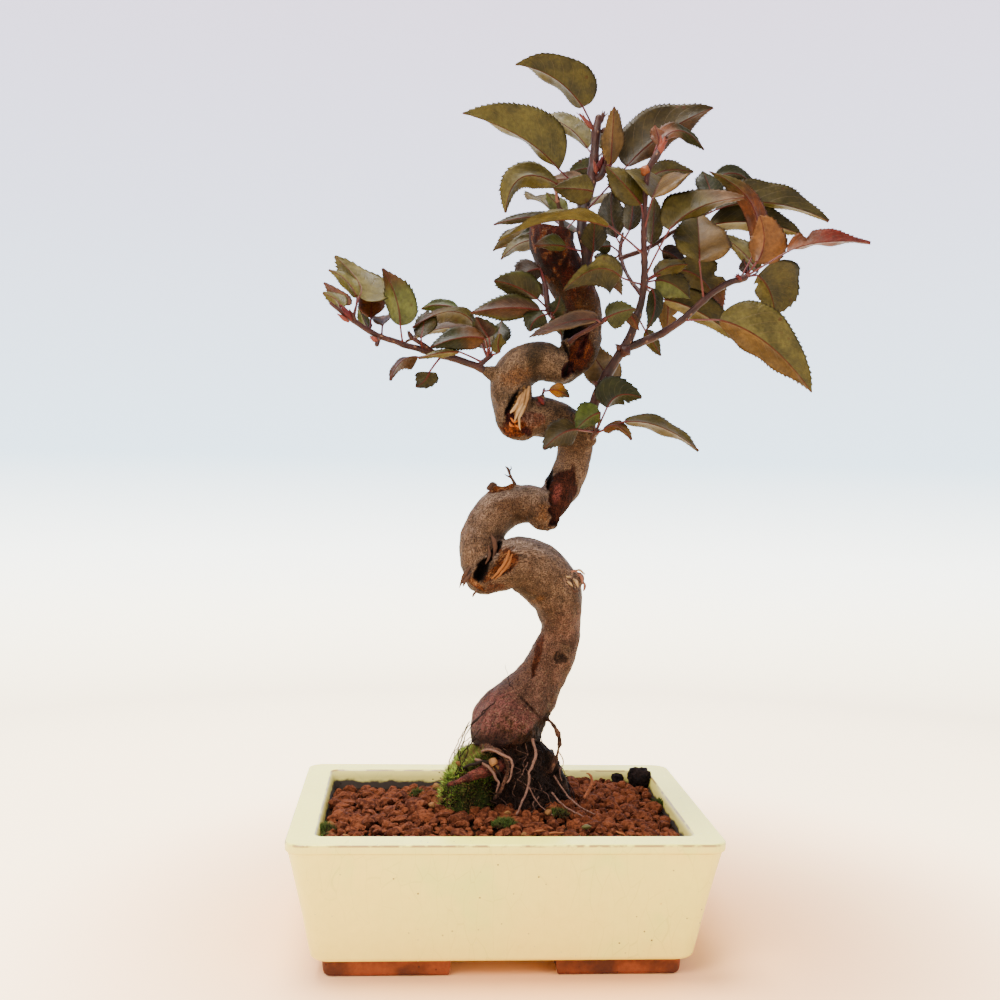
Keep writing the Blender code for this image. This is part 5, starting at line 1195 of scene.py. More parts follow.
# Torn wood that stands proud: pale splinters, flaps of bark, and the dry spur on the old cut. Each has
# its tone, then x, y, z, radius along it.
splinters = [
    ("tan", [(9.2, -8.4, 246.8, 0.5), (8.4, -9.8, 243, 0.9), (7.2, -11.2, 239, 1.0), (6.0, -12.2, 235.6, 0.8), (4.9, -12.7, 233.8, 0.5)]),
    ("pale", [(6.8, -12.0, 238, 0.6), (5.4, -12.7, 235, 0.8), (4.6, -13.0, 232.4, 0.55), (4.8, -12.9, 230, 0.45), (5.3, -12.7, 227.8, 0.2)]),
    ("tan", [(7.6, -9.2, 245.4, 0.5), (6.2, -11.2, 241.2, 1.0), (4.8, -12.6, 237.4, 1.0), (3.6, -13.2, 234.6, 0.7), (3.0, -13.4, 233.0, 0.4), (2.6, -13.4, 231.2, 0.2)]),
    ("pale", [(5.8, -12.2, 239, 0.8), (4.4, -13.0, 236, 0.9), (3.4, -13.4, 233.6, 0.5), (2.8, -13.5, 231.6, 0.2)]),
    ("tan", [(6.0, -10.0, 244, 0.5), (4.4, -12.0, 240.4, 0.9), (3.0, -13.2, 237.4, 0.8), (1.4, -13.7, 235.6, 0.4)]),
    ("pale", [(3.6, -12.8, 238.8, 0.6), (2.2, -13.5, 236.6, 0.8), (0.8, -13.9, 235.0, 0.35)]),
    ("bright", [(1.0, -12.4, 232.6, 0.3), (2.2, -13.0, 231.4, 0.7), (4.0, -12.8, 231.4, 0.3)]),
    ("bright", [(0.6, -12.0, 230.6, 0.3), (1.2, -12.6, 229.6, 0.6), (2.4, -12.4, 229.0, 0.2)]),
    ("bright", [(3.2, -12.4, 229.6, 0.3), (4.6, -12.6, 229.0, 0.5), (5.6, -12.0, 229.4, 0.2)]),
    ("torn", [(1.6, -13.8, 174.4, 0.4), (0.0, -14.6, 170, 0.8), (-2.6, -15.0, 166, 0.7), (-6.0, -15.2, 162.2, 0.3)]),
    ("torn", [(2.6, -13.4, 172.6, 0.4), (1.4, -14.6, 168.6, 0.8), (-1.6, -15.2, 165, 0.6), (-4.6, -15.2, 161.8, 0.2)]),
    ("bark", [(-15.8, -9.5, 166, 0.6), (-17.6, -10.5, 163, 1.1), (-19.0, -10.6, 160, 0.7), (-20.0, -10.2, 157.6, 0.15)]),
    ("bark", [(-15.0, -10.5, 163.6, 0.6), (-17.4, -11.6, 160.6, 1.0), (-18.2, -11.8, 158.4, 0.2)]),
    ("bark", [(-12.0, -11.0, 156.6, 0.5), (-13.6, -11.4, 154.4, 0.5), (-14.0, -11.2, 153.4, 0.2)]),
    ("bark", [(-6.2, -9.2, 180.6, 0.5), (-4.8, -9.4, 178, 1.3), (-4.6, -9.6, 174, 1.0), (-5.4, -10.6, 170.6, 0.3)]),
    ("bark", [(-7.4, -10.4, 176, 0.4), (-7.0, -11.0, 172, 0.8), (-8.6, -12.0, 168.4, 0.2)]),
    ("straw", [(12.0, -45, 59.0, 0.3), (14.4, -45.8, 59.9, 0.55), (16.6, -45, 59.6, 0.2)]),
    ("straw", [(15.6, -46, 58.2, 0.3), (20.0, -46, 58.9, 0.6), (24.6, -45, 58.8, 0.2)]),
    ("straw", [(46.6, -45, 59.4, 0.3), (48.8, -45.8, 58.6, 0.5), (50.4, -46, 57.8, 0.2)]),
    ("dry", [(4.6, 2.0, 203.6, 0.9), (2.8, 1.6, 206.6, 0.6), (1.6, 1.4, 209.6, 0.7), (0.2, 1.2, 211.2, 0.3)]),
    ("dry", [(2.6, 1.6, 206.4, 0.5), (1.0, 1.4, 207.2, 0.35), (-0.2, 1.2, 208.0, 0.15)]),
    ("dry", [(2.0, 1.4, 209.0, 0.4), (2.8, 1.4, 210.4, 0.3), (2.6, 1.4, 211.6, 0.12)]),
    ("dry", [(-7.2, 0.6, 201.4, 1.0), (-5.6, 0.4, 203.2, 1.1), (-3.8, 0.4, 203.0, 0.5)]),
    ("dry", [(24.4, 5, 314, 1.2), (23.4, 5.4, 322, 1.1), (22.0, 6, 330, 0.95), (21.4, 6, 333.6, 1.0)]),
    ("pink", [(21.6, 6, 331.6, 0.9), (20.8, 5.6, 335.4, 0.7), (19.6, 5.4, 337.4, 0.3)]),
    ("pink", [(35.6, -4.0, 160.8, 0.4), (36.6, -4.6, 158.6, 0.7), (36.0, -5.0, 156.4, 0.3)]),
    ("pale", [(32.6, -5.6, 165.4, 0.4), (34.6, -4.8, 165.4, 0.6), (36.4, -3.6, 163.6, 0.3)]),
    ("bark", [(30.0, -8.0, 157.6, 0.4), (31.6, -7.8, 156.4, 0.6), (33.4, -6.6, 156.2, 0.3)]),
    ("pale", [(31.4, -6.6, 161.6, 0.4), (32.6, -7.4, 160.4, 0.8), (33.2, -7.2, 158.4, 0.3)]),
    ("pink", [(33.6, -5.2, 164.0, 0.5), (35.0, -5.8, 162.4, 0.9), (35.4, -5.6, 160.0, 0.4)]),
    ("pale", [(28.4, -8.0, 160.6, 0.4), (29.6, -8.2, 159.8, 0.6), (30.6, -7.8, 158.6, 0.2)]),
    ("pink", [(30.4, -6.8, 165.0, 0.4), (31.8, -6.8, 165.4, 0.6), (33.0, -6.2, 164.6, 0.3)]),
    ("pale", [(27.6, -8.2, 163.0, 0.3), (28.6, -8.4, 162.6, 0.5), (29.8, -8.0, 163.0, 0.2)]),
]
splinterTones = {"pale": (230, 188, 138), "bright": (224, 126, 50), "torn": (190, 118, 62), "bark": (112, 78, 62),
                 "tan": (206, 156, 104), "straw": (206, 124, 76),
                 "dry": (92, 62, 50), "pink": (190, 128, 110)}


def makeSplinters():
    shells = []
    for number, (tone, rows) in enumerate(splinters):
        path = eased(np.array(rows, float), 0.5)
        path[:, :3] += 0.22 * np.stack([cloudNoise(path[:, :3], 1.3, 200 + number + axis) for axis in range(3)], -1)
        shell = sweep(path, 8, 0.3, number)
        # flattened towards the wood, with its colour wandering along the fibres
        middle = shell["points"].mean(axis=0)
        shell["points"][:, 1] = middle[1] + (shell["points"][:, 1] - middle[1]) * 0.9
        fibre = layeredNoise(shell["marks"]["runMap"] * (1, 1, 0.25), 0.5, number)
        shell["marks"]["paint"] = linear(splinterTones[tone]) * shownShare["bark"] * (1 + 0.35 * fibre)[:, None]
        shells.append(shell)
    made, tree, shader = newMaterial("tornWood", 0.8, 0.12)
    tree.links.new(attribute(tree, "paint")["Color"], shader.inputs["Base Color"])
    drawn = useGroup(tree, "streaks", {"Vector": attribute(tree, "runMap")["Vector"], "Across": 5.0, "Along": 0.6})["Value"]
    bumped(tree, shader, drawn, 0.0003, 0.8)
    finished(putMesh("splinters", shells, [made]))


rootletLook = {"hairs": 330, "radius": (0.12, 0.4), "pale": 0.12, "long": [
    (0, [(-14, -4, 96, 0.3), (-17, -6, 90, 0.26), (-19, -7, 82, 0.24), (-19, -9, 74, 0.22), (-22, -11, 66, 0.2)]),
    (0, [(-7, -9, 103, 0.3), (-13, -9, 97, 0.26), (-18.5, -9, 90, 0.24), (-21, -8, 81, 0.2)]),
    (0, [(-3, -11, 107, 0.26), (-9, -11, 101, 0.26), (-14.5, -11, 94, 0.24), (-18, -12, 86, 0.2), (-18, -13, 78, 0.16)]),
    (0, [(-11, -9, 90, 0.3), (-17, -11, 84, 0.26), (-20, -13, 76, 0.24), (-22, -15, 66, 0.2)]),
    (0, [(-9, -12, 95, 0.24), (-14, -13, 89, 0.22), (-16, -14, 82, 0.2), (-20, -15, 74, 0.2), (-19, -16, 67, 0.14)]),
    (0, [(-13, -10, 91, 0.22), (-21, -10, 85, 0.2), (-23, -10, 77, 0.18), (-21, -12, 70, 0.14)]),
    (0, [(6, -7, 112, 0.2), (3, -8, 115, 0.16), (2, -8, 119, 0.12), (1.4, -8, 123, 0.08)]),
    (0, [(3.2, -8, 115, 0.14), (5, -8, 116.5, 0.1), (6.5, -8, 117.5, 0.08)]),
    (1, [(14, -13, 91, 0.75), (15, -17, 84, 0.65), (12, -20, 78, 0.6), (11.5, -21, 72, 0.55), (8.5, -24, 65, 0.5), (6, -26, 60.5, 0.3)]),
    (1, [(11.6, -21, 72, 0.35), (14, -22, 68, 0.3), (17, -25, 64, 0.25), (22, -28, 61, 0.2)]),
    (1, [(24, -10, 74, 0.45), (29, -15, 67, 0.4), (35, -20, 62.5, 0.35), (41, -24, 60.5, 0.25)]),
    (1, [(22, -14, 68, 0.4), (27, -20, 63.5, 0.35), (33, -25, 61, 0.3), (36, -29, 60.2, 0.2)]),
    (1, [(-9, -17, 86, 0.55), (-6, -20, 88, 0.6), (-1, -22, 86.5, 0.6), (3.5, -23, 84, 0.55), (4, -24, 79, 0.5), (2, -24, 74, 0.4)]),
    (1, [(-12, -18, 83, 0.5), (-8, -21, 82, 0.7), (-4, -23, 78, 0.7), (-2, -24, 74, 0.5), (-3, -24, 70, 0.3)]),
    (1, [(26.5, -10, 84, 0.3), (28, -12, 80, 0.25), (26, -14, 77, 0.2), (27, -16, 73, 0.15)]),
    (0, [(-17, -20, 79, 0.6), (-11, -20.5, 82.5, 0.8), (-6, -21, 82.5, 0.8), (-2.6, -22.5, 79, 0.6), (-1, -23, 76, 0.3)]),
    (2, [(38.5, -8, 63, 0.9), (40, -8, 66, 0.8), (41.5, -8, 70, 0.75), (40.6, -8, 73.6, 0.6), (38.8, -8, 74.4, 0.2)]),
]}


def makeRootlets():
    # hair roots: each hangs from a spot round the root mass, its path wandering by cloud noise
    draw = np.random.default_rng(8)
    shells = []
    t = np.linspace(0, 1, 14)
    for k in range(rootletLook["hairs"]):
        turn = draw.uniform(-math.pi * 1.05, math.pi * 0.35)
        z = draw.uniform(66, 92) - draw.uniform(5, 16) * t
        reach = np.interp(z, [46, 60, 67, 75, 82, 90], [18.5, 21, 19.2, 16.4, 14.2, 12.4]) + 0.6
        reach = reach + draw.uniform(0, 2.4) * np.sin(np.pi * t) ** 2
        middle = np.column_stack([np.interp(z, [60, 69, 80, 90], [12, 11, 7, 3]), np.interp(z, [60, 90], [2, 1])])
        place3 = np.column_stack([t * 3.5, t * 0 + k, t * 0])
        swing = turn + 0.22 * cloudNoise(place3, 1, 9) + 0.35 * t * draw.uniform(-1, 1)
        reach = reach + 0.9 * cloudNoise(place3, 1, 10)
        path = np.column_stack([middle[:, 0] + reach * np.cos(swing), middle[:, 1] + reach * np.sin(swing), z])
        radius = draw.uniform(*rootletLook["radius"]) * (1 - 0.6 * t)
        shell = sweep(np.column_stack([path, radius]), 4, domes=False)
        tone = draw.uniform(0.5, 0.74) if draw.uniform() < rootletLook["pale"] else draw.uniform(0, 0.4)
        shell["marks"]["tone"] = np.full(len(shell["points"]), tone)
        shells.append(shell)
    for k, (kind, run) in enumerate(rootletLook["long"]):
        path = eased(np.array(run, float), 0.8)
        path[:, :3] += (0.7, 0.35, 0.2)[kind] * np.stack([cloudNoise(path[:, :3] + 9 * axis, 2.0, 70 + k) for axis in range(3)], -1)
        path[:, 3] *= 1 + 0.2 * cloudNoise(path[:, :3], 0.9, 60 + k)
        shell = sweep(path, 7, 0.25, k, domes=False)
        shell["marks"]["tone"] = np.full(len(shell["points"]), (0.1, 0.72, 1.0)[kind])
        shells.append(shell)
    made, tree, shader = newMaterial("hairRoots", 0.8, 0.1)
    tone = attribute(tree, "tone")["Fac"]
    colour = blended(tree, ranged(tree, tone, 0.3, 0.75), shown("bark", (46, 31, 25)), shown("bark", (164, 122, 108)))
    colour = blended(tree, ranged(tree, tone, 0.85, 1.0), colour, shown("bark", (200, 120, 84)))
    rings = addNode(tree, "TexNoise", {"Vector": attribute(tree, "runMap")["Vector"], "Scale": 1.6, "Detail": 2.0}).outputs[0]
    shade = ranged(tree, rings, 0.3, 0.7, 0.6, 1.3)
    grey = addNode(tree, "CombineColor", {0: shade, 1: shade, 2: shade}).outputs[0]
    tree.links.new(blended(tree, 1.0, colour, grey, "MULTIPLY"), shader.inputs["Base Color"])
    finished(putMesh("hair_roots", shells, [made]))


# The leafy shoots: woody runs, then leaves as foot of the stalk, foot of the blade, middle of the
# midrib, tip, and the two edges abreast of the middle.

shootRuns = {
    "shoot_left_branch": [
        [(-9.5, -4.5, 253.5, 2.7), (-21, -7, 257.5, 2.5), (-36, -10, 261, 2.2), (-48, -12, 264, 2),
         (-60, -14, 268, 1.8), (-70, -16, 274, 1.7), (-78, -17, 280, 1.0)],
        [(-32, -9, 260, 1.7), (-42, -14, 266, 1.4)],
        [(-14, -6, 255, 1.8), (-8, -4, 260.5, 1.6)],
        [(-57, -13, 267, 1.6), (-58, -16, 263, 1.5)],
    ],
    "shoot_right_branch": [
        [(37, -3, 232, 3), (40, -4, 244, 2.8), (46, -5, 256, 2.7), (52, -6, 266, 2.6),
         (56, -7, 276, 2.2), (59, -9, 290, 2), (59, -11, 301, 1.8), (58, -12.5, 314, 1.6),
         (58, -13, 330, 1.5), (59, -14, 343, 1.5), (62, -14, 348.5, 2.1), (66, -14, 355, 1.1)],
        [(52, -6, 265, 2.4), (68, -7, 272, 2.1), (78, -8, 279, 1.9), (87, -8, 288, 1.8),
         (96, -8, 294.5, 1.8), (105, -8, 298, 1.6)],
        [(58, -9, 289, 1.3), (53, 0, 299, 1.0), (51, 7, 309, 1.1), (52, 9, 319, 0.7)],
        [(51, 6, 307, 1.5), (63, 8, 312, 1.3), (75, 10, 320, 1.2), (85, 12, 326, 1.1),
         (91, 13, 331, 1)],
    ],
    "shoot_crown_leader": [
        [(34, -6, 299.5, 2.6), (33.5, -6.5, 308, 2.5), (31.5, -4, 318, 2.4), (33, 2, 329, 2.3),
         (36, 5, 338, 2.2), (38, 8, 351, 2.1), (39, 10, 363, 2), (40, 11, 371, 1.8)],
        [(37, 6, 341, 1.2), (41, 5, 344, 1.7), (42.5, 5, 350, 0.8)],
    ],
    "shoot_left_crown": [
        [(20.5, -5, 277.5, 2), (17, -9, 281, 1.8), (15.5, -8, 290, 1.4), (13.5, -5, 298, 1.1)],
    ],
    "shoot_cross_twig": [
        [(26.5, -5.5, 267, 1.9), (32, -14, 271, 1.6), (39, -22, 275, 1.5)],
    ],
    "shoot_lower_spur": [
        [(38.5, -4.5, 224.5, 1.9), (39, -12, 227.5, 1.7)],
    ],
    "shoot_yellow_leaf": [
        [(15.5, -5, 243, 1.1), (16, -8, 246, 0.9)],
    ],
    "shoot_back_spur": [
        [(25.5, 17.5, 304, 2), (27, 26, 309, 1.8), (28, 33, 317, 1.4), (28, 38, 325, 1)],
    ],
}
shootFeet = {
    "shoot_left_branch": (0, -2, 250),
    "shoot_right_branch": (33, 5, 224),
    "shoot_crown_leader": (28, 4, 292),
    "shoot_left_crown": (30, 6, 275),
    "shoot_cross_twig": (31, 4, 264),
    "shoot_lower_spur": (33, 6, 223),
    "shoot_yellow_leaf": (15, 0, 235),
    "shoot_back_spur": (23, 6, 303),
}
leafRows = {
    "shoot_left_branch": [
        ((-72, -16, 275), (-74, -16, 278), (-76, -13, 282), (-82, -11, 285), (-74, -10, 285), (-78, -10, 280)),
        ((-72, -16, 276), (-73, -13, 280), (-76, -9, 285), (-82, -6, 290), (-71, -7, 285), (-79, -6, 284)),
        ((-68, -15, 275), (-66, -16, 283), (-67, -6, 291), (-78, 2, 303), (-54, -3, 291), (-74, -3, 290)),
        ((-67, -15, 275), (-67, -13, 283), (-72, -8, 291), (-80, -4, 296), (-70, -4, 294), (-74, -5, 289)),
        ((-61, -14, 269), (-61, -8, 275), (-61, -3, 282), (-61, 2, 291), (-67, -1, 284), (-55, 0, 285)),
        ((-47, -12, 263), (-48, -18, 271), (-50, -17, 283), (-56, -15, 296), (-42, -14, 285), (-55, -11, 282)),
        ((-60, -13, 268), (-62, -6, 270), (-64, -3, 274), (-67, 0, 281), (-67, 0, 275), (-62, 1, 276)),
        ((-56, -13, 267), (-56, -8, 272), (-56, 0, 275), (-56, 8, 278), (-61, -1, 276), (-51, -1, 278)),
        ((-38, -11, 262), (-39, -15, 266), (-38, -11, 272), (-37, -7, 279), (-42, -9, 273), (-32, -9, 275)),
        ((-9, -4, 259), (-15, -4, 273), (-26, -8, 279), (-43, -12, 271), (-21, -2, 282), (-29, -1, 275)),
        ((-9, -4, 260), (-22, 9, 282), (-31, 11, 284), (-39, 13, 282), (-31, 12, 287), (-32, 13, 281)),
        ((-9, -4, 259), (-15, 4, 271), (-28, 3, 273), (-46, 1, 266), (-28, 7, 277), (-28, 8, 271)),
        ((-9, -5, 260), (-11, -11, 267), (-22, -14, 267), (-35, -18, 262), (-24, -11, 272), (-21, -11, 262)),
        ((-32, -10, 261), (-40, -14, 258), (-47, -18, 256), (-52, -22, 247), (-50, -13, 256), (-45, -12, 253)),
        ((-11, -6, 257), (-22, -12, 261), (-31, -16, 260), (-40, -18, 257), (-30, -14, 262), (-31, -14, 258)),
        ((-30, -9, 258), (-35, -12, 252), (-37, -13, 248), (-41, -14, 245), (-41, -11, 251), (-32, -11, 247)),
        ((-6, -3, 260), (-6, 3, 266), (-4, 8, 271), (-2, 14, 278), (2, 9, 272), (-8, 11, 273)),
        ((-9, -4, 260), (-9, 1, 264), (-13, 4, 269), (-18, 7, 275), (-8, 6, 272), (-17, 6, 268)),
        ((-8, -5, 260), (-9, -7, 268), (-12, -8, 272), (-15, -9, 277), (-6, -6, 274), (-16, -6, 271)),
        ((-6, -4, 260), (-4, -8, 262), (-5, -8, 265), (-4, -7, 270), (-1, -6, 266), (-8, -6, 265)),
    ],
    "shoot_right_branch": [
        ((57, -12, 306), (41, -22, 316), (17, -27, 317), (-7, -29, 307), (19, -18, 323), (15, -36, 319)),
        ((58, -9, 293), (47, -18, 295), (35, -24, 297), (21, -27, 287), (40, -20, 304), (41, -19, 289)),
        ((61, -13, 343), (63, -12, 354), (74, -7, 362), (86, -3, 355), (72, -5, 366), (77, -2, 359)),
        ((61, -14, 344), (64, -13, 353), (63, -12, 358), (62, -10, 363), (60, -10, 359), (68, -8, 360)),
        ((58, -12, 316), (60, -19, 329), (64, -8, 336), (69, 5, 344), (51, -10, 344), (79, -10, 343)),
        ((57, -12, 319), (56, -15, 327), (49, -12, 336), (41, -8, 345), (55, -9, 341), (44, -9, 333)),
        ((58, -12, 323), (64, 5, 344), (73, 12, 349), (86, 18, 350), (73, 13, 354), (75, 16, 344)),
        ((60, -10, 303), (63, -3, 312), (65, 3, 323), (66, 8, 336), (70, 5, 325), (61, 5, 324)),
        ((62, -10, 296), (68, -18, 316), (82, -15, 327), (103, -10, 333), (75, -10, 335), (86, -7, 326)),
        ((62, -8, 292), (71, 5, 289), (89, 9, 284), (110, 13, 271), (95, 11, 291), (89, 15, 280)),
        ((63, -8, 295), (75, 1, 302), (90, 8, 298), (100, 14, 282), (99, 11, 304), (84, 11, 291)),
        ((61, -9, 295), (64, -7, 298), (71, -6, 302), (79, -8, 303), (71, -3, 306), (74, -2, 299)),
        ((62, -9, 294), (65, -4, 296), (73, -2, 295), (82, 0, 289), (78, 0, 300), (68, -4, 288)),
        ((62, -9, 293), (62, -13, 291), (63, -16, 282), (59, -18, 272), (67, -14, 284), (60, -12, 282)),
        ((63, -9, 293), (74, 11, 290), (75, 14, 283), (75, 17, 275), (80, 15, 284), (71, 16, 282)),
        ((60, -7, 279), (62, 0, 274), (66, 2, 269), (70, 3, 263), (69, 4, 271), (64, 4, 267)),
        ((45, -4, 253), (48, 6, 249), (44, 15, 259), (36, 22, 270), (51, 16, 263), (37, 19, 255)),
        ((47, 6, 310), (47, 9, 313), (44, 11, 313), (39, 13, 313), (44, 13, 316), (44, 13, 310)),
        ((47, 6, 309), (48, 10, 307), (44, 13, 308), (40, 15, 309), (44, 15, 311), (44, 15, 305)),
        ((50, 8, 313), (50, 12, 317), (48, 17, 328), (49, 24, 341), (42, 20, 330), (55, 20, 331)),
        ((51, 8, 314), (55, 9, 320), (57, 13, 330), (57, 18, 341), (53, 15, 330), (62, 16, 332)),
        ((84, 12, 326), (96, 14, 332), (122, 17, 337), (152, 20, 330), (125, 21, 348), (122, 25, 336)),
        ((84, 12, 325), (93, 15, 325), (116, 19, 328), (140, 24, 324), (121, 23, 338), (117, 26, 325)),
        ((83, 12, 326), (98, 28, 349), (110, 31, 353), (120, 34, 346), (112, 33, 357), (111, 34, 349)),
        ((83, 12, 326), (96, 20, 339), (95, 24, 345), (93, 28, 353), (89, 26, 347), (102, 26, 347)),
        ((71, 8, 311), (71, 12, 312), (78, 15, 310), (85, 18, 305), (80, 16, 314), (76, 16, 307)),
        ((86, -8, 288), (82, -17, 303), (84, -6, 314), (86, 8, 330), (72, -8, 317), (98, -8, 315)),
        ((103, -9, 296), (109, -4, 308), (110, 2, 332), (90, 3, 347), (104, 6, 334), (117, 5, 333)),
        ((105, -9, 297), (109, -10, 304), (113, -8, 314), (111, -7, 326), (107, -7, 315), (124, -5, 318)),
        ((106, -8, 299), (113, 0, 302), (107, 6, 312), (98, 12, 320), (111, 9, 317), (106, 9, 310)),
        ((104, -9, 298), (106, -6, 300), (106, -5, 303), (105, -4, 307), (108, -4, 303), (103, -4, 303)),
        ((104, -9, 296), (122, -13, 309), (138, -13, 314), (162, -10, 315), (140, -8, 321), (142, -4, 314)),
        ((105, -8, 297), (112, -3, 300), (119, 2, 294), (123, 5, 283), (135, 5, 300), (114, 4, 291)),
        ((77, -8, 278), (92, -15, 278), (113, -18, 268), (134, -17, 247), (122, -14, 280), (110, -11, 262)),
    ],
    "shoot_crown_leader": [
        ((38, 8, 364), (32, 5, 374), (18, 0, 385), (0, -7, 388), (28, 2, 395), (17, 9, 385)),
        ((36, 1, 335), (21, -2, 344), (3, -9, 356), (-23, -14, 364), (10, -7, 370), (3, 1, 357)),
        ((37, 8, 353), (36, 15, 358), (27, 20, 369), (15, 26, 375), (31, 23, 375), (26, 25, 368)),
        ((37, 4, 341), (22, 6, 339), (5, 7, 342), (-2, 8, 326), (-1, 9, 346), (9, 13, 339)),
        ((37, 5, 345), (35, 15, 344), (27, 20, 345), (18, 27, 345), (27, 22, 349), (26, 23, 341)),
        ((35, 0, 332), (36, -6, 334), (28, -10, 334), (17, -14, 333), (30, -7, 341), (28, -7, 328)),
        ((37, 6, 347), (41, 14, 349), (35, 20, 350), (28, 27, 349), (34, 22, 355), (37, 22, 344)),
        ((37, -1, 325), (53, 9, 349), (70, 10, 365), (93, 11, 378), (61, 13, 376), (77, 16, 363)),
        ((39, 7, 352), (45, 4, 348), (45, 1, 360), (45, -2, 373), (41, 5, 361), (51, 5, 363)),
        ((36, -7, 300), (36, -10, 306), (36, -11, 313), (36, -12, 320), (31, -9, 315), (42, -9, 316)),
        ((36, -2, 326), (23, 10, 325), (8, 11, 325), (-7, 11, 321), (9, 13, 328), (9, 15, 323)),
        ((34, -6, 307), (24, -13, 308), (17, -17, 308), (9, -19, 307), (16, -15, 313), (17, -14, 306)),
        ((36, 0, 328), (26, 8, 327), (22, 10, 331), (17, 13, 337), (25, 12, 334), (19, 12, 329)),
        ((39, 7, 351), (44, 17, 358), (50, 30, 367), (59, 42, 372), (44, 30, 371), (56, 30, 364)),
    ],
    "shoot_left_crown": [
        ((15, -6, 289), (13, -7, 299), (7, -10, 297), (3, -12, 293), (3, -7, 302), (10, -7, 294)),
        ((16, -9, 280), (12, -11, 285), (2, -14, 290), (-8, -15, 292), (6, -12, 297), (-2, -10, 287)),
        ((16, -6, 286), (15, -1, 288), (13, 2, 292), (11, 4, 296), (10, 3, 293), (16, 3, 293)),
        ((17, -10, 279), (13, -13, 280), (-2, -19, 280), (-18, -22, 277), (-2, -16, 286), (-4, -15, 275)),
        ((17, -9, 277), (15, -15, 278), (10, -17, 275), (8, -18, 270), (6, -15, 278), (15, -15, 272)),
        ((18, -9, 278), (18, -13, 279), (20, -15, 281), (21, -17, 286), (16, -13, 283), (24, -13, 279)),
        ((18, -9, 278), (18, -15, 277), (20, -16, 274), (22, -17, 269), (17, -15, 273), (24, -15, 275)),
    ],
    "shoot_cross_twig": [
        ((38, -21, 275), (36, -27, 275), (23, -27, 273.4), (7, -25, 267), (25, -24, 278.6), (21.5, -29, 270)),
        ((39, -22, 275), (40, -25, 276), (46, -23, 279), (54, -21, 281), (45, -21, 284), (47, -21, 273)),
        ((39, -22, 275), (50, -19, 279), (53, -18, 277), (56, -17, 272), (55, -17, 278), (51, -17, 275)),
    ],
    "shoot_lower_spur": [
        ((38, -11, 228), (43, -15, 238), (49, -13, 244), (59, -12, 243), (45, -11, 252), (52, -9, 240)),
        ((38, -11, 226), (50, -19, 232), (66, -22, 230), (82, -26, 220), (69, -15, 234), (68, -14, 227)),
        ((39, -11, 228), (41, -17, 228), (47, -20, 230), (53, -23, 224), (50, -17, 232), (46, -17, 228)),
        ((38, -12, 228), (40, -16, 236), (34, -18, 233), (29, -20, 228), (31, -15, 239), (37, -15, 230)),
        ((36, -12, 227), (30, -20, 228), (22, -24, 226), (14, -27, 219), (18, -22, 231), (25, -21, 221)),
    ],
    "shoot_yellow_leaf": [
        ((16, -7.5, 245), (17, -15, 245), (21, -17, 245), (26, -18, 242), (23, -15, 248), (21, -15, 242)),
    ],
    "shoot_back_spur": [
        ((27, 26, 309), (19, 23, 316), (7, 19, 315), (-3, 15, 306), (5, 21, 318), (8, 25, 312)),
        ((27, 27, 310), (19, 27, 321), (13, 27, 321), (6, 26, 319), (13, 28, 325), (12, 28, 316)),
        ((28, 33, 317), (20, 44, 322), (10, 53, 323), (-4, 62, 318), (3, 46, 326), (18, 60, 325)),
        ((28, 34, 318), (34, 46, 325), (38, 58, 329), (42, 72, 328), (28, 60, 334), (48, 55, 332)),
        ((28, 37, 324), (24, 45, 334), (19, 53, 341), (13, 62, 344), (11, 50, 345), (28, 57, 345)),
        ((27, 27, 310), (38, 38, 306), (48, 45, 304), (60, 53, 297), (45, 53, 309), (54, 37, 307)),
        ((28, 37, 323), (38, 44, 335), (47, 49, 341), (58, 54, 342), (43, 56, 345), (52, 41, 345)),
    ],
}

# how thick each shoot's twigs are beside the solids' runs
twigShare = {"shoot_left_branch": 0.66, "shoot_right_branch": 0.82, "shoot_crown_leader": 1.0, "shoot_cross_twig": 0.62,
             "shoot_left_crown": 0.8, "shoot_lower_spur": 0.7, "shoot_yellow_leaf": 0.5, "shoot_back_spur": 0.9}
leafShades = {
    "khaki": (124, 118, 72), "yellowKhaki": (146, 142, 94), "paleKhaki": (164, 162, 122), "darkKhaki": (93, 88, 52),
    "darkOlive": (88, 78, 38), "mauve": (166, 138, 140), "purple": (112, 84, 86), "darkPurple": (82, 64, 66),
    "green": (98, 106, 54), "brightGreen": (104, 128, 62), "darkGreen": (66, 74, 44), "paleGreen": (150, 166, 116),
    "yellowGreen": (152, 152, 82), "brown": (122, 84, 56), "darkBrown": (84, 58, 42), "orangeBrown": (158, 92, 54),
    "red": (142, 50, 38), "peach": (192, 136, 98), "tan": (166, 138, 104), "pink": (176, 120, 116),
    "yellowOrange": (226, 158, 40),
}
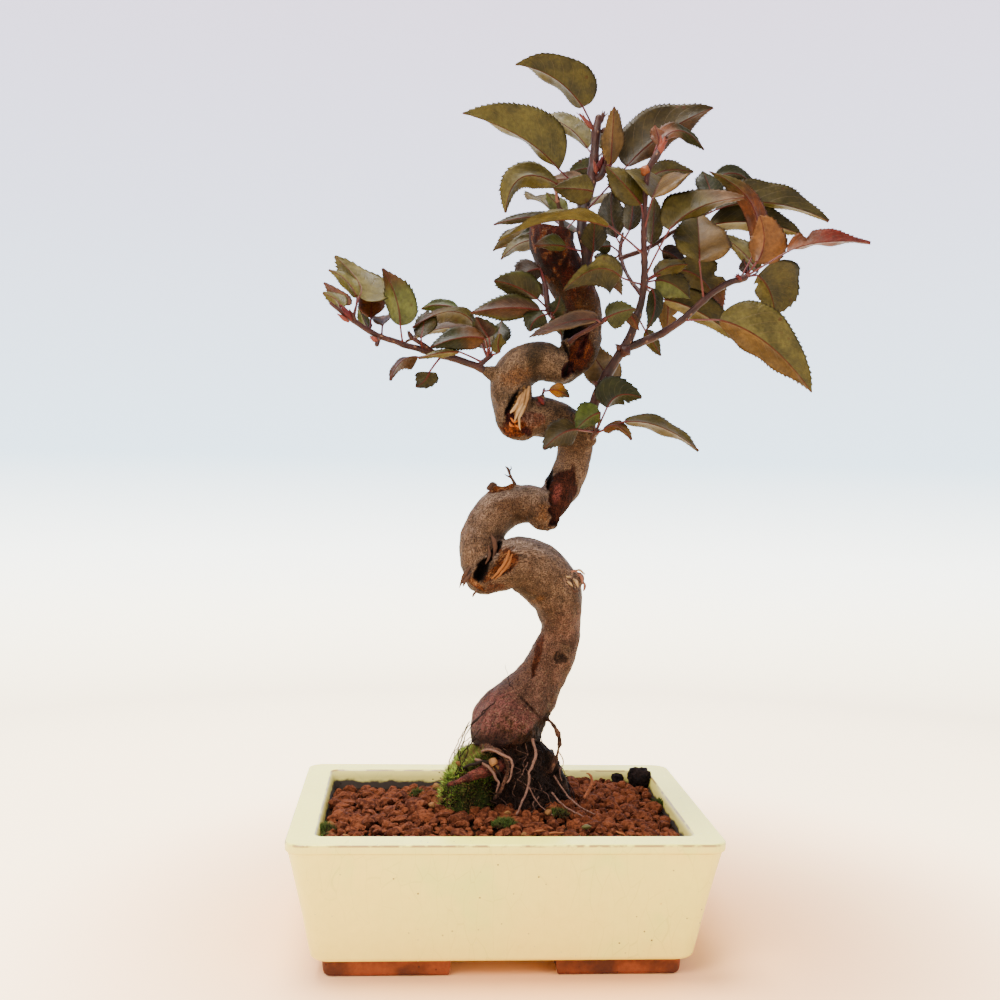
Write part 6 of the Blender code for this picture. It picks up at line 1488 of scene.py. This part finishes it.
# What each leaf shows to the front: its shade, or two shades and where the second lies: at the tip, at the foot, along
# the edge, or on the leaf's second half. A second shade on one half is painted light and shade of a leaf folded along
# its midrib, one half lit and the other shaded.
leafLooks = {
    "shoot_left_branch": [
        ("yellowGreen",), ("pink",), ("paleKhaki",), ("yellowGreen",), ("orangeBrown",), ("paleGreen", "tip", "brown"),
        ("paleGreen",), ("mauve",), ("darkKhaki",), ("khaki", "tip", "purple"), ("brightGreen",),
        ("purple", "half", "paleKhaki"), ("darkGreen", "foot", "brown"), ("brown",), ("paleKhaki",), ("darkKhaki",),
        ("darkGreen",), ("khaki",), ("purple", "edge", "green"), ("yellowKhaki",)],
    "shoot_right_branch": [
        ("yellowKhaki",), ("yellowKhaki", "half", "darkKhaki"), ("darkGreen", "foot", "pink"), ("pink",),
        ("khaki", "half", "tan"), ("khaki",), ("khaki",), ("khaki",), ("khaki", "tip", "mauve"),
        ("khaki", "half", "paleKhaki"), ("khaki", "tip", "orangeBrown"), ("khaki",), ("darkKhaki", "half", "paleGreen"),
        ("darkGreen",), ("tan",), ("khaki",), ("tan",), ("darkGreen",), ("darkGreen",), ("darkKhaki",), ("darkKhaki",),
        ("darkKhaki", "half", "paleKhaki"), ("darkKhaki", "half", "paleKhaki"), ("darkGreen",), ("darkGreen",),
        ("darkBrown",), ("khaki", "half", "tan"), ("orangeBrown", "tip", "khaki"), ("peach",), ("paleKhaki",),
        ("darkBrown",), ("red", "foot", "orangeBrown"), ("khaki", "half", "paleKhaki"),
        ("yellowKhaki", "half", "tan")],
    "shoot_crown_leader": [
        ("khaki", "litHalfTip", "yellowKhaki"), ("yellowKhaki", "litHalfTip", "paleKhaki"), ("paleKhaki",),
        ("yellowKhaki",), ("mauve",), ("khaki",), ("green",), ("darkOlive", "half", "brown"), ("tan",), ("darkKhaki",),
        ("darkKhaki",),
        ("green", "tip", "brown"), ("paleGreen",), ("khaki",)],
    "shoot_left_crown": [
        ("darkPurple",), ("darkKhaki", "edge", "green"), ("mauve",), ("purple", "edge", "green"), ("darkGreen",),
        ("darkGreen",), ("darkGreen",)],
    "shoot_cross_twig": [("purple", "edge", "mauve"), ("green",), ("brown",)],
    "shoot_lower_spur": [("darkGreen",), ("khaki",), ("brown", "tip", "tan"), ("brightGreen",), ("darkOlive",)],
    "shoot_yellow_leaf": [("yellowOrange", "tip", "darkGreen")],
    "shoot_back_spur": [("khaki",), ("darkGreen",), ("darkKhaki",), ("green",), ("khaki",), ("purple", "edge", "green"),
                        ("khaki", "tip", "orangeBrown")],
}
leafForm = {"toothPitch": 1.95, "toothHeight": 0.66, "thick": 0.16, "rib": 0.4, "veins": 8, "quilt": 0.13,
            "wave": 0.05, "columns": (0.05, 0.14, 0.38, 0.64, 0.86, 1.0)}
# Deep notches in a few blades: shoot and leaf, then half, place along the rib, width and depth share.
leafNotches = {("shoot_right_branch", 1): [(0, 0.66, 0.05, 0.5)], ("shoot_right_branch", 32): [(1, 0.2, 0.05, 0.5)],
               ("shoot_right_branch", 31): [(0, 0.3, 0.05, 0.45)], ("shoot_right_branch", 14): [(0, 0.55, 0.04, 0.4)],
               ("shoot_lower_spur", 0): [(1, 0.55, 0.05, 0.4)], ("shoot_crown_leader", 4): [(1, 0.7, 0.05, 0.5)],
               ("shoot_right_branch", 10): [(0, 0.5, 0.05, 0.4)]}
eye = np.array([-41.8, -551.5, 215.1])  # where the viewer stands, in the pot's frame


def turnedBy(vector, start, ends):
    # the vector turned as the unit heading start turns to each unit heading in ends:
    # v + k x v + k x (k x v) / (1 + c), with k = start x end and c = start . end
    k = np.cross(start, ends)
    c = ends @ start
    once = np.cross(k, vector)
    return vector + once + np.cross(k, once) / (1 + c)[:, None]


def leafShell(row, look, notches, draw):
    # a blade on a grid: s runs along the midrib P(s), t from edge to edge, and the surface is
    # P(s) + turned half width w(s) |t| + lift along the normal for fold, quilt and waves
    foot, base, middle, tip, edge, other = np.array(row, float)
    length = np.linalg.norm(middle - base) + np.linalg.norm(tip - middle)
    teeth = max(6, round(length * 1.1 / leafForm["toothPitch"]))
    beat, spike = np.array([0, 0.45, 0.84, 0.93]), np.array([0, 0.42, 1.0, 0.1])
    s = ((np.arange(teeth)[:, None] + beat) / teeth).ravel()[1:]
    spike = np.tile(spike, teeth)[1:]

    def rib(s):
        s = np.asarray(s)[..., None]
        return base * (1 - s) * (1 - 2 * s) + middle * 4 * s * (1 - s) + tip * s * (2 * s - 1)

    def heading(s):
        s = np.asarray(s)[..., None]
        return unit(base * (4 * s - 3) + middle * (4 - 8 * s) + tip * (4 * s - 1))

    ahead = heading(s)
    width = s**0.6 * (1 - s) ** 0.97 / (0.5**0.6 * 0.5**0.97)
    outs = []
    for which, half in enumerate((edge - middle, other - middle)):
        uneven = 0.97 + 0.05 * cloudNoise(np.column_stack([s * 6 + 9 * which, s * 0, s * 0 + draw.uniform(0, 50)]), 1, 3)
        for side, place_, wide, deep in notches:
            if side == which:
                uneven = uneven - deep * np.exp(-(((s - place_) / wide) ** 2))
        outs.append(turnedBy(half, heading(0.5), ahead) * (width * uneven)[:, None])
    sides = [unit(np.cross(ahead, outs[0])), unit(-np.cross(ahead, outs[1]))]
    meanNormal = unit(sides[0] + sides[1])
    size = (np.linalg.norm(edge - middle) + np.linalg.norm(other - middle)) / 2
    at = len(s) // 2
    fold = ((edge - middle) + (other - middle)) @ meanNormal[at] / size
    upper = 1 if fold * 0.8 + meanNormal[at][2] * 0.7 >= 0 else -1
    front = 1 if (eye - middle) @ meanNormal[at] > 0 else -1

    toothHigh = leafForm["toothHeight"] * smooth(0.02, 0.2, s) * (0.35 + 0.65 * smooth(1.0, 0.9, s))
    toothHigh = toothHigh * np.concatenate([np.repeat(draw.uniform(0.5, 1.35, teeth), 4)])[1:]
    toothHigh *= min(1.0, size / 6.5)
    columns, normals, shares = [], [], []
    phase, turns = draw.uniform(0, 6.28, 2), draw.uniform(1.4, 2.8, 2)
    for which, sign in ((1, -1), (0, 1)):
        part = []
        for t in leafForm["columns"]:
            tooth = (t == 1.0) * 1.0 + (t == 0.82) * 0.12
            reach = outs[which] * t + unit(outs[which]) * (spike * toothHigh * tooth)[:, None]
            reach = reach + ahead * (spike * toothHigh * tooth * 0.55)[:, None]
            normal = unit(meanNormal * (1 - min(1, 2.5 * t)) + sides[which] * min(1, 2.5 * t))
            veins = leafForm["veins"] * (s - 0.2 * t - 0.12 * t * t) + 0.5 * which
            quilt = np.cos(2 * np.pi * veins) * leafForm["quilt"] * math.sqrt(4 * t * (1 - t)) * upper
            arch = 0.07 * size * 4 * t * (1 - t) * width * upper
            wave = leafForm["wave"] * size * np.sin(2 * np.pi * turns[which] * s + phase[which]) * t * t * 1.3
            lift = quilt + arch + wave
            distance = np.linalg.norm(outs[which], axis=1) * t
            part.append((rib(s) + reach + normal * lift[:, None], normal, veins, distance, t))
        part = part[::-1] if sign < 0 else part
        columns.append(part)
    centre = (rib(s), meanNormal, leafForm["veins"] * s, np.zeros(len(s)), 0.0)
    line = columns[0] + [centre] + columns[1]
    mid = np.stack([c[0] for c in line], axis=1)
    normal = np.stack([c[1] for c in line], axis=1)
    veins = np.stack([c[2] for c in line], axis=1)
    distance = np.stack([c[3] for c in line], axis=1)
    share = np.array([c[4] for c in line])
    rows, wide = mid.shape[:2]
    ridge = np.exp(-((distance / 0.75) ** 2)) * (1 - 0.6 * s)[:, None]
    half = (leafForm["thick"] + leafForm["rib"] * ridge)[..., None] * np.where(share == 1, 0, 1)[None, :, None]
    mid = mid - normal * (ridge * 0.3 * upper)[..., None]
    plus, minus = mid + normal * half, mid - normal * half

    def coloured(side):
        # the shade that this face shows, spread over the blade by where the second shade lies
        first = linear(leafShades[look[0]])
        second = linear(leafShades[look[2]]) if len(look) > 1 else first
        where = look[1] if len(look) > 1 else ""
        grid = np.broadcast_to(s[:, None], (rows, wide))
        spread = {"": grid * 0, "tip": smooth(0.55, 0.85, grid), "foot": smooth(0.6, 0.25, grid),
                  "edge": smooth(0.55, 0.95, share)[None] + grid * 0,
                  # one half in the second shade: painted light and shade of the fold
                  "half": (np.arange(wide) < wide // 2)[None] * 1.0 + grid * 0,
                  "litHalfTip": (np.arange(wide) < wide // 2)[None] * smooth(0.5, 0.7, grid)}[where]
        colour = mixed(first, second, spread)
        # on the face away from the viewer, a lower side is mixed half with pale khaki and an upper side is painted 0.75
        # as bright, as painted shade
        if side != front:
            colour = mixed(colour, linear((150, 140, 92)), 0.5) if side != upper else colour * 0.75
        return colour * draw.uniform(0.92, 1.08) * shownShare["leaf"]

    colours = [coloured(1), coloured(-1)]
    inner = slice(1, wide - 1)
    grid = np.arange(rows * wide).reshape(rows, wide)
    back = grid.copy()
    back[:, inner] = rows * wide + np.arange(rows * (wide - 2)).reshape(rows, wide - 2)
    start = rows * wide + rows * (wide - 2)
    quads = [np.stack([grid[:-1, :-1], grid[1:, :-1], grid[1:, 1:], grid[:-1, 1:]], -1).reshape(-1, 4),
             np.stack([back[:-1, :-1], back[:-1, 1:], back[1:, 1:], back[1:, :-1]], -1).reshape(-1, 4)]
    ends = np.full(wide - 1, start)
    tris = [np.stack([ends, grid[0, :-1], grid[0, 1:]], -1), np.stack([ends, back[0, 1:], back[0, :-1]], -1),
            np.stack([ends + 1, grid[-1, 1:], grid[-1, :-1]], -1), np.stack([ends + 1, back[-1, :-1], back[-1, 1:]], -1)]
    points = np.vstack([plus.reshape(-1, 3), minus[:, inner].reshape(-1, 3), rib([0.0, 1.0])])
    shade = np.vstack([colours[0].reshape(-1, 3), colours[1][:, inner].reshape(-1, 3), colours[0][0, 6][None], colours[0][-1, 6][None]])
    marks = np.stack([veins, distance / (1 - 0.75 * s)[:, None], np.broadcast_to(share, veins.shape)], axis=-1)
    marks = np.vstack([marks.reshape(-1, 3), marks[:, inner].reshape(-1, 3), marks[0, 6][None], marks[-1, 6][None]])
    return {"points": points, "quads": np.vstack(quads), "tris": np.vstack(tris),
            "marks": {"leafColour": shade, "leafMap": marks}}, rib(0.07), heading(0.0)


def closestOnTwigs(point, runs):
    # the nearest spot on the straight pieces of the twigs' middle lines
    starts = np.vstack([run[:-1, :3] for run in runs])
    steps = np.vstack([np.diff(run[:, :3], axis=0) for run in runs])
    t = np.clip(((point - starts) * steps).sum(-1) / (steps**2).sum(-1), 0, 1)
    spots = starts + steps * t[:, None]
    return spots[np.linalg.norm(spots - point, axis=1).argmin()]


def held(points):
    # the last 2.5 mm before the sides of the CAD box are squeezed, so that no tip leaves it:
    # limit - 2.5 exp(-(depth past the line) / 2.5)
    low, high = ((np.array(corner) - potMiddle) / mm for corner in cadBox)
    soft = 2.5
    points = np.where(points > high - soft, high - 0.02 - (soft - 0.02) * np.exp(-(points - high + soft) / soft), points)
    return np.where(points < low + soft, low + 0.02 + (soft - 0.02) * np.exp((points - low - soft) / soft), points)


def makeShoot(name, runs, rows, materials):
    draw = np.random.default_rng(sum(map(ord, name)))
    runs = [np.array(run, float) for run in runs]
    ahead = unit((runs[0][1] - runs[0][0])[:3])
    runs[0] = np.vstack([[*(runs[0][0, :3] - ahead * 3), runs[0][0, 3]], runs[0]])
    paths = [eased(run, 0.9) for run in runs]
    feet = np.array([closestOnTwigs(np.array(row[0], float), runs) for row in rows])
    shells = []
    for number, path in enumerate(paths):
        # the twig swells round each leaf's foot: radius (1 + 0.45 exp(-(distance / 1.5)^2))
        gap = np.linalg.norm(path[:, None, :3] - feet[None], axis=-1).min(axis=1)
        path[:, 3] *= twigShare.get(name, 0.8) * (1 + 0.14 * np.exp(-((gap / 1.2) ** 2)))
        path[:, 3] *= 1 + 0.07 * cloudNoise(path[:, :3], 2.5, number)
        path[:, :3] += 0.25 * np.stack([cloudNoise(path[:, :3], 5, 80 + axis) for axis in range(3)], -1)
        shell = sweep(path, 12, 0.1, number)
        shell["look"] = 1
        shell["marks"]["young"] = np.clip((2.4 - np.interp(shell["marks"]["runMap"][:, 2], np.linspace(0, shell["marks"]["runMap"][-1, 2], len(path)), path[:, 3])) / 1.6, 0, 1)
        shells.append(shell)
    for number, (row, look, foot) in enumerate(zip(rows, leafLooks[name], feet)):
        shell, inside, ahead = leafShell(row, look, leafNotches.get((name, number), []), draw)
        shells.append(shell)
        base = np.array(row[1], float)
        reach = np.linalg.norm(base - foot)
        bend = foot * 0.5 + base * 0.5 - ahead * reach * 0.08
        stalk = eased(np.array([(*foot, 0.72), (*(foot * 0.8 + base * 0.2), 0.5),
                                (*(bend * 0.5 + (foot + base) * 0.25), 0.44), (*base, 0.42), (*inside, 0.32)]), 1.3)
        shell = sweep(stalk, 8)
        shell["look"] = 2
        shells.append(shell)
    for shell in shells:
        shell["points"] = held(shell["points"])
    made = putMesh(name.replace("shoot", "leaves"), shells, materials)
    finished(made, [name])


def leafMaterial():
    # the painted blade with paler side veins, crimson midrib, dark red teeth, rust spots and a fine net
    made, tree, shader = newMaterial("leafBlade", 0.5, 0.12)
    spot = objectPlace(tree)
    base = attribute(tree, "leafColour")["Color"]
    where = addNode(tree, "SeparateXYZ", {0: attribute(tree, "leafMap")["Vector"]}).outputs
    patch = addNode(tree, "TexNoise", {"Vector": spot, "Scale": 130.0, "Detail": 4.0}).outputs[0]
    fine = addNode(tree, "TexNoise", {"Vector": spot, "Scale": 620.0, "Detail": 3.0}).outputs[0]
    shade = mathNode(tree, "MULTIPLY", ranged(tree, patch, 0.32, 0.68, 0.7, 1.28), ranged(tree, fine, 0.3, 0.7, 0.8, 1.2))
    grey = addNode(tree, "CombineColor", {0: shade, 1: shade, 2: shade}).outputs[0]
    colour = blended(tree, 1.0, base, grey, "MULTIPLY")
    beat = mathNode(tree, "PINGPONG", where[0], 0.5)
    vein = ranged(tree, beat, 0.0, 0.045, 1.0, 0.0)
    vein = mathNode(tree, "MULTIPLY", vein, ranged(tree, where[2], 0.7, 1.0, 1.0, 0.1))
    colour = blended(tree, mathNode(tree, "MULTIPLY", vein, 0.4), colour, shown("leaf", (176, 150, 96)))
    rust = useGroup(tree, "specks", {"Vector": spot, "Scale": 300.0, "Size": 0.34, "Share": 0.22})["Mask"]
    rustShare = mathNode(tree, "MULTIPLY", ranged(tree, where[2], 0.45, 0.95, 0.02, 0.8), ranged(tree, patch, 0.46, 0.6, 0.0, 1.0))
    colour = blended(tree, mathNode(tree, "MULTIPLY", rust, rustShare), colour, shown("leaf", (120, 62, 34)))
    rim = ranged(tree, where[2], 0.95, 1.0, 0.0, 0.6)
    colour = blended(tree, rim, colour, shown("leaf", (64, 28, 20)))
    rib = ranged(tree, where[1], 0.3, 0.6, 0.85, 0.0)
    colour = blended(tree, rib, colour, shown("leaf", (140, 48, 48)))
    tree.links.new(colour, shader.inputs["Base Color"])
    net = addNode(tree, "TexVoronoi", {"Vector": spot, "Scale": 1000.0}, feature="DISTANCE_TO_EDGE").outputs[0]
    height = mathNode(tree, "MULTIPLY_ADD", vein, -0.8, mathNode(tree, "MULTIPLY", ranged(tree, net, 0.0, 0.2), 0.3))
    bumped(tree, shader, height, 0.0002, 0.6)
    rough = ranged(tree, patch, 0.3, 0.7, 0.4, 0.55)
    tree.links.new(rough, shader.inputs["Roughness"])
    return made


def twigMaterial():
    # purple brown skin, greyer where old, redder where young, with pale lenticels
    made, tree, shader = newMaterial("twigBark", 0.55, 0.22)
    spot = objectPlace(tree)
    along = attribute(tree, "runMap")["Vector"]
    young = attribute(tree, "young")["Fac"]
    skin = useGroup(tree, "patches", {"Vector": spot, "Scale": 110.0, "First": shown("twig", (98, 58, 50)),
                                      "Second": shown("twig", (58, 34, 33)), "Contrast": 0.14, "Grain": 0.16})
    colour = blended(tree, ranged(tree, young, 0.3, 1.0, 0.0, 0.6), skin["Color"], shown("twig", (104, 44, 44)))
    film = useGroup(tree, "streaks", {"Vector": along, "Across": 0.9, "Along": 0.14})["Value"]
    colour = blended(tree, ranged(tree, film, 0.5, 0.66, 0.0, 0.4), colour, shown("twig", (150, 118, 106)))
    drawn = stretched(tree, along, (0.45, 0.45, 0.3))
    dots = useGroup(tree, "specks", {"Vector": drawn, "Scale": 1.0, "Size": 0.24, "Share": 0.55})["Mask"]
    colour = blended(tree, mathNode(tree, "MULTIPLY", dots, 0.8), colour, shown("twig", (206, 176, 148)))
    tree.links.new(colour, shader.inputs["Base Color"])
    bumped(tree, shader, mathNode(tree, "MULTIPLY_ADD", dots, 0.8, film), 0.0003, 0.6)
    return made


def stalkMaterial():
    made, tree, shader = newMaterial("leafStalk", 0.45, 0.3)
    spot = objectPlace(tree)
    skin = useGroup(tree, "patches", {"Vector": spot, "Scale": 150.0, "First": shown("twig", (158, 52, 54)),
                                      "Second": shown("twig", (118, 40, 40)), "Contrast": 0.16, "Grain": 0.08})
    tree.links.new(skin["Color"], shader.inputs["Base Color"])
    return made


def makeShoots():
    materials = [leafMaterial(), twigMaterial(), stalkMaterial()]
    for name, runs in shootRuns.items():
        makeShoot(name, runs, leafRows[name], materials)


def collars():
    return [(runs, shootFeet[name]) for name, runs in shootRuns.items()]


# Small things on the soil and the wood.

extras = {
    "pebbles": [((-4.2, -22.5, 82.8), 4.6), ((-73.7, -30, 57.5), 4.2), ((-72, -45, 57), 4.8), ((-30, -10, 60.5), 4.6),
                ((-2.6, -21.6, 80), 3.4), ((-27.6, 24, 59.8), 4.4), ((-19, -14, 80), 3.0), ((20, -27, 62), 3.2),
                ((2, -27, 62), 2.6), ((-66, -46, 57), 4.0), ((-74.2, 20, 54.6), 3.6), ((7.7, -46, 58.4), 3.2)],
    "tufts": [((0.5, -35, 59), 5.5, 700), ((-75.5, -32, 56), 4.5, 600), ((-74, -44, 55.5), 3.4, 300),
              ((24, -24, 60), 5.0, 400), ((75, 8, 55.5), 3.0, 260), ((-36, 18, 57), 4.0, 260)],
}


def makePebbles():
    draw = np.random.default_rng(17)
    centres = np.array([spot for spot, size in extras["pebbles"]], float)
    sizes = np.array([size for spot, size in extras["pebbles"]])
    shell = lumps(centres, sizes, draw, 0.32, 0.85)
    look = plainMaterial("paleGrit", (204, 142, 84), (158, 106, 58), 260.0, 0.85, 0.0006)
    finished(putMesh("pale_grit", [shell], [look]))


def makeTufts():
    draw = np.random.default_rng(19)
    shells = []
    for spot, reach, count in extras["tufts"]:
        turn, far = draw.uniform(0, 2 * np.pi, count), np.sqrt(draw.uniform(0, 1, count)) * reach
        x, y = spot[0] + far * np.cos(turn), spot[1] + far * np.sin(turn) * 0.8
        z = spot[2] + 2.2 * (1 - (far / reach) ** 2) + draw.uniform(-0.6, 0.4, count)
        ups = unit(np.column_stack([(x - spot[0]) / reach, (y - spot[1]) / reach, np.full(count, 1.6)]))
        shells.append(bladesOver(np.column_stack([x, y, z]), ups, draw.uniform(1.0, 2.4, count), draw.uniform(0.3, 0.6, count), draw))
        shells[-1]["marks"]["mossLook"] *= (0.55, 0.3, 1)
    finished(putMesh("moss_tufts", shells, [bpy.data.materials["mossBlades"]]))


# Each bud: its foot and tip, its width, its tone, and how many scales stand away at the top. A bud with
# no scales is a swollen node.
buds = [
    ((57.0, -14, 341.2), (58.4, -14, 344.6), 4.6, "orange", 0), ((63.4, -14.4, 349.6), (65.6, -15, 356.6), 3.4, "coral", 6),
    ((40.4, 11, 368.6), (42.8, 11, 374.2), 3.2, "brown", 3), ((37.0, 8.6, 365.4), (30.6, 6, 371.4), 2.2, "pink", 3),
    ((41.6, 10, 364.8), (44.4, 9.6, 366.6), 2.6, "brown", 2), ((39.0, 6.4, 345.6), (41.6, 3, 352.2), 2.6, "crimson", 4),
    ((38.8, 5, 344.6), (37.0, 2, 349.4), 2.0, "pink", 2), ((42.4, 5, 345), (45.6, 3, 348.4), 2.2, "crimson", 3),
    ((-69.2, -17, 273.6), (-73.6, -18, 279.2), 3.0, "crimson", 4), ((-70.5, -17, 272.4), (-75.0, -18, 275.4), 2.2, "pink", 2),
    ((-67.4, -16.4, 273.2), (-70.0, -17.4, 277.2), 2.2, "brown", 2), ((-58.0, -15.4, 264.4), (-61.0, -15.4, 266.4), 2.4, "pink", 2),
    ((-43.0, -14, 266.2), (-44.8, -14.6, 269.2), 2.4, "brown", 2), ((39.2, -22, 274.8), (41.4, -22.6, 277.6), 2.4, "crimson", 3),
    ((15.6, -7, 239.8), (13.2, -8, 242.8), 2.8, "crimson", 3), ((14.2, -7.4, 238.8), (12.2, -8.6, 240.4), 2.2, "brown", 0),
    ((49.6, -7.4, 264.6), (47.6, -9, 266.6), 2.6, "brown", 2), ((40.6, -6, 247.8), (38.2, -7.4, 250.0), 2.8, "brown", 2),
    ((51.2, -7.4, 262.6), (53.4, -8.4, 265.8), 5.6, "brown", 0), ((102.6, -9.6, 297), (100.4, -10, 299), 2.2, "crimson", 2),
    ((38.0, -11.6, 226.2), (39.6, -13.4, 229.4), 3.6, "brown", 2), ((33.4, -40, 59.6), (36.6, -40.4, 60.0), 2.2, "green", 0),
]
budTones = {"coral": (222, 128, 104), "crimson": (136, 36, 44), "pink": (196, 116, 108), "brown": (104, 60, 50),
            "orange": (206, 132, 78), "green": (150, 168, 92)}


def makeBuds():
    # a bud is a spindle from foot to tip, and its scales are thinner spindles that lean away by turns
    draw = np.random.default_rng(23)
    shells = []
    for number, (foot, tip, width, tone, scales) in enumerate(buds):
        foot, tip = np.array(foot, float), np.array(tip, float)
        ahead, side, up = (row[0] for row in ringFrames(np.array([foot, tip])))
        for k in range(scales + 1):
            turn = 2 * math.pi * k / max(scales, 1) + draw.uniform(-0.4, 0.4)
            out = (side * math.cos(turn) + up * math.sin(turn)) * width * (0.42 if k else 0)
            t = np.array([0, 0.3, 0.65, 1.0])[:, None] * (draw.uniform(0.75, 1.12) if k else 1)
            path = foot + (tip - foot) * t + out * t * (0.4 + t)
            radius = width / 2 * np.array([0.6, 1.0, 0.75, 0.2]) * (0.42 if k else 1)
            shell = sweep(eased(np.column_stack([path, radius]), 0.5), 8, 0.25, number)
            grain = layeredNoise(shell["marks"]["runMap"] * (1, 1, 0.3), 0.7, number + k)
            paint = linear(budTones[tone]) * shownShare["twig"] * (1 + 0.3 * grain)[:, None]
            shell["marks"]["paint"] = paint * draw.uniform(0.8, 1.15)
            shells.append(shell)
    made, tree, shader = newMaterial("budScales", 0.55, 0.2)
    tree.links.new(attribute(tree, "paint")["Color"], shader.inputs["Base Color"])
    finished(putMesh("buds", shells, [made]))


# The stage: a pale bowl of floor and backdrop, soft lights, and the camera.

stageLook = {"flat": 1.5, "round": 1.6, "height": 3.2, "glow": 4.0}
cameraLook = {"spot": (-41.8, -551.5, 215.1), "yaw": 4.12, "pitch": 1.96, "roll": -1.24, "focus": 1229.4}


def makeStage():
    # a bowl: flat to its radius, then a quarter circle up to a wall, turned round the pot
    turn = np.linspace(0, np.pi / 2, 24)
    flat, bend = stageLook["flat"], stageLook["round"]
    radius = np.concatenate([np.linspace(0.02, flat, 8)[:-1], flat + bend * np.sin(turn), [flat + bend]])
    height = np.concatenate([np.zeros(7), bend * (1 - np.cos(turn)), [stageLook["height"]]])
    angle = np.arange(96) * 2 * np.pi / 96
    points = np.stack([radius[:, None] * np.cos(angle), radius[:, None] * np.sin(angle),
                       np.repeat(height[:, None], 96, axis=1)], axis=-1).reshape(-1, 3)
    grid = np.arange(len(points)).reshape(-1, 96)
    after = np.roll(grid, -1, axis=1)
    quads = np.stack([grid[:-1], grid[1:], after[1:], after[:-1]], axis=-1).reshape(-1, 4)
    tris = np.stack([grid[0], after[0], np.full(96, len(points))], axis=-1)
    shell = {"points": np.vstack([points, [0, 0, 0]]) / mm, "quads": quads[:, ::-1], "tris": tris, "marks": {}}
    made, tree, shader = newMaterial("paleStage", 0.9, 0.1)
    # the colour runs with height + 0.3 x distance from the pot, peach and orange round the pot's foot as a painted
    # shadow, and the bowl glows as painted light, most behind the pot
    where = addNode(tree, "SeparateXYZ", {0: objectPlace(tree)}).outputs
    square = mathNode(tree, "MULTIPLY_ADD", where[1], where[1], mathNode(tree, "MULTIPLY", where[0], where[0]))
    distance = mathNode(tree, "SQRT", square)
    reach = mathNode(tree, "MULTIPLY", mathNode(tree, "MULTIPLY_ADD", distance, 0.3, where[2]), 0.4)
    ramp = addNode(tree, "ValToRGB", {0: reach})
    ramp.color_ramp.elements[0].color = rgba((250, 180, 112))
    ramp.color_ramp.elements[1].color = rgba((164, 156, 172))
    for position, colour in ((0.012, (255, 202, 148)), (0.034, (255, 232, 194)), (0.12, (255, 247, 218)),
                             (0.23, (240, 244, 234)), (0.36, (172, 194, 206)), (0.7, (166, 170, 186))):
        ramp.color_ramp.elements.new(position).color = rgba(colour)
    tree.links.new(ramp.outputs[0], shader.inputs["Base Color"])
    share = mathNode(tree, "MULTIPLY", ranged(tree, distance, 0.12, 0.8), ranged(tree, where[1], -0.5, 1.5, 0.1, 1.0))
    near = mathNode(tree, "MULTIPLY", ranged(tree, distance, 0.1, 0.28), ranged(tree, distance, 1.0, 0.4, 0.0, 0.6))
    glow = blended(tree, mathNode(tree, "MAXIMUM", share, near), rgba((0, 0, 0)), ramp.outputs[0])
    tree.links.new(glow, shader.inputs["Emission Color"])
    shader.inputs["Emission Strength"].default_value = stageLook["glow"]
    bowl = putMesh("stage_bowl", [shell], [made])


def makeLight(name, spot, target, size, power, colour):
    data = bpy.data.lights.new(name, "AREA")
    data.shape = "DISK"
    data.size = size
    data.energy = power
    data.color = linear(colour)
    made = bpy.data.objects.new(name, data)
    made.location = spot
    made.rotation_euler = (made.location - Vector(target)).to_track_quat("Z", "Y").to_euler()
    bpy.context.scene.collection.objects.link(made)


def makeLights():
    makeLight("window_left", (-0.9, -1.3, 1.5), (0, 0, 0.2), 0.9, 50, (255, 244, 230))
    makeLight("window_right", (1.3, -1.2, 0.9), (0, 0, 0.2), 1.2, 13, (250, 249, 255))
    makeLight("ceiling", (-0.3, 0.0, 1.8), (0, 0, 0.1), 0.9, 88, (255, 250, 244))
    world = bpy.data.worlds.new("room")
    world.use_nodes = True
    world.node_tree.nodes["Background"].inputs[0].default_value = rgba((244, 243, 244))
    world.node_tree.nodes["Background"].inputs[1].default_value = 0.4
    bpy.context.scene.world = world


def makeCamera():
    # heading (sin yaw cos pitch, cos yaw cos pitch, -sin pitch), its right side turned by the roll
    look = cameraLook
    yaw, pitch, roll = (math.radians(look[k]) for k in ("yaw", "pitch", "roll"))
    ahead = np.array([math.sin(yaw) * math.cos(pitch), math.cos(yaw) * math.cos(pitch), -math.sin(pitch)])
    right = np.array([math.cos(yaw), -math.sin(yaw), 0])
    down = np.cross(ahead, right)
    across = math.cos(roll) * right + math.sin(roll) * down
    below = -math.sin(roll) * right + math.cos(roll) * down
    data = bpy.data.cameras.new("viewpoint")
    data.sensor_width = 36
    data.lens = look["focus"] * data.sensor_width / 1000
    data.clip_start, data.clip_end = 0.01, 20
    made = bpy.data.objects.new("viewpoint", data)
    spot = place(look["spot"])
    made.matrix_world = Matrix([[across[k], -below[k], -ahead[k], spot[k]] for k in range(3)] + [[0, 0, 0, 1]])
    bpy.context.scene.collection.objects.link(made)
    bpy.context.scene.camera = made


def main():
    makeCamera()
    makeStage()
    makeLights()
    print("stage, lights and camera are in place")
    makePot()
    makeFeet()
    dressHidden()
    print("the pot is done")
    makeTopping()
    makeMoss()
    makePeat()
    makePebbles()
    makeTufts()
    print("the soil is done")
    makeTrunk()
    makeSplinters()
    makeRootlets()
    print("the trunk and roots are done")
    makeShoots()
    makeBuds()
    print("the leaves and buds are done")


main()
